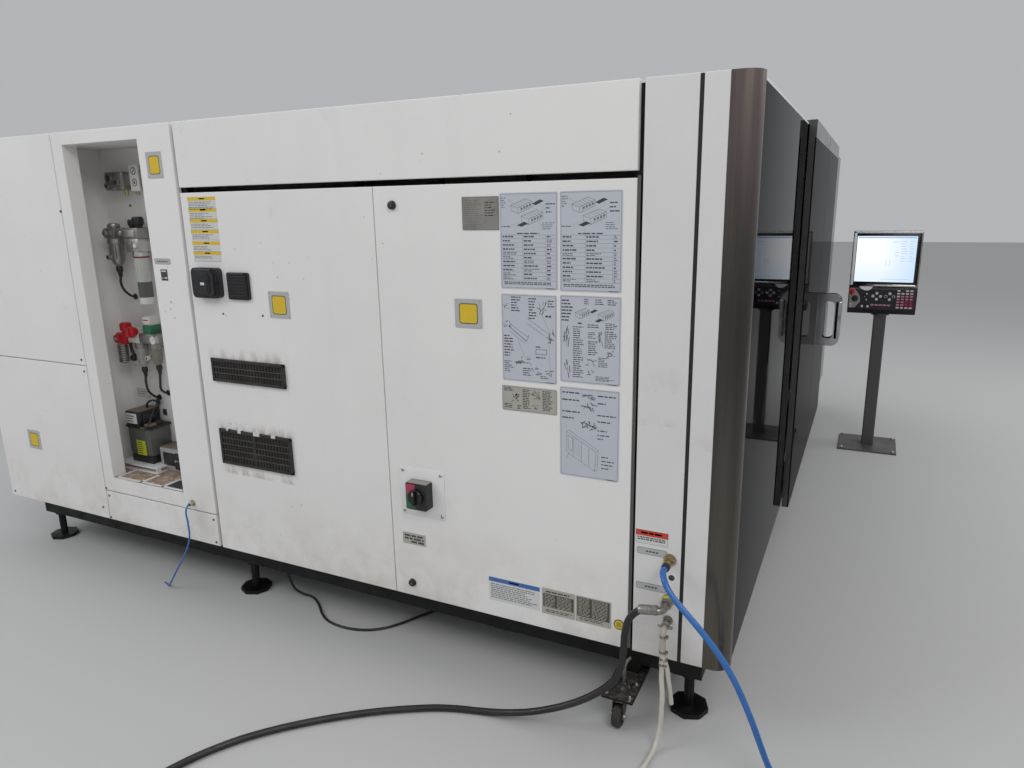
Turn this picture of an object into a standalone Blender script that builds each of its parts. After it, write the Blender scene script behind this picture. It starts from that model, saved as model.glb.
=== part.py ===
"""Fiber laser cutting machine: an enclosed sheet cutter, seen from its cabinet wall.

The wall of panels and cabinet doors faces -X, the dark glass front faces -Y, and the
origin is on the floor under the middle of the enclosure. Lengths are in metres.
"""

import math

import bmesh
import bpy
from mathutils import Matrix, Vector

# Overall
LENGTH = 4.60
DEPTH = 3.80
HEIGHT = 2.10
FLOOR_GAP = 0.275
GAP = 0.0003
OVERRUN = 0.01
WELD = 0.002

# Folded panels
PANEL_DEPTH = 0.025
SHEET = 0.002
FOLD_RADIUS = 0.0025
FOLD_STEPS = 2
STRIP_SEAM = 0.0055
WALL_SEAM = 0.018
DOOR_SEAM = 0.004
FASCIA_SEAM = 0.021
COLUMN_SIDE = 0.083
COLUMN_RETURN = 0.062
COLUMN_RADIUS = 0.055
COLUMN_SHEET = 0.003
COLUMN_STEPS = 8
CORNER_PANEL_WIDTH = 0.0735
POST_PANEL_WIDTH = 0.157
CABINET_DOOR_WIDTH = 0.945
FASCIA_HEIGHT = 0.251
NICHE_PANEL_WIDTH = 0.747
KICK_HEIGHT = 0.150
SIDE_PANEL_SPLIT = 0.777

# Frames
TUBE = 0.040
SILL_WIDTH = 0.11
SILL_SHEET = 0.01
BASE_INSET = 0.10
BASE_WIDTH = 0.10
BASE_HEIGHT = 0.12
FOOT_PAD_RADIUS = 0.070
FOOT_PAD_HEIGHT = 0.018
FOOT_STUD_RADIUS = 0.018
FOOT_NUT_RADIUS = 0.030
FOOT_NUT_HEIGHT = 0.022
FOOT_SEGMENTS = 8
WALL_FOOT_Y = 0.31
ROOF_SHEET = 0.0077
ROOF_GROOVE = 0.006
ROOF_GROOVE_DEPTH = 0.003

# Electrical cabinet and what is on its doors
CABINET_DEPTH = 0.344
CABINET_SHEET = 0.003
CABINET_TOP_GAP = 0.10
BACKPLATE = 0.004
SWITCHGEAR_DEPTH = 0.11
SWITCHGEAR_HEIGHT = 0.16
CABLE_DUCT = 0.06
VENT_DEPTH = 0.012
VENT_WIDTH = 0.398
VENT_UPPER_HEIGHT = 0.099
VENT_LOWER_HEIGHT = 0.157
VENT_BORDER = 0.016
VENT_BLADE = 0.0035
VENT_PITCH = 0.021
VENT_BLADE_LEAN = 0.007
VENT_FROM_EDGE = 0.274
VENT_UPPER_SHARE = 0.53703
VENT_LOWER_SHARE = 0.32003
OUTLET_WIDTH = 0.144
OUTLET_HEIGHT = 0.121
OUTLET_DEPTH = 0.046
OUTLET_LID = 0.016
OUTLET_RADIUS = 0.018
OUTLET_FROM_EDGE = 0.114
OUTLET_SHARE = 0.77141
PORT_WIDTH = 0.113
PORT_HEIGHT = 0.108
PORT_DEPTH = 0.016
PORT_RIB = 0.003
PORT_RIBS = 6
PORT_FROM_EDGE = 0.275
PORT_SHARE = 0.76497
SWITCH_PLATE_WIDTH = 0.193
SWITCH_PLATE_HEIGHT = 0.189
SWITCH_PLATE = 0.003
SWITCH_WIDTH = 0.090
SWITCH_HEIGHT = 0.104
SWITCH_DEPTH = 0.046
SWITCH_BEVEL = 0.004
SWITCH_FROM_EDGE = 0.1455
SWITCH_SHARE = 0.28429
KNOB_RADIUS = 0.031
KNOB_DEPTH = 0.024
KNOB_GRIP = 0.011
LOCK_RADIUS = 0.013
LOCK_DEPTH = 0.009
LOCK_FROM_EDGE = 0.079
LOCK_LOW = 0.057
LOCK_FROM_TOP = 0.064

# Service niche
NICHE_LEFT_POST = 0.071
NICHE_RIGHT_POST = 0.194
NICHE_SILL = 0.0725
NICHE_HEAD = 0.053
NICHE_DEPTH = 0.280
CHAMBER_LOW_SIDE = 0.030
CHAMBER_HIGH_SIDE = 0.155
VALVE_BLOCK = {
    "head": (0.303, 0.250, 0.120, 0.090),
    "bowls": (0.010, 0.010, 0.010),
    "knobs": (),
    "gauges": (),
}
FILTER_UNIT = {
    "head": (0.343, 0.270, 0.080, 0.100),
    "bowls": (0.036, 0.036),
    "knobs": ((0.030, 0.060), (0.016, 0.030)),
    "gauges": (),
}
REGULATOR = {
    "head": (0.328, 0.250, 0.090, 0.100),
    "bowls": (0.041, 0.039),
    "knobs": ((0.024, 0.050),),
    "gauges": ((0.022, 0.020),),
}
SHUTOFF_SHARE = 0.34
SHUTOFF_RADIUS = 0.026
SHELF_FROM_SIDE = 0.318
SHELF_WIDTH = 0.280
SHELF_HEIGHT = 0.030
SHELF_DEPTH = 0.160
SHELF_BOARD = 0.006
UNIT_WIDTH = 0.160
UNIT_HEIGHT = 0.120
UNIT_DEPTH = 0.100
UNIT_BEVEL = 0.004
PUMP_FROM_SHELF = 0.120
PUMP_WIDTH = 0.190
PUMP_DEPTH = 0.130
PUMP_BASE = 0.030
PUMP_TANK = 0.165
PUMP_HEAD = 0.085
PUMP_CAP = 0.035
PUMP_MOTOR = 0.032
PUMP_OUTLET = 0.014

# Front
GLASS = 0.008
GLASS_LOW = 0.022
GLASS_TOP_GAP = 0.025
TRACK_HEIGHT = 0.0077
TRACK_DEPTH = 0.026
LEAF_LEFT_EDGE = 1.445
LEAF_WIDTH = 0.993
LEAF_SEAM = 0.006
LEAF_OVERLAP = 0.030
LEAF_STANDOFF = 0.004
LEAF_FRAME = 0.025
LEAF_STILE = 0.060
LEAF_GLASS = 0.006
LEAF_LOW = 0.012
HANGER_HEIGHT = 0.075
HANGER_ARM = 0.062
HANGER_ARM_HEIGHT = 0.012
HANDLE_REACH = 0.130
HANDLE_HEIGHT = 0.300
HANDLE_RISE = 0.655
HANDLE_PLATE = 0.010
HANDLE_RIM = 0.034
HANDLE_FOOT = 0.030
HANDLE_FOOT_SHEET = 0.005
HANDLE_FROM_EDGE = 0.026
HANDLE_RADIUS = 0.026
HANDLE_STEPS = 4

# Machine inside
BED_BEAM_WIDTH = 0.24
BED_BEAM_HEIGHT = 0.58
BED_HALF_GAUGE = 1.05
BED_LEFT = 0.55
BED_RIGHT = 0.15
BED_TIE_HEIGHT = 0.26
RAIL_WIDTH = 0.035
RAIL_HEIGHT = 0.032
RUNNER_WIDTH = 0.05
RUNNER_DROP = 0.16
TABLE_LENGTH = 3.06
TABLE_SIDE_CLEAR = 0.10
TABLE_RAIL = 0.08
TABLE_RAIL_HEIGHT = 0.09
SLAT_COUNT = 16
SLAT_SHEET = 0.004
SLAT_HEIGHT = 0.085
SLAT_TEETH = 14
SLAT_TOOTH = 0.022
TABLE_DOOR_HEIGHT = 0.28
SLOT_CLEAR = 0.004
GANTRY_FROM_END = 0.35
GANTRY_WIDTH = 0.20
GANTRY_HEIGHT = 0.24
GANTRY_CLEAR = 0.10
TRUCK_LENGTH = 0.34
CARRIAGE_FROM_RAIL = 0.30
CARRIAGE_WIDTH = 0.24
CARRIAGE_DEPTH = 0.10
CARRIAGE_HEIGHT = 0.36
HEAD_WIDTH = 0.11
HEAD_DEPTH = 0.10
HEAD_HEIGHT = 0.34
HEAD_TUBE_RADIUS = 0.032
HEAD_TUBE_LENGTH = 0.22
NOZZLE_RADIUS = 0.007
NOZZLE_CLEAR = 0.13
EXHAUST_RADIUS = 0.150
EXHAUST_REACH = 0.080
EXHAUST_WALL = 0.004
EXHAUST_FROM_TOP = 0.35

# Gas inlets
INLET_FROM_EDGE = 0.038
OXYGEN_RISE = 0.362
NITROGEN_RISE = 0.219
DRAIN_RISE = 0.146
MANIFOLD_WIDTH = 0.060
MANIFOLD_DEPTH = 0.012
MANIFOLD_MARGIN = 0.045
FITTING_RADIUS = 0.014
FITTING_NUT = 0.018
ELBOW_RADIUS = 0.015
SPOUT_DROP = 0.165
SPOUT_LEAN = 0.022
SPOUT_SIDE = 0.028
SPOUT_RADIUS = 0.008

# Hoses
NITROGEN_HOSE = 0.024
OXYGEN_HOSE = 0.020
DRAIN_HOSE = 0.017
BLUE_TUBE = 0.008
FLOOR_CABLE = 0.011
HOSE_SPACING = 3
COIL_ACROSS = 11
COIL_SEGMENTS = 16
HOSE_SIDES = 12
NITROGEN_TURNS = 5
OXYGEN_TURNS = 5
DRAIN_TURNS = 4
GLAND_RADIUS = 0.010
COUPLING_LENGTH = 0.070
COUPLING_NUT_SHARE = 0.30
COUPLING_LEAD = 3
NITROGEN_ROUTE = (
    (-2.380, -1.672, 0.494),
    (-2.380, -1.660, 0.494),
    (-2.383, -1.624, 0.482),
    (-2.388, -1.595, 0.448),
    (-2.395, -1.584, 0.400),
    (-2.403, -1.583, 0.345),
    (-2.411, -1.580, 0.292),
    (-2.419, -1.566, 0.246),
    (-2.428, -1.534, 0.203),
    (-2.438, -1.485, 0.160),
    (-2.448, -1.424, 0.120),
    (-2.458, -1.352, 0.083),
    (-2.468, -1.270, 0.050),
    (-2.480, -1.175, 0.025),
    (-2.498, -1.070, 0.012),
    (-2.535, -0.955, 0.012),
    (-2.592, -0.845, 0.012),
    (-2.665, -0.730, 0.012),
    (-2.750, -0.620, 0.012),
    (-2.845, -0.515, 0.012),
    (-2.945, -0.425, 0.012),
    (-3.043, -0.362, 0.012),
    (-3.139, -0.334, 0.012),
    (-3.235, -0.315, 0.012),
)
OXYGEN_ROUTE = (
    (-2.365, -1.700, 0.637),
    (-2.390, -1.700, 0.637),
    (-2.418, -1.716, 0.616),
    (-2.435, -1.749, 0.580),
    (-2.450, -1.829, 0.510),
    (-2.460, -1.896, 0.440),
    (-2.458, -1.946, 0.360),
    (-2.445, -1.990, 0.255),
    (-2.425, -2.028, 0.140),
    (-2.412, -2.052, 0.070),
    (-2.415, -2.085, 0.024),
    (-2.440, -2.125, 0.010),
    (-2.485, -2.156, 0.010),
    (-2.540, -2.180, 0.010),
)
DRAIN_ROUTE = (
    (-2.360, -1.700, 0.282),
    (-2.360, -1.700, 0.240),
    (-2.368, -1.706, 0.189),
    (-2.374, -1.707, 0.130),
    (-2.382, -1.706, 0.080),
    (-2.400, -1.702, 0.035),
    (-2.430, -1.697, 0.013),
    (-2.470, -1.691, 0.009),
    (-2.507, -1.686, 0.009),
    (-2.560, -1.680, 0.009),
    (-2.620, -1.672, 0.009),
)
TUBE_INLET_FROM_EDGE = 0.141
BLUE_TUBE_ROUTE = (
    (-2.312, 0.490, 0.462),
    (-2.326, 0.490, 0.462),
    (-2.340, 0.488, 0.450),
    (-2.347, 0.485, 0.425),
    (-2.345, 0.483, 0.380),
    (-2.338, 0.497, 0.298),
    (-2.336, 0.554, 0.196),
    (-2.335, 0.623, 0.104),
    (-2.331, 0.672, 0.040),
    (-2.318, 0.712, 0.010),
    (-2.302, 0.755, 0.005),
)
FLOOR_CABLE_ROUTE = (
    (-2.150, 0.100, 0.139),
    (-2.150, 0.100, 0.110),
    (-2.138, 0.082, 0.045),
    (-2.118, 0.050, 0.012),
    (-2.115, 0.000, 0.006),
    (-2.150, -0.065, 0.006),
    (-2.207, -0.134, 0.006),
    (-2.245, -0.200, 0.006),
    (-2.258, -0.290, 0.006),
    (-2.242, -0.380, 0.006),
    (-2.200, -0.450, 0.006),
    (-2.139, -0.499, 0.006),
    (-2.035, -0.555, 0.006),
    (-1.930, -0.620, 0.006),
    (-1.830, -0.730, 0.006),
    (-1.760, -0.860, 0.006),
    (-1.722, -0.950, 0.016),
    (-1.703, -1.025, 0.060),
    (-1.700, -1.050, 0.110),
    (-1.700, -BED_HALF_GAUGE, 0.139),
)

# Caster
CASTER_FROM_FRONT = 0.349
CASTER_PLATE_OUT = 0.065
CASTER_PLATE_WIDTH = 0.110
CASTER_PLATE = 0.008
CASTER_PLATE_DROP = 0.045
CASTER_SWIVEL_OUT = 0.005
CASTER_HEAD_RADIUS = 0.030
CASTER_HEAD_HEIGHT = 0.014
CASTER_TRAIL = 0.038
CASTER_RADIUS = 0.040
CASTER_WIDTH = 0.030
CASTER_FORK = 0.003
CASTER_AXLE = 0.006
LEVER_THICK = 0.006
LEVER_HEIGHT = 0.115

# Console
CONSOLE_FRONT_X = 1.220
CONSOLE_Y = -2.283
CONSOLE_WIDTH = 0.424
CONSOLE_LOW = 0.975
CONSOLE_HIGH = 1.540
CONSOLE_THICK = 0.120
CONSOLE_TOP_THICK = 0.080
KEYPAD_REACH = 0.030
KEYPAD_HEIGHT = 0.190
KEYPAD_LIP = 0.035
CONSOLE_BEVEL = 0.004
SCREEN_MARGIN = 0.018
SCREEN_GLASS = 0.006
STAND_PLATE = 0.380
STAND_PLATE_HEIGHT = 0.012
STAND_TUBE = 0.080
STAND_FLANGE = 0.160
ESTOP_RADIUS = 0.017
ESTOP_DEPTH = 0.020
ESTOP_TRAVEL = 0.006
DIAL_RADIUS = 0.021
DIAL_DEPTH = 0.018

# Worked out from the sizes above
X_WALL = -LENGTH / 2
X_FAR = LENGTH / 2
Y_FRONT = -DEPTH / 2
Y_BACK = DEPTH / 2
X_FRAME = X_WALL + PANEL_DEPTH + GAP
X_FRAME_FAR = X_FAR - PANEL_DEPTH - GAP
Y_FRAME = Y_FRONT + GLASS + GAP
Y_FRAME_BACK = Y_BACK - PANEL_DEPTH - GAP
Z_FRAME = FLOOR_GAP + GAP
Z_ROOF = HEIGHT - ROOF_SHEET - WELD
Z_BASE = FLOOR_GAP - BASE_HEIGHT
STRIP_Y = Y_FRONT + COLUMN_SIDE
POST_PANEL_Y = STRIP_Y + CORNER_PANEL_WIDTH + STRIP_SEAM
RIGHT_DOOR_Y = POST_PANEL_Y + POST_PANEL_WIDTH + WALL_SEAM
LEFT_DOOR_Y = RIGHT_DOOR_Y + CABINET_DOOR_WIDTH + DOOR_SEAM
CABINET_END_Y = LEFT_DOOR_Y + CABINET_DOOR_WIDTH
NICHE_Y = CABINET_END_Y + WALL_SEAM
NICHE_END_Y = NICHE_Y + NICHE_PANEL_WIDTH
SIDE_Y = NICHE_END_Y + STRIP_SEAM
OPENING_LOW_Y = NICHE_Y + NICHE_RIGHT_POST
OPENING_HIGH_Y = NICHE_END_Y - NICHE_LEFT_POST
NICHE_Z = FLOOR_GAP + KICK_HEIGHT + STRIP_SEAM
OPENING_LOW_Z = NICHE_Z + NICHE_SILL
OPENING_HIGH_Z = HEIGHT - NICHE_HEAD
OPENING_HEIGHT = OPENING_HIGH_Z - OPENING_LOW_Z
NICHE_BACK = X_WALL + NICHE_DEPTH
DOOR_TOP = HEIGHT - FASCIA_HEIGHT - FASCIA_SEAM
CABINET_DOOR_HEIGHT = DOOR_TOP - FLOOR_GAP
LEAF_X = X_WALL + LEAF_LEFT_EDGE
LEAF_MEET = LEAF_X + LEAF_WIDTH + LEAF_SEAM / 2
LEAF_RIGHT_X = LEAF_MEET + LEAF_SEAM / 2
LEAF_END_X = LEAF_RIGHT_X + LEAF_WIDTH
Y_LEAF = Y_FRONT - LEAF_STANDOFF - LEAF_FRAME
GLASS_Z = FLOOR_GAP + GLASS_LOW
GLASS_TOP = HEIGHT - GLASS_TOP_GAP
CHAMBER_LOW_Y = OPENING_LOW_Y - CHAMBER_LOW_SIDE
CHAMBER_HIGH_Y = OPENING_HIGH_Y + CHAMBER_HIGH_SIDE
SHELF_LOW_Y = OPENING_LOW_Y + SHELF_FROM_SIDE
SHELF_HIGH_Y = SHELF_LOW_Y + SHELF_WIDTH
PUMP_Y = SHELF_LOW_Y + PUMP_FROM_SHELF
VENT_Y = CABINET_END_Y - VENT_FROM_EDGE
VENT_UPPER_Z = FLOOR_GAP + CABINET_DOOR_HEIGHT * VENT_UPPER_SHARE
VENT_LOWER_Z = FLOOR_GAP + CABINET_DOOR_HEIGHT * VENT_LOWER_SHARE
OUTLET_Y = CABINET_END_Y - OUTLET_FROM_EDGE
OUTLET_Z = FLOOR_GAP + CABINET_DOOR_HEIGHT * OUTLET_SHARE
PORT_Y = CABINET_END_Y - PORT_FROM_EDGE
PORT_Z = FLOOR_GAP + CABINET_DOOR_HEIGHT * PORT_SHARE
SWITCH_Y = RIGHT_DOOR_Y + CABINET_DOOR_WIDTH - SWITCH_FROM_EDGE
SWITCH_Z = FLOOR_GAP + CABINET_DOOR_HEIGHT * SWITCH_SHARE
PORT_COLUMN_Y = POST_PANEL_Y + INLET_FROM_EDGE
GAS_SHIFT = PORT_COLUMN_Y - OXYGEN_ROUTE[0][1]
TUBE_SHIFT = NICHE_Y + TUBE_INLET_FROM_EDGE - BLUE_TUBE_ROUTE[0][1]
OXYGEN_Z = FLOOR_GAP + OXYGEN_RISE
NITROGEN_Z = FLOOR_GAP + NITROGEN_RISE
DRAIN_Z = FLOOR_GAP + DRAIN_RISE
CASTER_Y = Y_FRONT + CASTER_FROM_FRONT
CASTER_PLATE_X = X_WALL - CASTER_PLATE_OUT
CASTER_PLATE_Z = Z_BASE - CASTER_PLATE_DROP
CASTER_SWIVEL_X = X_WALL - CASTER_SWIVEL_OUT
HANDLE_LOW = FLOOR_GAP + HANDLE_RISE
BED_X = X_WALL + BED_LEFT
GANTRY_X = BED_X + GANTRY_FROM_END
CARRIAGE_Y = CARRIAGE_FROM_RAIL - BED_HALF_GAUGE
BED_FAR_X = X_FAR - BED_RIGHT
TABLE_WIDTH = 2 * (BED_HALF_GAUGE - BED_BEAM_WIDTH / 2 - TABLE_SIDE_CLEAR)
BED_TOP = Z_FRAME + BED_BEAM_HEIGHT
RUNNER_TOP = BED_TOP - RUNNER_DROP
TABLE_FAR_X = X_FAR - PANEL_DEPTH
TABLE_X = TABLE_FAR_X - TABLE_LENGTH
TABLE_LOW = RUNNER_TOP + GAP
TABLE_TOP = TABLE_LOW + TABLE_RAIL_HEIGHT + SLAT_TOOTH
RAIL_TOP = BED_TOP + RAIL_HEIGHT
GANTRY_LOW = RAIL_TOP + GANTRY_CLEAR
GANTRY_FACE_X = GANTRY_X + GANTRY_WIDTH / 2

AXES = {"X": Vector((1, 0, 0)), "Y": Vector((0, 1, 0)), "Z": Vector((0, 0, 1))}
BASE_TIE_SHARES = (-0.26, 0.0, 0.26)
FOOT_SHARES = (-0.5, 0.0, 0.5)
BACK_POST_SHARES = (-0.19, 0.19)
BED_TIE_SHARES = (0.04, 0.35, 0.65, 0.96)
COIL_PACKING_SHARE = 0.72
END_SHARE = 0.3
CHAMFER_SHARE = 0.32
PUMP_OUTLET_SHARES = (0.25, 0.5, 0.75)
VALVE_BLOCK_SHARES = {
    "rise": 0.90835,
    "bowls": ((-0.30, 0.01425), (0, 0.01425), (0.30, 0.01425)),
    "knobs": (),
    "gauges": (),
}
FILTER_UNIT_SHARES = {
    "rise": 0.75615,
    "bowls": ((0.28, 0.0842), (-0.30, 0.1943)),
    "knobs": (-0.30, -0.02),
    "gauges": (),
}
REGULATOR_SHARES = {
    "rise": 0.44527,
    "bowls": ((0.10, 0.0745), (-0.31, 0.0712)),
    "knobs": (-0.10,),
    "gauges": (-0.40,),
}
WHEEL_SHARES = (
    (0, 0.34),
    (0.125, 0.38),
    (0.125, 0.62),
    (0, 0.67),
    (0, 0.90),
    (0.15, 1),
    (0.85, 1),
    (1, 0.90),
    (1, 0.67),
    (0.875, 0.62),
    (0.875, 0.38),
    (1, 0.34),
)
BOWL_SHARES = ((0, 0), (0, 1), (0.70, 0.97), (0.86, 0.80), (0.92, 0.35), (1, 0.30), (1, 0))
SWITCHGEAR_SHARES = (
    ((0.02, 0.30, 1.0), (0.36, 0.60, 0.7), (0.66, 0.97, 0.6)),
    ((0.03, 0.22, 0.8), (0.26, 0.42, 0.8), (0.46, 0.62, 0.8), (0.68, 0.95, 0.5)),
    ((0.02, 0.46, 0.6), (0.52, 0.96, 0.9)),
)


def clear_scene():
    for obj in list(bpy.data.objects):
        bpy.data.objects.remove(obj)


def material(name, colour, roughness, metallic=0.0):
    made = bpy.data.materials.new(name)
    made.use_nodes = True
    shader = made.node_tree.nodes["Principled BSDF"]
    shader.inputs["Base Color"].default_value = (*colour, 1.0)
    shader.inputs["Roughness"].default_value = roughness
    shader.inputs["Metallic"].default_value = metallic
    return made


def add_box(bm, low, high):
    """A closed box between two corners, added to a mesh."""
    centre = (Vector(low) + Vector(high)) / 2
    size = Vector(high) - Vector(low)
    verts = bmesh.ops.create_cube(bm, size=1.0)["verts"]
    for vert in verts:
        vert.co = Vector((vert.co.x * size.x, vert.co.y * size.y, vert.co.z * size.z)) + centre
    return verts


def make(name, bm, mat):
    bmesh.ops.recalc_face_normals(bm, faces=bm.faces)
    mesh = bpy.data.meshes.new(name)
    bm.to_mesh(mesh)
    bm.free()
    mesh.materials.append(mat)
    obj = bpy.data.objects.new(name, mesh)
    bpy.context.scene.collection.objects.link(obj)
    return obj


def box(name, low, high, mat):
    bm = bmesh.new()
    add_box(bm, low, high)
    return make(name, bm, mat)


def soft_box(name, low, high, radius, mat, steps=1):
    """A box with every edge rounded or, with one step, chamfered."""
    bm = bmesh.new()
    add_box(bm, low, high)
    bmesh.ops.bevel(bm, geom=bm.edges, offset=radius, segments=steps, profile=0.5, affect="EDGES")
    return make(name, bm, mat)


def tray(name, low, high, outward, mat):
    """A panel folded from sheet: a skin with rounded outer edges and returns all round."""
    bm = bmesh.new()
    add_box(bm, low, high)
    bm.normal_update()
    outer = max(bm.faces, key=lambda face: face.normal.dot(outward))
    bmesh.ops.bevel(
        bm,
        geom=outer.edges[:],
        offset=FOLD_RADIUS,
        segments=FOLD_STEPS,
        profile=0.5,
        affect="EDGES",
    )
    bm.normal_update()
    inner = min(bm.faces, key=lambda face: face.normal.dot(outward) * face.calc_area())
    bmesh.ops.inset_region(bm, faces=[inner], thickness=SHEET)
    floor = bmesh.ops.extrude_face_region(bm, geom=[inner])["geom"]
    moved = [part for part in floor if isinstance(part, bmesh.types.BMVert)]
    bmesh.ops.delete(bm, geom=[inner], context="FACES_ONLY")
    bmesh.ops.translate(bm, verts=moved, vec=outward * (PANEL_DEPTH - SHEET))
    return make(name, bm, mat)


def prism(name, outline, axis, start, end, mat):
    """An outline of (first, second) points in the plane across an axis, extruded along it."""
    along = "XYZ".index(axis)
    first, second = (i for i in range(3) if i != along)
    bm = bmesh.new()
    rings = []
    for level in (start, end):
        ring = []
        for a, b in outline:
            place = Vector()
            place[first] = a
            place[second] = b
            place[along] = level
            ring.append(bm.verts.new(place))
        bm.faces.new(ring)
        rings.append(ring)
    for i, vert in enumerate(rings[0]):
        after = (i + 1) % len(outline)
        bm.faces.new((vert, rings[0][after], rings[1][after], rings[1][i]))
    return make(name, bm, mat)


def turned(name, profile, centre, axis, segments, mat):
    """A profile of (distance along the axis, radius) pairs, turned.

    It closes on the axis where its radius is 0, and otherwise joins back to its start.
    """
    turn = Vector((0, 0, 1)).rotation_difference(Vector(axis)).to_matrix()
    bm = bmesh.new()
    rings = []
    for along, radius in profile:
        count = segments if radius > 0 else 1
        ring = []
        for i in range(count):
            angle = math.tau * i / segments
            local = Vector((radius * math.cos(angle), radius * math.sin(angle), along))
            ring.append(bm.verts.new(turn @ local + Vector(centre)))
        rings.append(ring)
    if profile[0][1] > 0:
        rings.append(rings[0])
    for low, high in zip(rings, rings[1:]):
        for i in range(segments):
            corners = []
            for vert in (
                low[i % len(low)],
                low[(i + 1) % len(low)],
                high[(i + 1) % len(high)],
                high[i % len(high)],
            ):
                if vert not in corners:
                    corners.append(vert)
            bm.faces.new(corners)
    obj = make(name, bm, mat)
    obj.data.shade_smooth()
    obj.data.set_sharp_from_angle(angle=math.radians(40))
    return obj


def rod(name, start, end, radius, segments, mat):
    line = Vector(end) - Vector(start)
    profile = ((0, 0), (0, radius), (line.length, radius), (line.length, 0))
    return turned(name, profile, start, line.normalized(), segments, mat)


def ring_solid(name, centre, middle, half, segments, mat):
    """The outer shape of a flat coil: an eight-sided section turned about a vertical axis."""
    bm = bmesh.new()
    rings = []
    for i in range(segments):
        angle = math.tau * i / segments
        ring = []
        for k in range(8):
            lean = math.tau * (k + 0.5) / 8
            reach = middle + half * math.cos(lean) / math.cos(math.pi / 8)
            rise = half * math.sin(lean) / math.cos(math.pi / 8)
            local = Vector((reach * math.cos(angle), reach * math.sin(angle), rise))
            ring.append(bm.verts.new(Vector(centre) + local))
        rings.append(ring)
    for i, ring in enumerate(rings):
        after = rings[(i + 1) % segments]
        for k in range(8):
            nxt = (k + 1) % 8
            bm.faces.new((ring[k], ring[nxt], after[nxt], after[k]))
    return make(name, bm, mat)


def joined(base, others, operation):
    """The base with the other solids added to it or cut from it."""
    group = bpy.data.collections.new("operands")
    bpy.context.scene.collection.children.link(group)
    for other in others:
        group.objects.link(other)
    modifier = base.modifiers.new("join", "BOOLEAN")
    modifier.operation = operation
    modifier.operand_type = "COLLECTION"
    modifier.collection = group
    graph = bpy.context.evaluated_depsgraph_get()
    mesh = bpy.data.meshes.new_from_object(base.evaluated_get(graph))
    base.modifiers.clear()
    base.data = mesh
    for other in others:
        bpy.data.objects.remove(other)
    bpy.data.collections.remove(group)
    return base


def fuse(name, base, *others):
    joined(base, others, "UNION")
    base.name = name
    return base


def cut(base, *others):
    return joined(base, others, "DIFFERENCE")


def rounded(low_a, low_b, high_a, high_b, radius, steps):
    """The outline of a rectangle with round corners."""
    points = []
    corners = (
        (high_a - radius, high_b - radius),
        (low_a + radius, high_b - radius),
        (low_a + radius, low_b + radius),
        (high_a - radius, low_b + radius),
    )
    for quarter, (a, b) in enumerate(corners):
        for i in range(steps + 1):
            angle = math.tau * (quarter + i / steps) / 4
            points.append((a + radius * math.cos(angle), b + radius * math.sin(angle)))
    return points


def smooth_route(points, spacing):
    """Points a spacing apart on a smooth curve through the route's own points."""
    fine = []
    ends = [points[0], *points, points[-1]]
    for i in range(len(points) - 1):
        p0, p1, p2, p3 = (Vector(p) for p in ends[i : i + 4])
        for k in range(24):
            t = k / 24
            fine.append(
                0.5
                * (
                    2 * p1
                    + (p2 - p0) * t
                    + (2 * p0 - 5 * p1 + 4 * p2 - p3) * t * t
                    + (3 * p1 - p0 - 3 * p2 + p3) * t * t * t
                )
            )
    fine.append(Vector(points[-1]))
    total = sum((b - a).length for a, b in zip(fine, fine[1:]))
    count = max(2, round(total / spacing))
    kept = [fine[0]]
    walked = 0.0
    for a, b in zip(fine, fine[1:]):
        walked += (b - a).length
        if walked >= total * len(kept) / count and len(kept) < count:
            kept.append(b)
    kept.append(fine[-1])
    straight = spacing * END_SHARE
    start = (Vector(points[1]) - Vector(points[0])).normalized() * straight
    end = (Vector(points[-2]) - Vector(points[-1])).normalized() * straight
    return [kept[0], kept[0] + start, *kept[1:-1], kept[-1] + end, kept[-1]]


def led(route, shift):
    """A typed route moved sideways with the port that it starts from."""
    return [(x, y + shift, z) for x, y, z in route]


def tube(name, route, diameter, mat):
    curve = bpy.data.curves.new(name, "CURVE")
    curve.dimensions = "3D"
    curve.bevel_depth = diameter / 2
    curve.bevel_resolution = 2
    curve.use_fill_caps = True
    points = smooth_route(route, diameter * HOSE_SPACING)
    spline = curve.splines.new("POLY")
    spline.points.add(len(points) - 1)
    for target, point in zip(spline.points, points):
        target.co = (point.x, point.y, max(point.z, diameter / 2 + GAP), 1.0)
    obj = bpy.data.objects.new(name, curve)
    obj.data.materials.append(mat)
    bpy.context.scene.collection.objects.link(obj)
    return obj


def pivot(name, place, pieces, parent=None):
    """An empty on a joint's axis that carries the pieces which turn or slide there."""
    empty = bpy.data.objects.new(name, None)
    bpy.context.scene.collection.objects.link(empty)
    place = Vector(place)
    empty.location = place
    if parent is not None:
        empty.parent = parent
        empty.location = place - parent.matrix_world.translation
    bpy.context.view_layer.update()
    for piece in pieces:
        piece.data.transform(Matrix.Translation(-place))
        piece.parent = empty
    return empty


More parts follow.
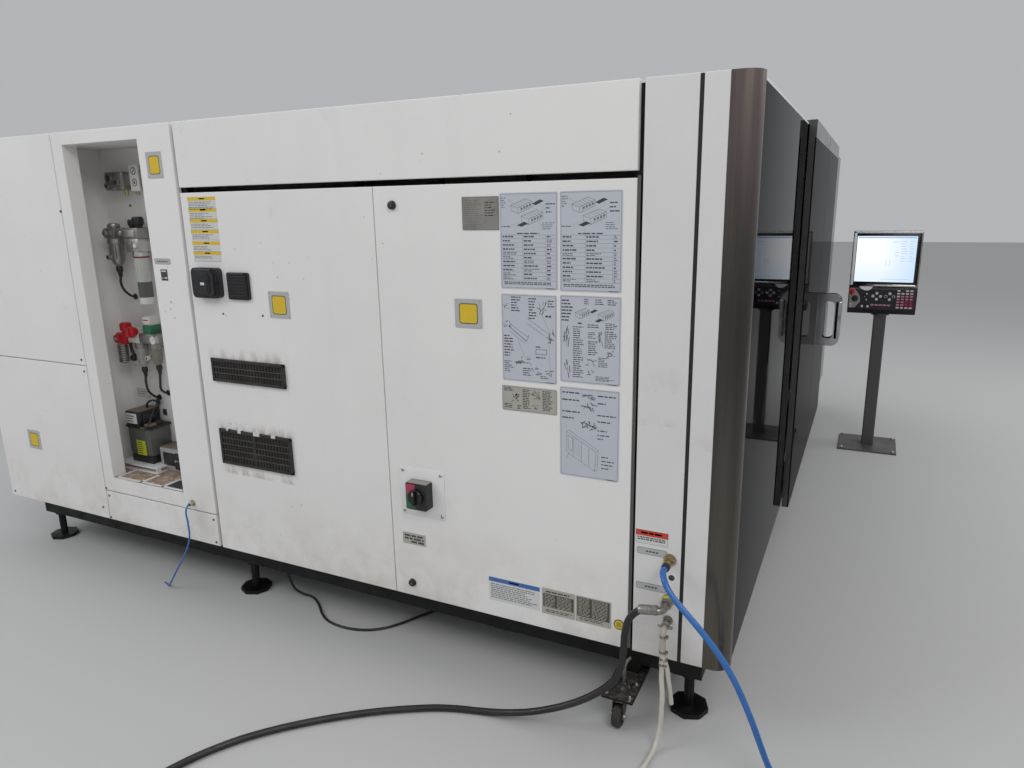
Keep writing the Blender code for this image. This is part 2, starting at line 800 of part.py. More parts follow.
def paints():
    return {
        "white": material("white_powder_coat", (0.80, 0.79, 0.77), 0.42),
        "steel": material("brushed_stainless", (0.50, 0.48, 0.45), 0.28, 1.0),
        "black": material("black_plastic", (0.02, 0.02, 0.022), 0.45),
        "frame": material("dark_frame_paint", (0.05, 0.05, 0.055), 0.55),
        "glass": material("dark_mirror_glass", (0.02, 0.02, 0.022), 0.04),
        "aluminium": material("anodised_aluminium", (0.62, 0.62, 0.61), 0.35, 1.0),
        "iron": material("machine_grey", (0.33, 0.35, 0.36), 0.5),
        "brass": material("brass_fitting", (0.60, 0.48, 0.24), 0.32, 1.0),
        "red": material("red_plastic", (0.55, 0.03, 0.03), 0.4),
        "grey": material("grey_housing", (0.40, 0.40, 0.39), 0.45),
        "rubber": material("black_rubber", (0.03, 0.03, 0.03), 0.7),
        "blue": material("blue_hose", (0.10, 0.27, 0.62), 0.35),
        "pale": material("pale_hose", (0.72, 0.69, 0.62), 0.5),
        "screen": material("screen_glass", (0.75, 0.84, 0.95), 0.1),
    }


def foot(x, y, mat):
    profile = (
        (0, 0),
        (0, FOOT_PAD_RADIUS),
        (FOOT_PAD_HEIGHT, FOOT_PAD_RADIUS),
        (FOOT_PAD_HEIGHT + WELD, FOOT_STUD_RADIUS),
        (Z_BASE - FOOT_NUT_HEIGHT, FOOT_STUD_RADIUS),
        (Z_BASE - FOOT_NUT_HEIGHT, FOOT_NUT_RADIUS),
        (Z_BASE + OVERRUN, FOOT_NUT_RADIUS),
        (Z_BASE + OVERRUN, 0),
    )
    return turned("foot", profile, (x, y, 0), (0, 0, 1), FOOT_SEGMENTS, mat)


def caster_bracket(mat):
    """The plate that carries the caster, its arm under the frame and the bent lever on it."""
    half = CASTER_PLATE_WIDTH / 2
    back = X_WALL + BASE_INSET + BASE_WIDTH
    plate = box(
        "plate",
        (CASTER_PLATE_X, CASTER_Y - half, CASTER_PLATE_Z),
        (back, CASTER_Y + half, CASTER_PLATE_Z + CASTER_PLATE),
        mat,
    )
    arm = box(
        "arm",
        (back - BASE_WIDTH, CASTER_Y - half / 2, CASTER_PLATE_Z + WELD),
        (back - WELD, CASTER_Y + half / 2, Z_BASE + OVERRUN),
        mat,
    )
    x = CASTER_SWIVEL_X + CASTER_HEAD_RADIUS
    low = CASTER_PLATE_Z + CASTER_PLATE / 2
    high = low + LEVER_HEIGHT
    outline = (
        (CASTER_Y + LEVER_THICK, low),
        (CASTER_Y + LEVER_THICK, low + LEVER_HEIGHT * 0.5),
        (CASTER_Y - LEVER_THICK, low + LEVER_HEIGHT * 0.85),
        (CASTER_Y - LEVER_THICK * 3, high),
        (CASTER_Y - LEVER_THICK * 4, high - LEVER_THICK / 2),
        (CASTER_Y - LEVER_THICK * 2, low + LEVER_HEIGHT * 0.82),
        (CASTER_Y, low + LEVER_HEIGHT * 0.47),
        (CASTER_Y, low),
    )
    lever = prism("lever", outline, "X", x, x + LEVER_THICK, mat)
    return plate, arm, lever


def base_frame(mat):
    """Ladder frame of heavy tube on levelling feet, set back under the panels."""
    low_x = X_WALL + BASE_INSET
    low_y = Y_FRONT + BASE_INSET
    beams = []
    for y in (low_y, -low_y - BASE_WIDTH, -BED_HALF_GAUGE - BASE_WIDTH / 2, BED_HALF_GAUGE - BASE_WIDTH / 2):
        beams.append(box("beam", (low_x, y, Z_BASE), (-low_x, y + BASE_WIDTH, FLOOR_GAP), mat))
    ends = [low_x, -low_x - BASE_WIDTH]
    ends += [share * LENGTH - BASE_WIDTH / 2 for share in BASE_TIE_SHARES]
    for x in ends:
        low = (x, low_y + WELD, Z_BASE + WELD)
        beams.append(box("tie", low, (x + BASE_WIDTH, -low_y - WELD, FLOOR_GAP - WELD), mat))
    span_x = LENGTH - 2 * BASE_INSET - BASE_WIDTH
    span_y = DEPTH - 2 * BASE_INSET - BASE_WIDTH
    feet = []
    for share_x in FOOT_SHARES:
        for share_y in FOOT_SHARES:
            y = share_y * span_y
            if share_x != 0 and share_y == 0:
                y = WALL_FOOT_Y
            feet.append(foot(share_x * span_x, y, mat))
    glands = []
    for x, y, z in (FLOOR_CABLE_ROUTE[0], FLOOR_CABLE_ROUTE[-1]):
        low = (x, y, z + GAP)
        glands.append(rod("gland", low, (x, y, Z_BASE + OVERRUN), GLAND_RADIUS, 8, mat))
    return fuse("base_frame", beams[0], *beams[1:], *feet, *caster_bracket(mat), *glands)


def frame_bars():
    """Low and high corners of each tube of the upper frame."""
    x0, x1 = X_FRAME, X_FRAME_FAR
    y0, y1 = Y_FRAME, Y_FRAME_BACK
    z0, z1 = Z_FRAME, Z_ROOF - GAP
    front_top = GLASS_TOP - GAP
    bars = []
    for low, high in ((z0, z0 + TUBE), (z1 - TUBE, z1)):
        bars.append(((x0, y0 + WELD, low), (x0 + TUBE, y1 - WELD, high)))
        bars.append(((x1 - TUBE, y0 + WELD, low), (x1, y1 - WELD, high)))
        bars.append(((x0 + WELD, y1 - TUBE, low), (x1 - WELD, y1, high)))
    bars.append(((x0 + WELD, y0, z0), (x1 - WELD, y0 + TUBE, z0 + TUBE)))
    bars.append(((x0 + WELD, y0, front_top - TUBE), (x1 - WELD, y0 + TUBE, front_top)))
    wall_posts = (
        RIGHT_DOOR_Y - WALL_SEAM / 2,
        NICHE_Y - WALL_SEAM / 2,
        NICHE_END_Y + STRIP_SEAM / 2,
    )
    for y in wall_posts:
        low = (x0 + WELD, y - TUBE / 2, z0 + WELD)
        bars.append((low, (x0 + TUBE - WELD, y + TUBE / 2, z1 - WELD)))
    for low, high in ((x0 + WELD, x0 + SILL_WIDTH), (x1 - SILL_WIDTH, x1 - WELD)):
        bars.append(((low, y0 + WELD, z0), (high, y1 - WELD, z0 + SILL_SHEET)))
    slot = TABLE_WIDTH / 2 + TUBE
    for y in (-slot - TUBE / 2, slot - TUBE / 2):
        low = (x1 - TUBE + WELD, y, z0 + WELD)
        bars.append((low, (x1 - WELD, y + TUBE, z1 - WELD)))
    for x in (LEAF_X, LEAF_END_X - TUBE):
        low = (x, y0 + WELD, z0 + WELD)
        bars.append((low, (x + TUBE, y0 + TUBE - WELD, front_top - WELD)))
    for share in BACK_POST_SHARES:
        x = share * LENGTH
        low = (x, y1 - TUBE + WELD, z0 + WELD)
        bars.append((low, (x + TUBE, y1 - WELD, z1 - WELD)))
        bars.append(((x, y0 + TUBE / 2, z1 - TUBE + WELD), (x + TUBE, y1 - WELD, z1 - WELD)))
    return bars


def corner_posts():
    bars = []
    for x in (X_FRAME, X_FRAME_FAR - TUBE):
        for y in (Y_FRAME, Y_FRAME_BACK - TUBE):
            top = GLASS_TOP - GAP if y < 0 else Z_ROOF - GAP
            low = (x + WELD / 2, y + WELD / 2, Z_FRAME + WELD / 2)
            bars.append((low, (x + TUBE - WELD / 2, y + TUBE - WELD / 2, top - WELD / 2)))
    return bars


def enclosure_frame(mat):
    """Box of square tube that carries the panels, the glass and the roof."""
    bars = [box("bar", low, high, mat) for low, high in frame_bars() + corner_posts()]
    frame = fuse("enclosure_frame", bars[0], *bars[1:])
    near, far = Y_FRAME - OVERRUN, Y_FRAME + COLUMN_RADIUS * CHAMFER_SHARE + OVERRUN
    corners = []
    for side in (-1, 1):
        edge = X_FRAME - OVERRUN
        outline = (
            (-side * edge, near),
            (-side * (X_FRAME + COLUMN_RADIUS * CHAMFER_SHARE + OVERRUN), near),
            (-side * edge, far),
        )
        corners.append(prism("chamfer", outline, "Z", 0, HEIGHT, mat))
    return cut(frame, *corners)


def roof_panel(mat):
    low = (X_FRAME, Y_FRAME + TUBE, Z_ROOF)
    high = (X_FRAME_FAR, Y_FRAME_BACK, Z_ROOF + ROOF_SHEET)
    roof = box("roof_panel", low, high, mat)
    grooves = []
    for share in BACK_POST_SHARES:
        x = share * LENGTH
        grooves.append(
            box(
                "groove",
                (x, low[1] - OVERRUN, high[2] - ROOF_GROOVE_DEPTH),
                (x + ROOF_GROOVE, high[1] + OVERRUN, high[2] + OVERRUN),
                mat,
            )
        )
    return cut(roof, *grooves)


def wall_tray(name, y0, y1, z0, z1, mat):
    outward = Vector((-1, 0, 0))
    return tray(name, (X_WALL, y0, z0), (X_WALL + PANEL_DEPTH, y1, z1), outward, mat)


def corner_panel(mat):
    y1 = STRIP_Y + CORNER_PANEL_WIDTH
    return wall_tray("corner_panel", STRIP_Y, y1, FLOOR_GAP, HEIGHT, mat)


def post_panel(mat):
    """Strip beside the doors, with a hole for each gas fitting."""
    y1 = POST_PANEL_Y + POST_PANEL_WIDTH
    panel = wall_tray("post_panel", POST_PANEL_Y, y1, FLOOR_GAP, HEIGHT, mat)
    holes = []
    for z in (OXYGEN_Z, NITROGEN_Z, DRAIN_Z):
        start = (X_WALL - OVERRUN, PORT_COLUMN_Y, z)
        end = (X_FRAME, PORT_COLUMN_Y, z)
        radius = (FITTING_RADIUS + GAP) / math.cos(math.pi / 12)
        holes.append(rod("hole", start, end, radius, 12, mat))
    return cut(panel, *holes)


def top_fascia(mat):
    z0 = DOOR_TOP + FASCIA_SEAM
    return wall_tray("top_fascia", RIGHT_DOOR_Y, CABINET_END_Y, z0, HEIGHT, mat)




def kick_panel(mat):
    top = FLOOR_GAP + KICK_HEIGHT
    return wall_tray("kick_panel", NICHE_Y, NICHE_END_Y, FLOOR_GAP, top, mat)


def side_panel_lower(mat):
    top = FLOOR_GAP + SIDE_PANEL_SPLIT
    return wall_tray("side_panel_lower", SIDE_Y, Y_BACK, FLOOR_GAP, top, mat)


def side_panel_upper(mat):
    low = FLOOR_GAP + SIDE_PANEL_SPLIT + DOOR_SEAM
    return wall_tray("side_panel_upper", SIDE_Y, Y_BACK, low, HEIGHT, mat)


def through_wall(y0, y1, z0, z1, mat):
    low = (X_WALL - OVERRUN, y0, z0)
    return box("hole", low, (X_WALL + PANEL_DEPTH + OVERRUN, y1, z1), mat)


def vent_rows(height):
    return max(1, round((height - 2 * VENT_BORDER) / VENT_PITCH))


def vent(name, height, centre_z, mat):
    """Louvred vent: a moulded frame with slanting blades that shed water outward."""
    low = (X_WALL - VENT_DEPTH - GAP, VENT_Y - VENT_WIDTH / 2, centre_z - height / 2)
    high = (X_WALL - GAP, VENT_Y + VENT_WIDTH / 2, centre_z + height / 2)
    frame = box(name, low, high, mat)
    work = bmesh.new()
    work.from_mesh(frame.data)
    work.normal_update()
    front = min(work.faces, key=lambda face: face.normal.x)
    bmesh.ops.bevel(
        work,
        geom=front.edges[:],
        offset=FOLD_RADIUS,
        segments=FOLD_STEPS,
        profile=0.5,
        affect="EDGES",
    )
    work.to_mesh(frame.data)
    work.free()
    y0, y1 = low[1] + VENT_BORDER, high[1] - VENT_BORDER
    z0, z1 = low[2] + VENT_BORDER, high[2] - VENT_BORDER
    cut(frame, through_wall(y0, y1, z0, z1, mat))
    rows = vent_rows(height)
    blades = []
    for i in range(rows):
        z = z0 + (z1 - z0) * (i + 1) / (rows + 1) - VENT_BLADE_LEAN / 2
        outline = (
            (low[0] + WELD / 2, z),
            (low[0] + WELD / 2, z + VENT_BLADE),
            (high[0] - WELD / 2, z + VENT_BLADE + VENT_BLADE_LEAN),
            (high[0] - WELD / 2, z + VENT_BLADE_LEAN),
        )
        blades.append(prism("blade", outline, "Y", y0 - WELD, y1 + WELD, mat))
    return fuse(name, frame, *blades)


def key_lock(y, z, mat):
    profile = (
        (0, 0),
        (0, LOCK_RADIUS),
        (LOCK_DEPTH * 0.6 + SHEET, LOCK_RADIUS),
        (LOCK_DEPTH + SHEET, LOCK_RADIUS * 0.75),
        (LOCK_DEPTH + SHEET, 0),
    )
    start = (X_WALL + SHEET, y, z)
    return turned("lock", profile, start, (-1, 0, 0), 12, mat)


def cabinet_door_right(mat):
    """Door hinged beside the post panel, with its two key locks on the free side."""
    y1 = RIGHT_DOOR_Y + CABINET_DOOR_WIDTH
    door = wall_tray("cabinet_door_right", RIGHT_DOOR_Y, y1, FLOOR_GAP, DOOR_TOP, mat)
    y = y1 - LOCK_FROM_EDGE
    locks = [key_lock(y, z, mat) for z in (FLOOR_GAP + LOCK_LOW, DOOR_TOP - LOCK_FROM_TOP)]
    return fuse("cabinet_door_right", door, *locks)


def cabinet_door_left(mat):
    """Door hinged beside the niche, cut out behind each vent."""
    door = wall_tray("cabinet_door_left", LEFT_DOOR_Y, CABINET_END_Y, FLOOR_GAP, DOOR_TOP, mat)
    holes = []
    reach = VENT_WIDTH / 2 - VENT_BORDER
    for z, height in ((VENT_UPPER_Z, VENT_UPPER_HEIGHT), (VENT_LOWER_Z, VENT_LOWER_HEIGHT)):
        rise = height / 2 - VENT_BORDER
        holes.append(through_wall(VENT_Y - reach, VENT_Y + reach, z - rise, z + rise, mat))
    return cut(door, *holes)


def outlet_box(mat):
    """Socket box with a hinged rain lid that stands proud of its body."""
    y0, y1 = OUTLET_Y - OUTLET_WIDTH / 2, OUTLET_Y + OUTLET_WIDTH / 2
    z0, z1 = OUTLET_Z - OUTLET_HEIGHT / 2, OUTLET_Z + OUTLET_HEIGHT / 2
    lid_x = X_WALL - OUTLET_DEPTH
    outline = rounded(y0, z0, y1, z1, OUTLET_RADIUS, 3)
    body = prism("body", outline, "X", lid_x + OUTLET_LID, X_WALL - GAP, mat)
    rim = OUTLET_RADIUS * 0.5
    outline = rounded(y0 + rim, z0 + rim, y1 - rim, z1 - rim, OUTLET_RADIUS, 3)
    lid = prism("lid", outline, "X", lid_x + OUTLET_LID * 0.35, lid_x + OUTLET_LID + WELD, mat)
    rim = OUTLET_RADIUS * 0.9
    outline = rounded(y0 + rim, z0 + rim, y1 - rim, z1 - rim, OUTLET_RADIUS, 3)
    crown = prism("crown", outline, "X", lid_x, lid_x + OUTLET_LID * 0.5, mat)
    knuckle = OUTLET_LID * 0.5
    top = z1 - knuckle
    start = (lid_x + OUTLET_LID, y0 + OUTLET_RADIUS, top)
    end = (lid_x + OUTLET_LID, y1 - OUTLET_RADIUS, top)
    hinge = rod("hinge", start, end, knuckle * 0.9, 8, mat)
    return fuse("outlet_box", body, lid, crown, hinge)


def port_cover(mat):
    """Flap over the data ports, ribbed across."""
    y0, y1 = PORT_Y - PORT_WIDTH / 2, PORT_Y + PORT_WIDTH / 2
    z0, z1 = PORT_Z - PORT_HEIGHT / 2, PORT_Z + PORT_HEIGHT / 2
    base_x = X_WALL - PORT_DEPTH + PORT_RIB
    base = soft_box("base", (base_x, y0, z0), (X_WALL - GAP, y1, z1), PORT_RIB, mat)
    ribs = []
    for i in range(PORT_RIBS):
        z = z0 + PORT_HEIGHT * (i + 1) / (PORT_RIBS + 1)
        outline = (
            (base_x + WELD, z - PORT_RIB),
            (base_x - PORT_RIB, z - PORT_RIB * 0.4),
            (base_x - PORT_RIB, z + PORT_RIB * 0.4),
            (base_x + WELD, z + PORT_RIB),
        )
        reach = PORT_RIB * 3
        ribs.append(prism("rib", outline, "Y", y0 + reach, y1 - reach, mat))
    return fuse("port_cover", base, *ribs)


def switch_housing(mat):
    """White mounting plate and the housing of the main switch on it."""
    plate_x = X_WALL - GAP - SWITCH_PLATE
    half_w, half_h = SWITCH_PLATE_WIDTH / 2, SWITCH_PLATE_HEIGHT / 2
    plate = box(
        "plate",
        (plate_x, SWITCH_Y - half_w, SWITCH_Z - half_h),
        (X_WALL - GAP, SWITCH_Y + half_w, SWITCH_Z + half_h),
        mat,
    )
    half_w, half_h = SWITCH_WIDTH / 2, SWITCH_HEIGHT / 2
    outline = rounded(
        SWITCH_Y - half_w,
        SWITCH_Z - half_h,
        SWITCH_Y + half_w,
        SWITCH_Z + half_h,
        SWITCH_BEVEL * 2,
        2,
    )
    front = X_WALL - SWITCH_DEPTH
    body = prism("body", outline, "X", front, plate_x + WELD, mat)
    return fuse("switch_housing", plate, body)


def switch_knob(mat):
    back = X_WALL - SWITCH_DEPTH - GAP
    profile = (
        (0, 0),
        (0, KNOB_RADIUS),
        (KNOB_DEPTH * 0.45, KNOB_RADIUS),
        (KNOB_DEPTH * 0.55, KNOB_RADIUS * 0.9),
        (KNOB_DEPTH * 0.55, 0),
    )
    disc = turned("disc", profile, (back, SWITCH_Y, SWITCH_Z), (-1, 0, 0), 20, mat)
    reach = KNOB_RADIUS * 0.86
    half = KNOB_GRIP / 2
    outline = rounded(SWITCH_Y - half, SWITCH_Z - reach, SWITCH_Y + half, SWITCH_Z + reach, half * 0.9, 2)
    grip = prism("grip", outline, "X", back - KNOB_DEPTH, back - KNOB_DEPTH * 0.5, mat)
    return fuse("switch_knob", disc, grip)


def cabinet_housing(mat):
    """Folded cabinet behind the doors, open to them, with its mounting plate and switchgear."""
    y0 = RIGHT_DOOR_Y - WALL_SEAM / 2 + TUBE / 2 + GAP
    y1 = NICHE_Y - WALL_SEAM / 2 - TUBE / 2 - GAP
    z0 = Z_FRAME + TUBE + GAP
    x0, x1 = X_FRAME, X_FRAME + CABINET_DEPTH
    sheet = CABINET_SHEET
    shell = box("cabinet_housing", (x0, y0, z0), (x1, y1, DOOR_TOP), mat)
    low = (x0 - OVERRUN, y0 + sheet, z0 + sheet)
    cut(shell, box("inside", low, (x1 - sheet, y1 - sheet, DOOR_TOP - sheet), mat))
    plate_x = x1 - sheet - BACKPLATE
    margin = CABLE_DUCT
    added = [
        box(
            "backplate",
            (plate_x, y0 + margin, z0 + margin),
            (x1 - sheet / 2, y1 - margin, DOOR_TOP - margin),
            mat,
        )
    ]
    height = DOOR_TOP - z0 - 2 * margin
    for i, shares in enumerate(SWITCHGEAR_SHARES):
        z = z0 + margin + height * (i + 0.5) / len(SWITCHGEAR_SHARES)
        duct_z = z0 + margin + height * (i + 1) / len(SWITCHGEAR_SHARES) - CABLE_DUCT
        span = y1 - y0 - 4 * margin
        low = (plate_x - CABLE_DUCT, y0 + 2 * margin, duct_z)
        high = (plate_x + BACKPLATE / 2, y1 - 2 * margin, duct_z + CABLE_DUCT * 0.7)
        added.append(box("duct", low, high, mat))
        for start, end, tall in shares:
            rise = SWITCHGEAR_HEIGHT * tall / 2
            low = (plate_x - SWITCHGEAR_DEPTH * tall, low[1], z - rise - CABLE_DUCT / 2)
            low = (low[0], y0 + 2 * margin + span * start, low[2])
            high = (plate_x + BACKPLATE / 2, y0 + 2 * margin + span * end, z + rise - CABLE_DUCT / 2)
            added.append(box("device", low, high, mat))
    return fuse("cabinet_housing", shell, *added)


def niche_housing(mat):
    """Panel with a tall opening and the recess behind it, wider than the opening."""
    panel = wall_tray("niche_housing", NICHE_Y, NICHE_END_Y, NICHE_Z, HEIGHT, mat)
    mouth = (OPENING_LOW_Y, OPENING_LOW_Z, OPENING_HIGH_Y, OPENING_HIGH_Z)
    throat_x = X_FRAME + TUBE + GAP
    back_x = NICHE_BACK
    sheet = SHEET
    walls = []
    for x0, x1, y0, y1 in (
        (X_WALL + SHEET / 2, throat_x + sheet, mouth[0], mouth[2]),
        (throat_x, back_x, CHAMBER_LOW_Y, CHAMBER_HIGH_Y),
    ):
        low = (x0, y0 - sheet, mouth[1] - sheet)
        walls.append(box("recess", low, (x1, y1 + sheet, mouth[3] + sheet), mat))
    fuse("niche_housing", panel, *walls)
    spaces = []
    for x0, x1, y0, y1 in (
        (X_WALL - OVERRUN, throat_x + 2 * sheet, mouth[0], mouth[2]),
        (throat_x + sheet, back_x - sheet, CHAMBER_LOW_Y, CHAMBER_HIGH_Y),
    ):
        spaces.append(box("space", (x0, y0, mouth[1]), (x1, y1, mouth[3]), mat))
    cut(panel, *spaces)
    exit_x, exit_y, exit_z = led(BLUE_TUBE_ROUTE, TUBE_SHIFT)[0]
    low = (X_WALL + SHEET / 2, exit_y, exit_z)
    high = (exit_x + GAP, exit_y, exit_z)
    return fuse("niche_housing", panel, rod("inlet", low, high, BLUE_TUBE, 8, mat))


def bowl(y, x, top, height, radius, mat):
    """Filter bowl hanging from its head."""
    profile = [(share * height, size * radius) for share, size in BOWL_SHARES]
    return turned("bowl", profile, (x, y, top), (0, 0, -1), 12, mat)


def air_place(spec, shares):
    """Middle and size of a head, at its share of the opening's height."""
    y, width, height, depth = spec["head"]
    z = OPENING_LOW_Z + OPENING_HEIGHT * shares["rise"]
    return OPENING_LOW_Y + y, z, width, height, depth


def air_block(name, spec, shares, mat):
    """A head on the recess's back wall with bowls under it and knobs on top."""
    y, z, width, height, depth = air_place(spec, shares)
    back = NICHE_BACK - SHEET - GAP
    bevel = depth * 0.08
    low = (back - depth, y - width / 2, z - height / 2)
    head = soft_box("head", low, (back, y + width / 2, z + height / 2), bevel, mat)
    added = []
    x = back - depth / 2
    for radius, (share, length_share) in zip(spec["bowls"], shares["bowls"]):
        bowl_y = y + width * share
        length = OPENING_HEIGHT * length_share
        added.append(bowl(bowl_y, x, z - height / 2 + bevel, length, radius, mat))
    for (radius, length), share in zip(spec["knobs"], shares["knobs"]):
        knob_y = y + width * share
        start = (x, knob_y, z + height / 2 - bevel)
        profile = (
            (0, 0),
            (0, radius * 0.8),
            (length * 0.4, radius * 0.8),
            (length * 0.45, radius),
            (length * 0.95, radius),
            (length, radius * 0.9),
            (length, 0),
        )
        added.append(turned("knob", profile, start, (0, 0, 1), 12, mat))
    for (radius, length), share in zip(spec["gauges"], shares["gauges"]):
        gauge_y = y + width * share
        start = (low[0] + bevel, gauge_y, z)
        profile = (
            (0, 0),
            (0, radius * 0.3),
            (length * 0.4, radius * 0.3),
            (length * 0.4, radius),
            (length, radius),
            (length, 0),
        )
        added.append(turned("gauge", profile, start, (-1, 0, 0), 12, mat))
    return fuse(name, head, *added)


def shutoff_knob(mat):
    y, z, width, height, depth = air_place(REGULATOR, REGULATOR_SHARES)
    x = NICHE_BACK - SHEET - GAP - depth - GAP
    radius = SHUTOFF_RADIUS
    profile = (
        (0, 0),
        (0, radius * 0.8),
        (radius * 0.5, radius * 0.8),
        (radius * 0.6, radius),
        (radius * 1.3, radius),
        (radius * 1.4, radius * 0.9),
        (radius * 1.4, 0),
    )
    place = (x, y + width * SHUTOFF_SHARE, z + height * 0.1)
    knob = turned("disc", profile, place, (-1, 0, 0), 14, mat)
    grip = radius * 0.3
    low = (x - radius * 1.9, place[1] - grip, place[2] - radius * 0.8)
    high = (x - radius * 1.3, place[1] + grip, place[2] + radius * 0.8)
    return fuse("shutoff_knob", knob, box("grip", low, high, mat)), place


def niche_shelf(mat):
    """Shelf on its leg, the tray on the recess floor and the small control unit."""
    back = NICHE_BACK - SHEET - GAP
    floor = OPENING_LOW_Z + GAP
    top = floor + SHELF_HEIGHT
    front = back - SHELF_DEPTH
    board = box("board", (front, SHELF_LOW_Y, top - SHELF_BOARD), (back, SHELF_HIGH_Y, top), mat)
    legs = []
    for y in (SHELF_LOW_Y, SHELF_HIGH_Y - SHELF_BOARD):
        low = (front, y, floor)
        legs.append(box("leg", low, (front + SHELF_BOARD * 4, y + SHELF_BOARD, top - WELD / 2), mat))
    unit_low = (back - UNIT_DEPTH, SHELF_LOW_Y - UNIT_WIDTH, floor)
    unit_high = (back, SHELF_LOW_Y + WELD, floor + UNIT_HEIGHT)
    unit = soft_box("unit", unit_low, unit_high, UNIT_BEVEL, mat)
    low = (front, SHELF_LOW_Y + WELD, floor)
    sill = box("sill", low, (back, SHELF_HIGH_Y - WELD, floor + SHELF_BOARD), mat)
    return fuse("niche_shelf", board, *legs, sill, unit)


def lubrication_pump(mat):
    """Pump head over its tank, standing on the shelf."""
    floor = OPENING_LOW_Z + GAP + SHELF_HEIGHT + GAP
    back = NICHE_BACK - SHEET - GAP
    x0 = back - PUMP_DEPTH
    y0, y1 = PUMP_Y - PUMP_WIDTH / 2, PUMP_Y + PUMP_WIDTH / 2
    taper = PUMP_WIDTH * 0.06
    outline = (
        (y0 + taper, floor),
        (y1 - taper, floor),
        (y1 - taper, floor + PUMP_BASE),
        (y1, floor + PUMP_BASE + taper),
        (y1, floor + PUMP_TANK),
        (y0, floor + PUMP_TANK),
        (y0, floor + PUMP_BASE + taper),
        (y0 + taper, floor + PUMP_BASE),
    )
    tank = prism("tank", outline, "X", x0 + taper, back, mat)
    low = (x0, y0 - taper, floor + PUMP_TANK - WELD)
    high = (back, y1 + taper, floor + PUMP_TANK + PUMP_HEAD)
    head = soft_box("head", low, high, taper * 0.6, mat)
    motor_x = x0 + PUMP_DEPTH / 2
    cap = rod("motor", (motor_x, PUMP_Y, high[2] - WELD), (motor_x, PUMP_Y, high[2] + PUMP_MOTOR), PUMP_CAP, 12, mat)
    outlets = []
    for share in PUMP_OUTLET_SHARES:
        y = y0 + PUMP_WIDTH * share
        start = (x0 + taper, y, high[2] - PUMP_HEAD * 0.5)
        end = (x0 - PUMP_OUTLET, y, start[2])
        outlets.append(rod("outlet", start, end, PUMP_OUTLET * 0.5, 8, mat))
    return fuse("lubrication_pump", tank, head, cap, *outlets)


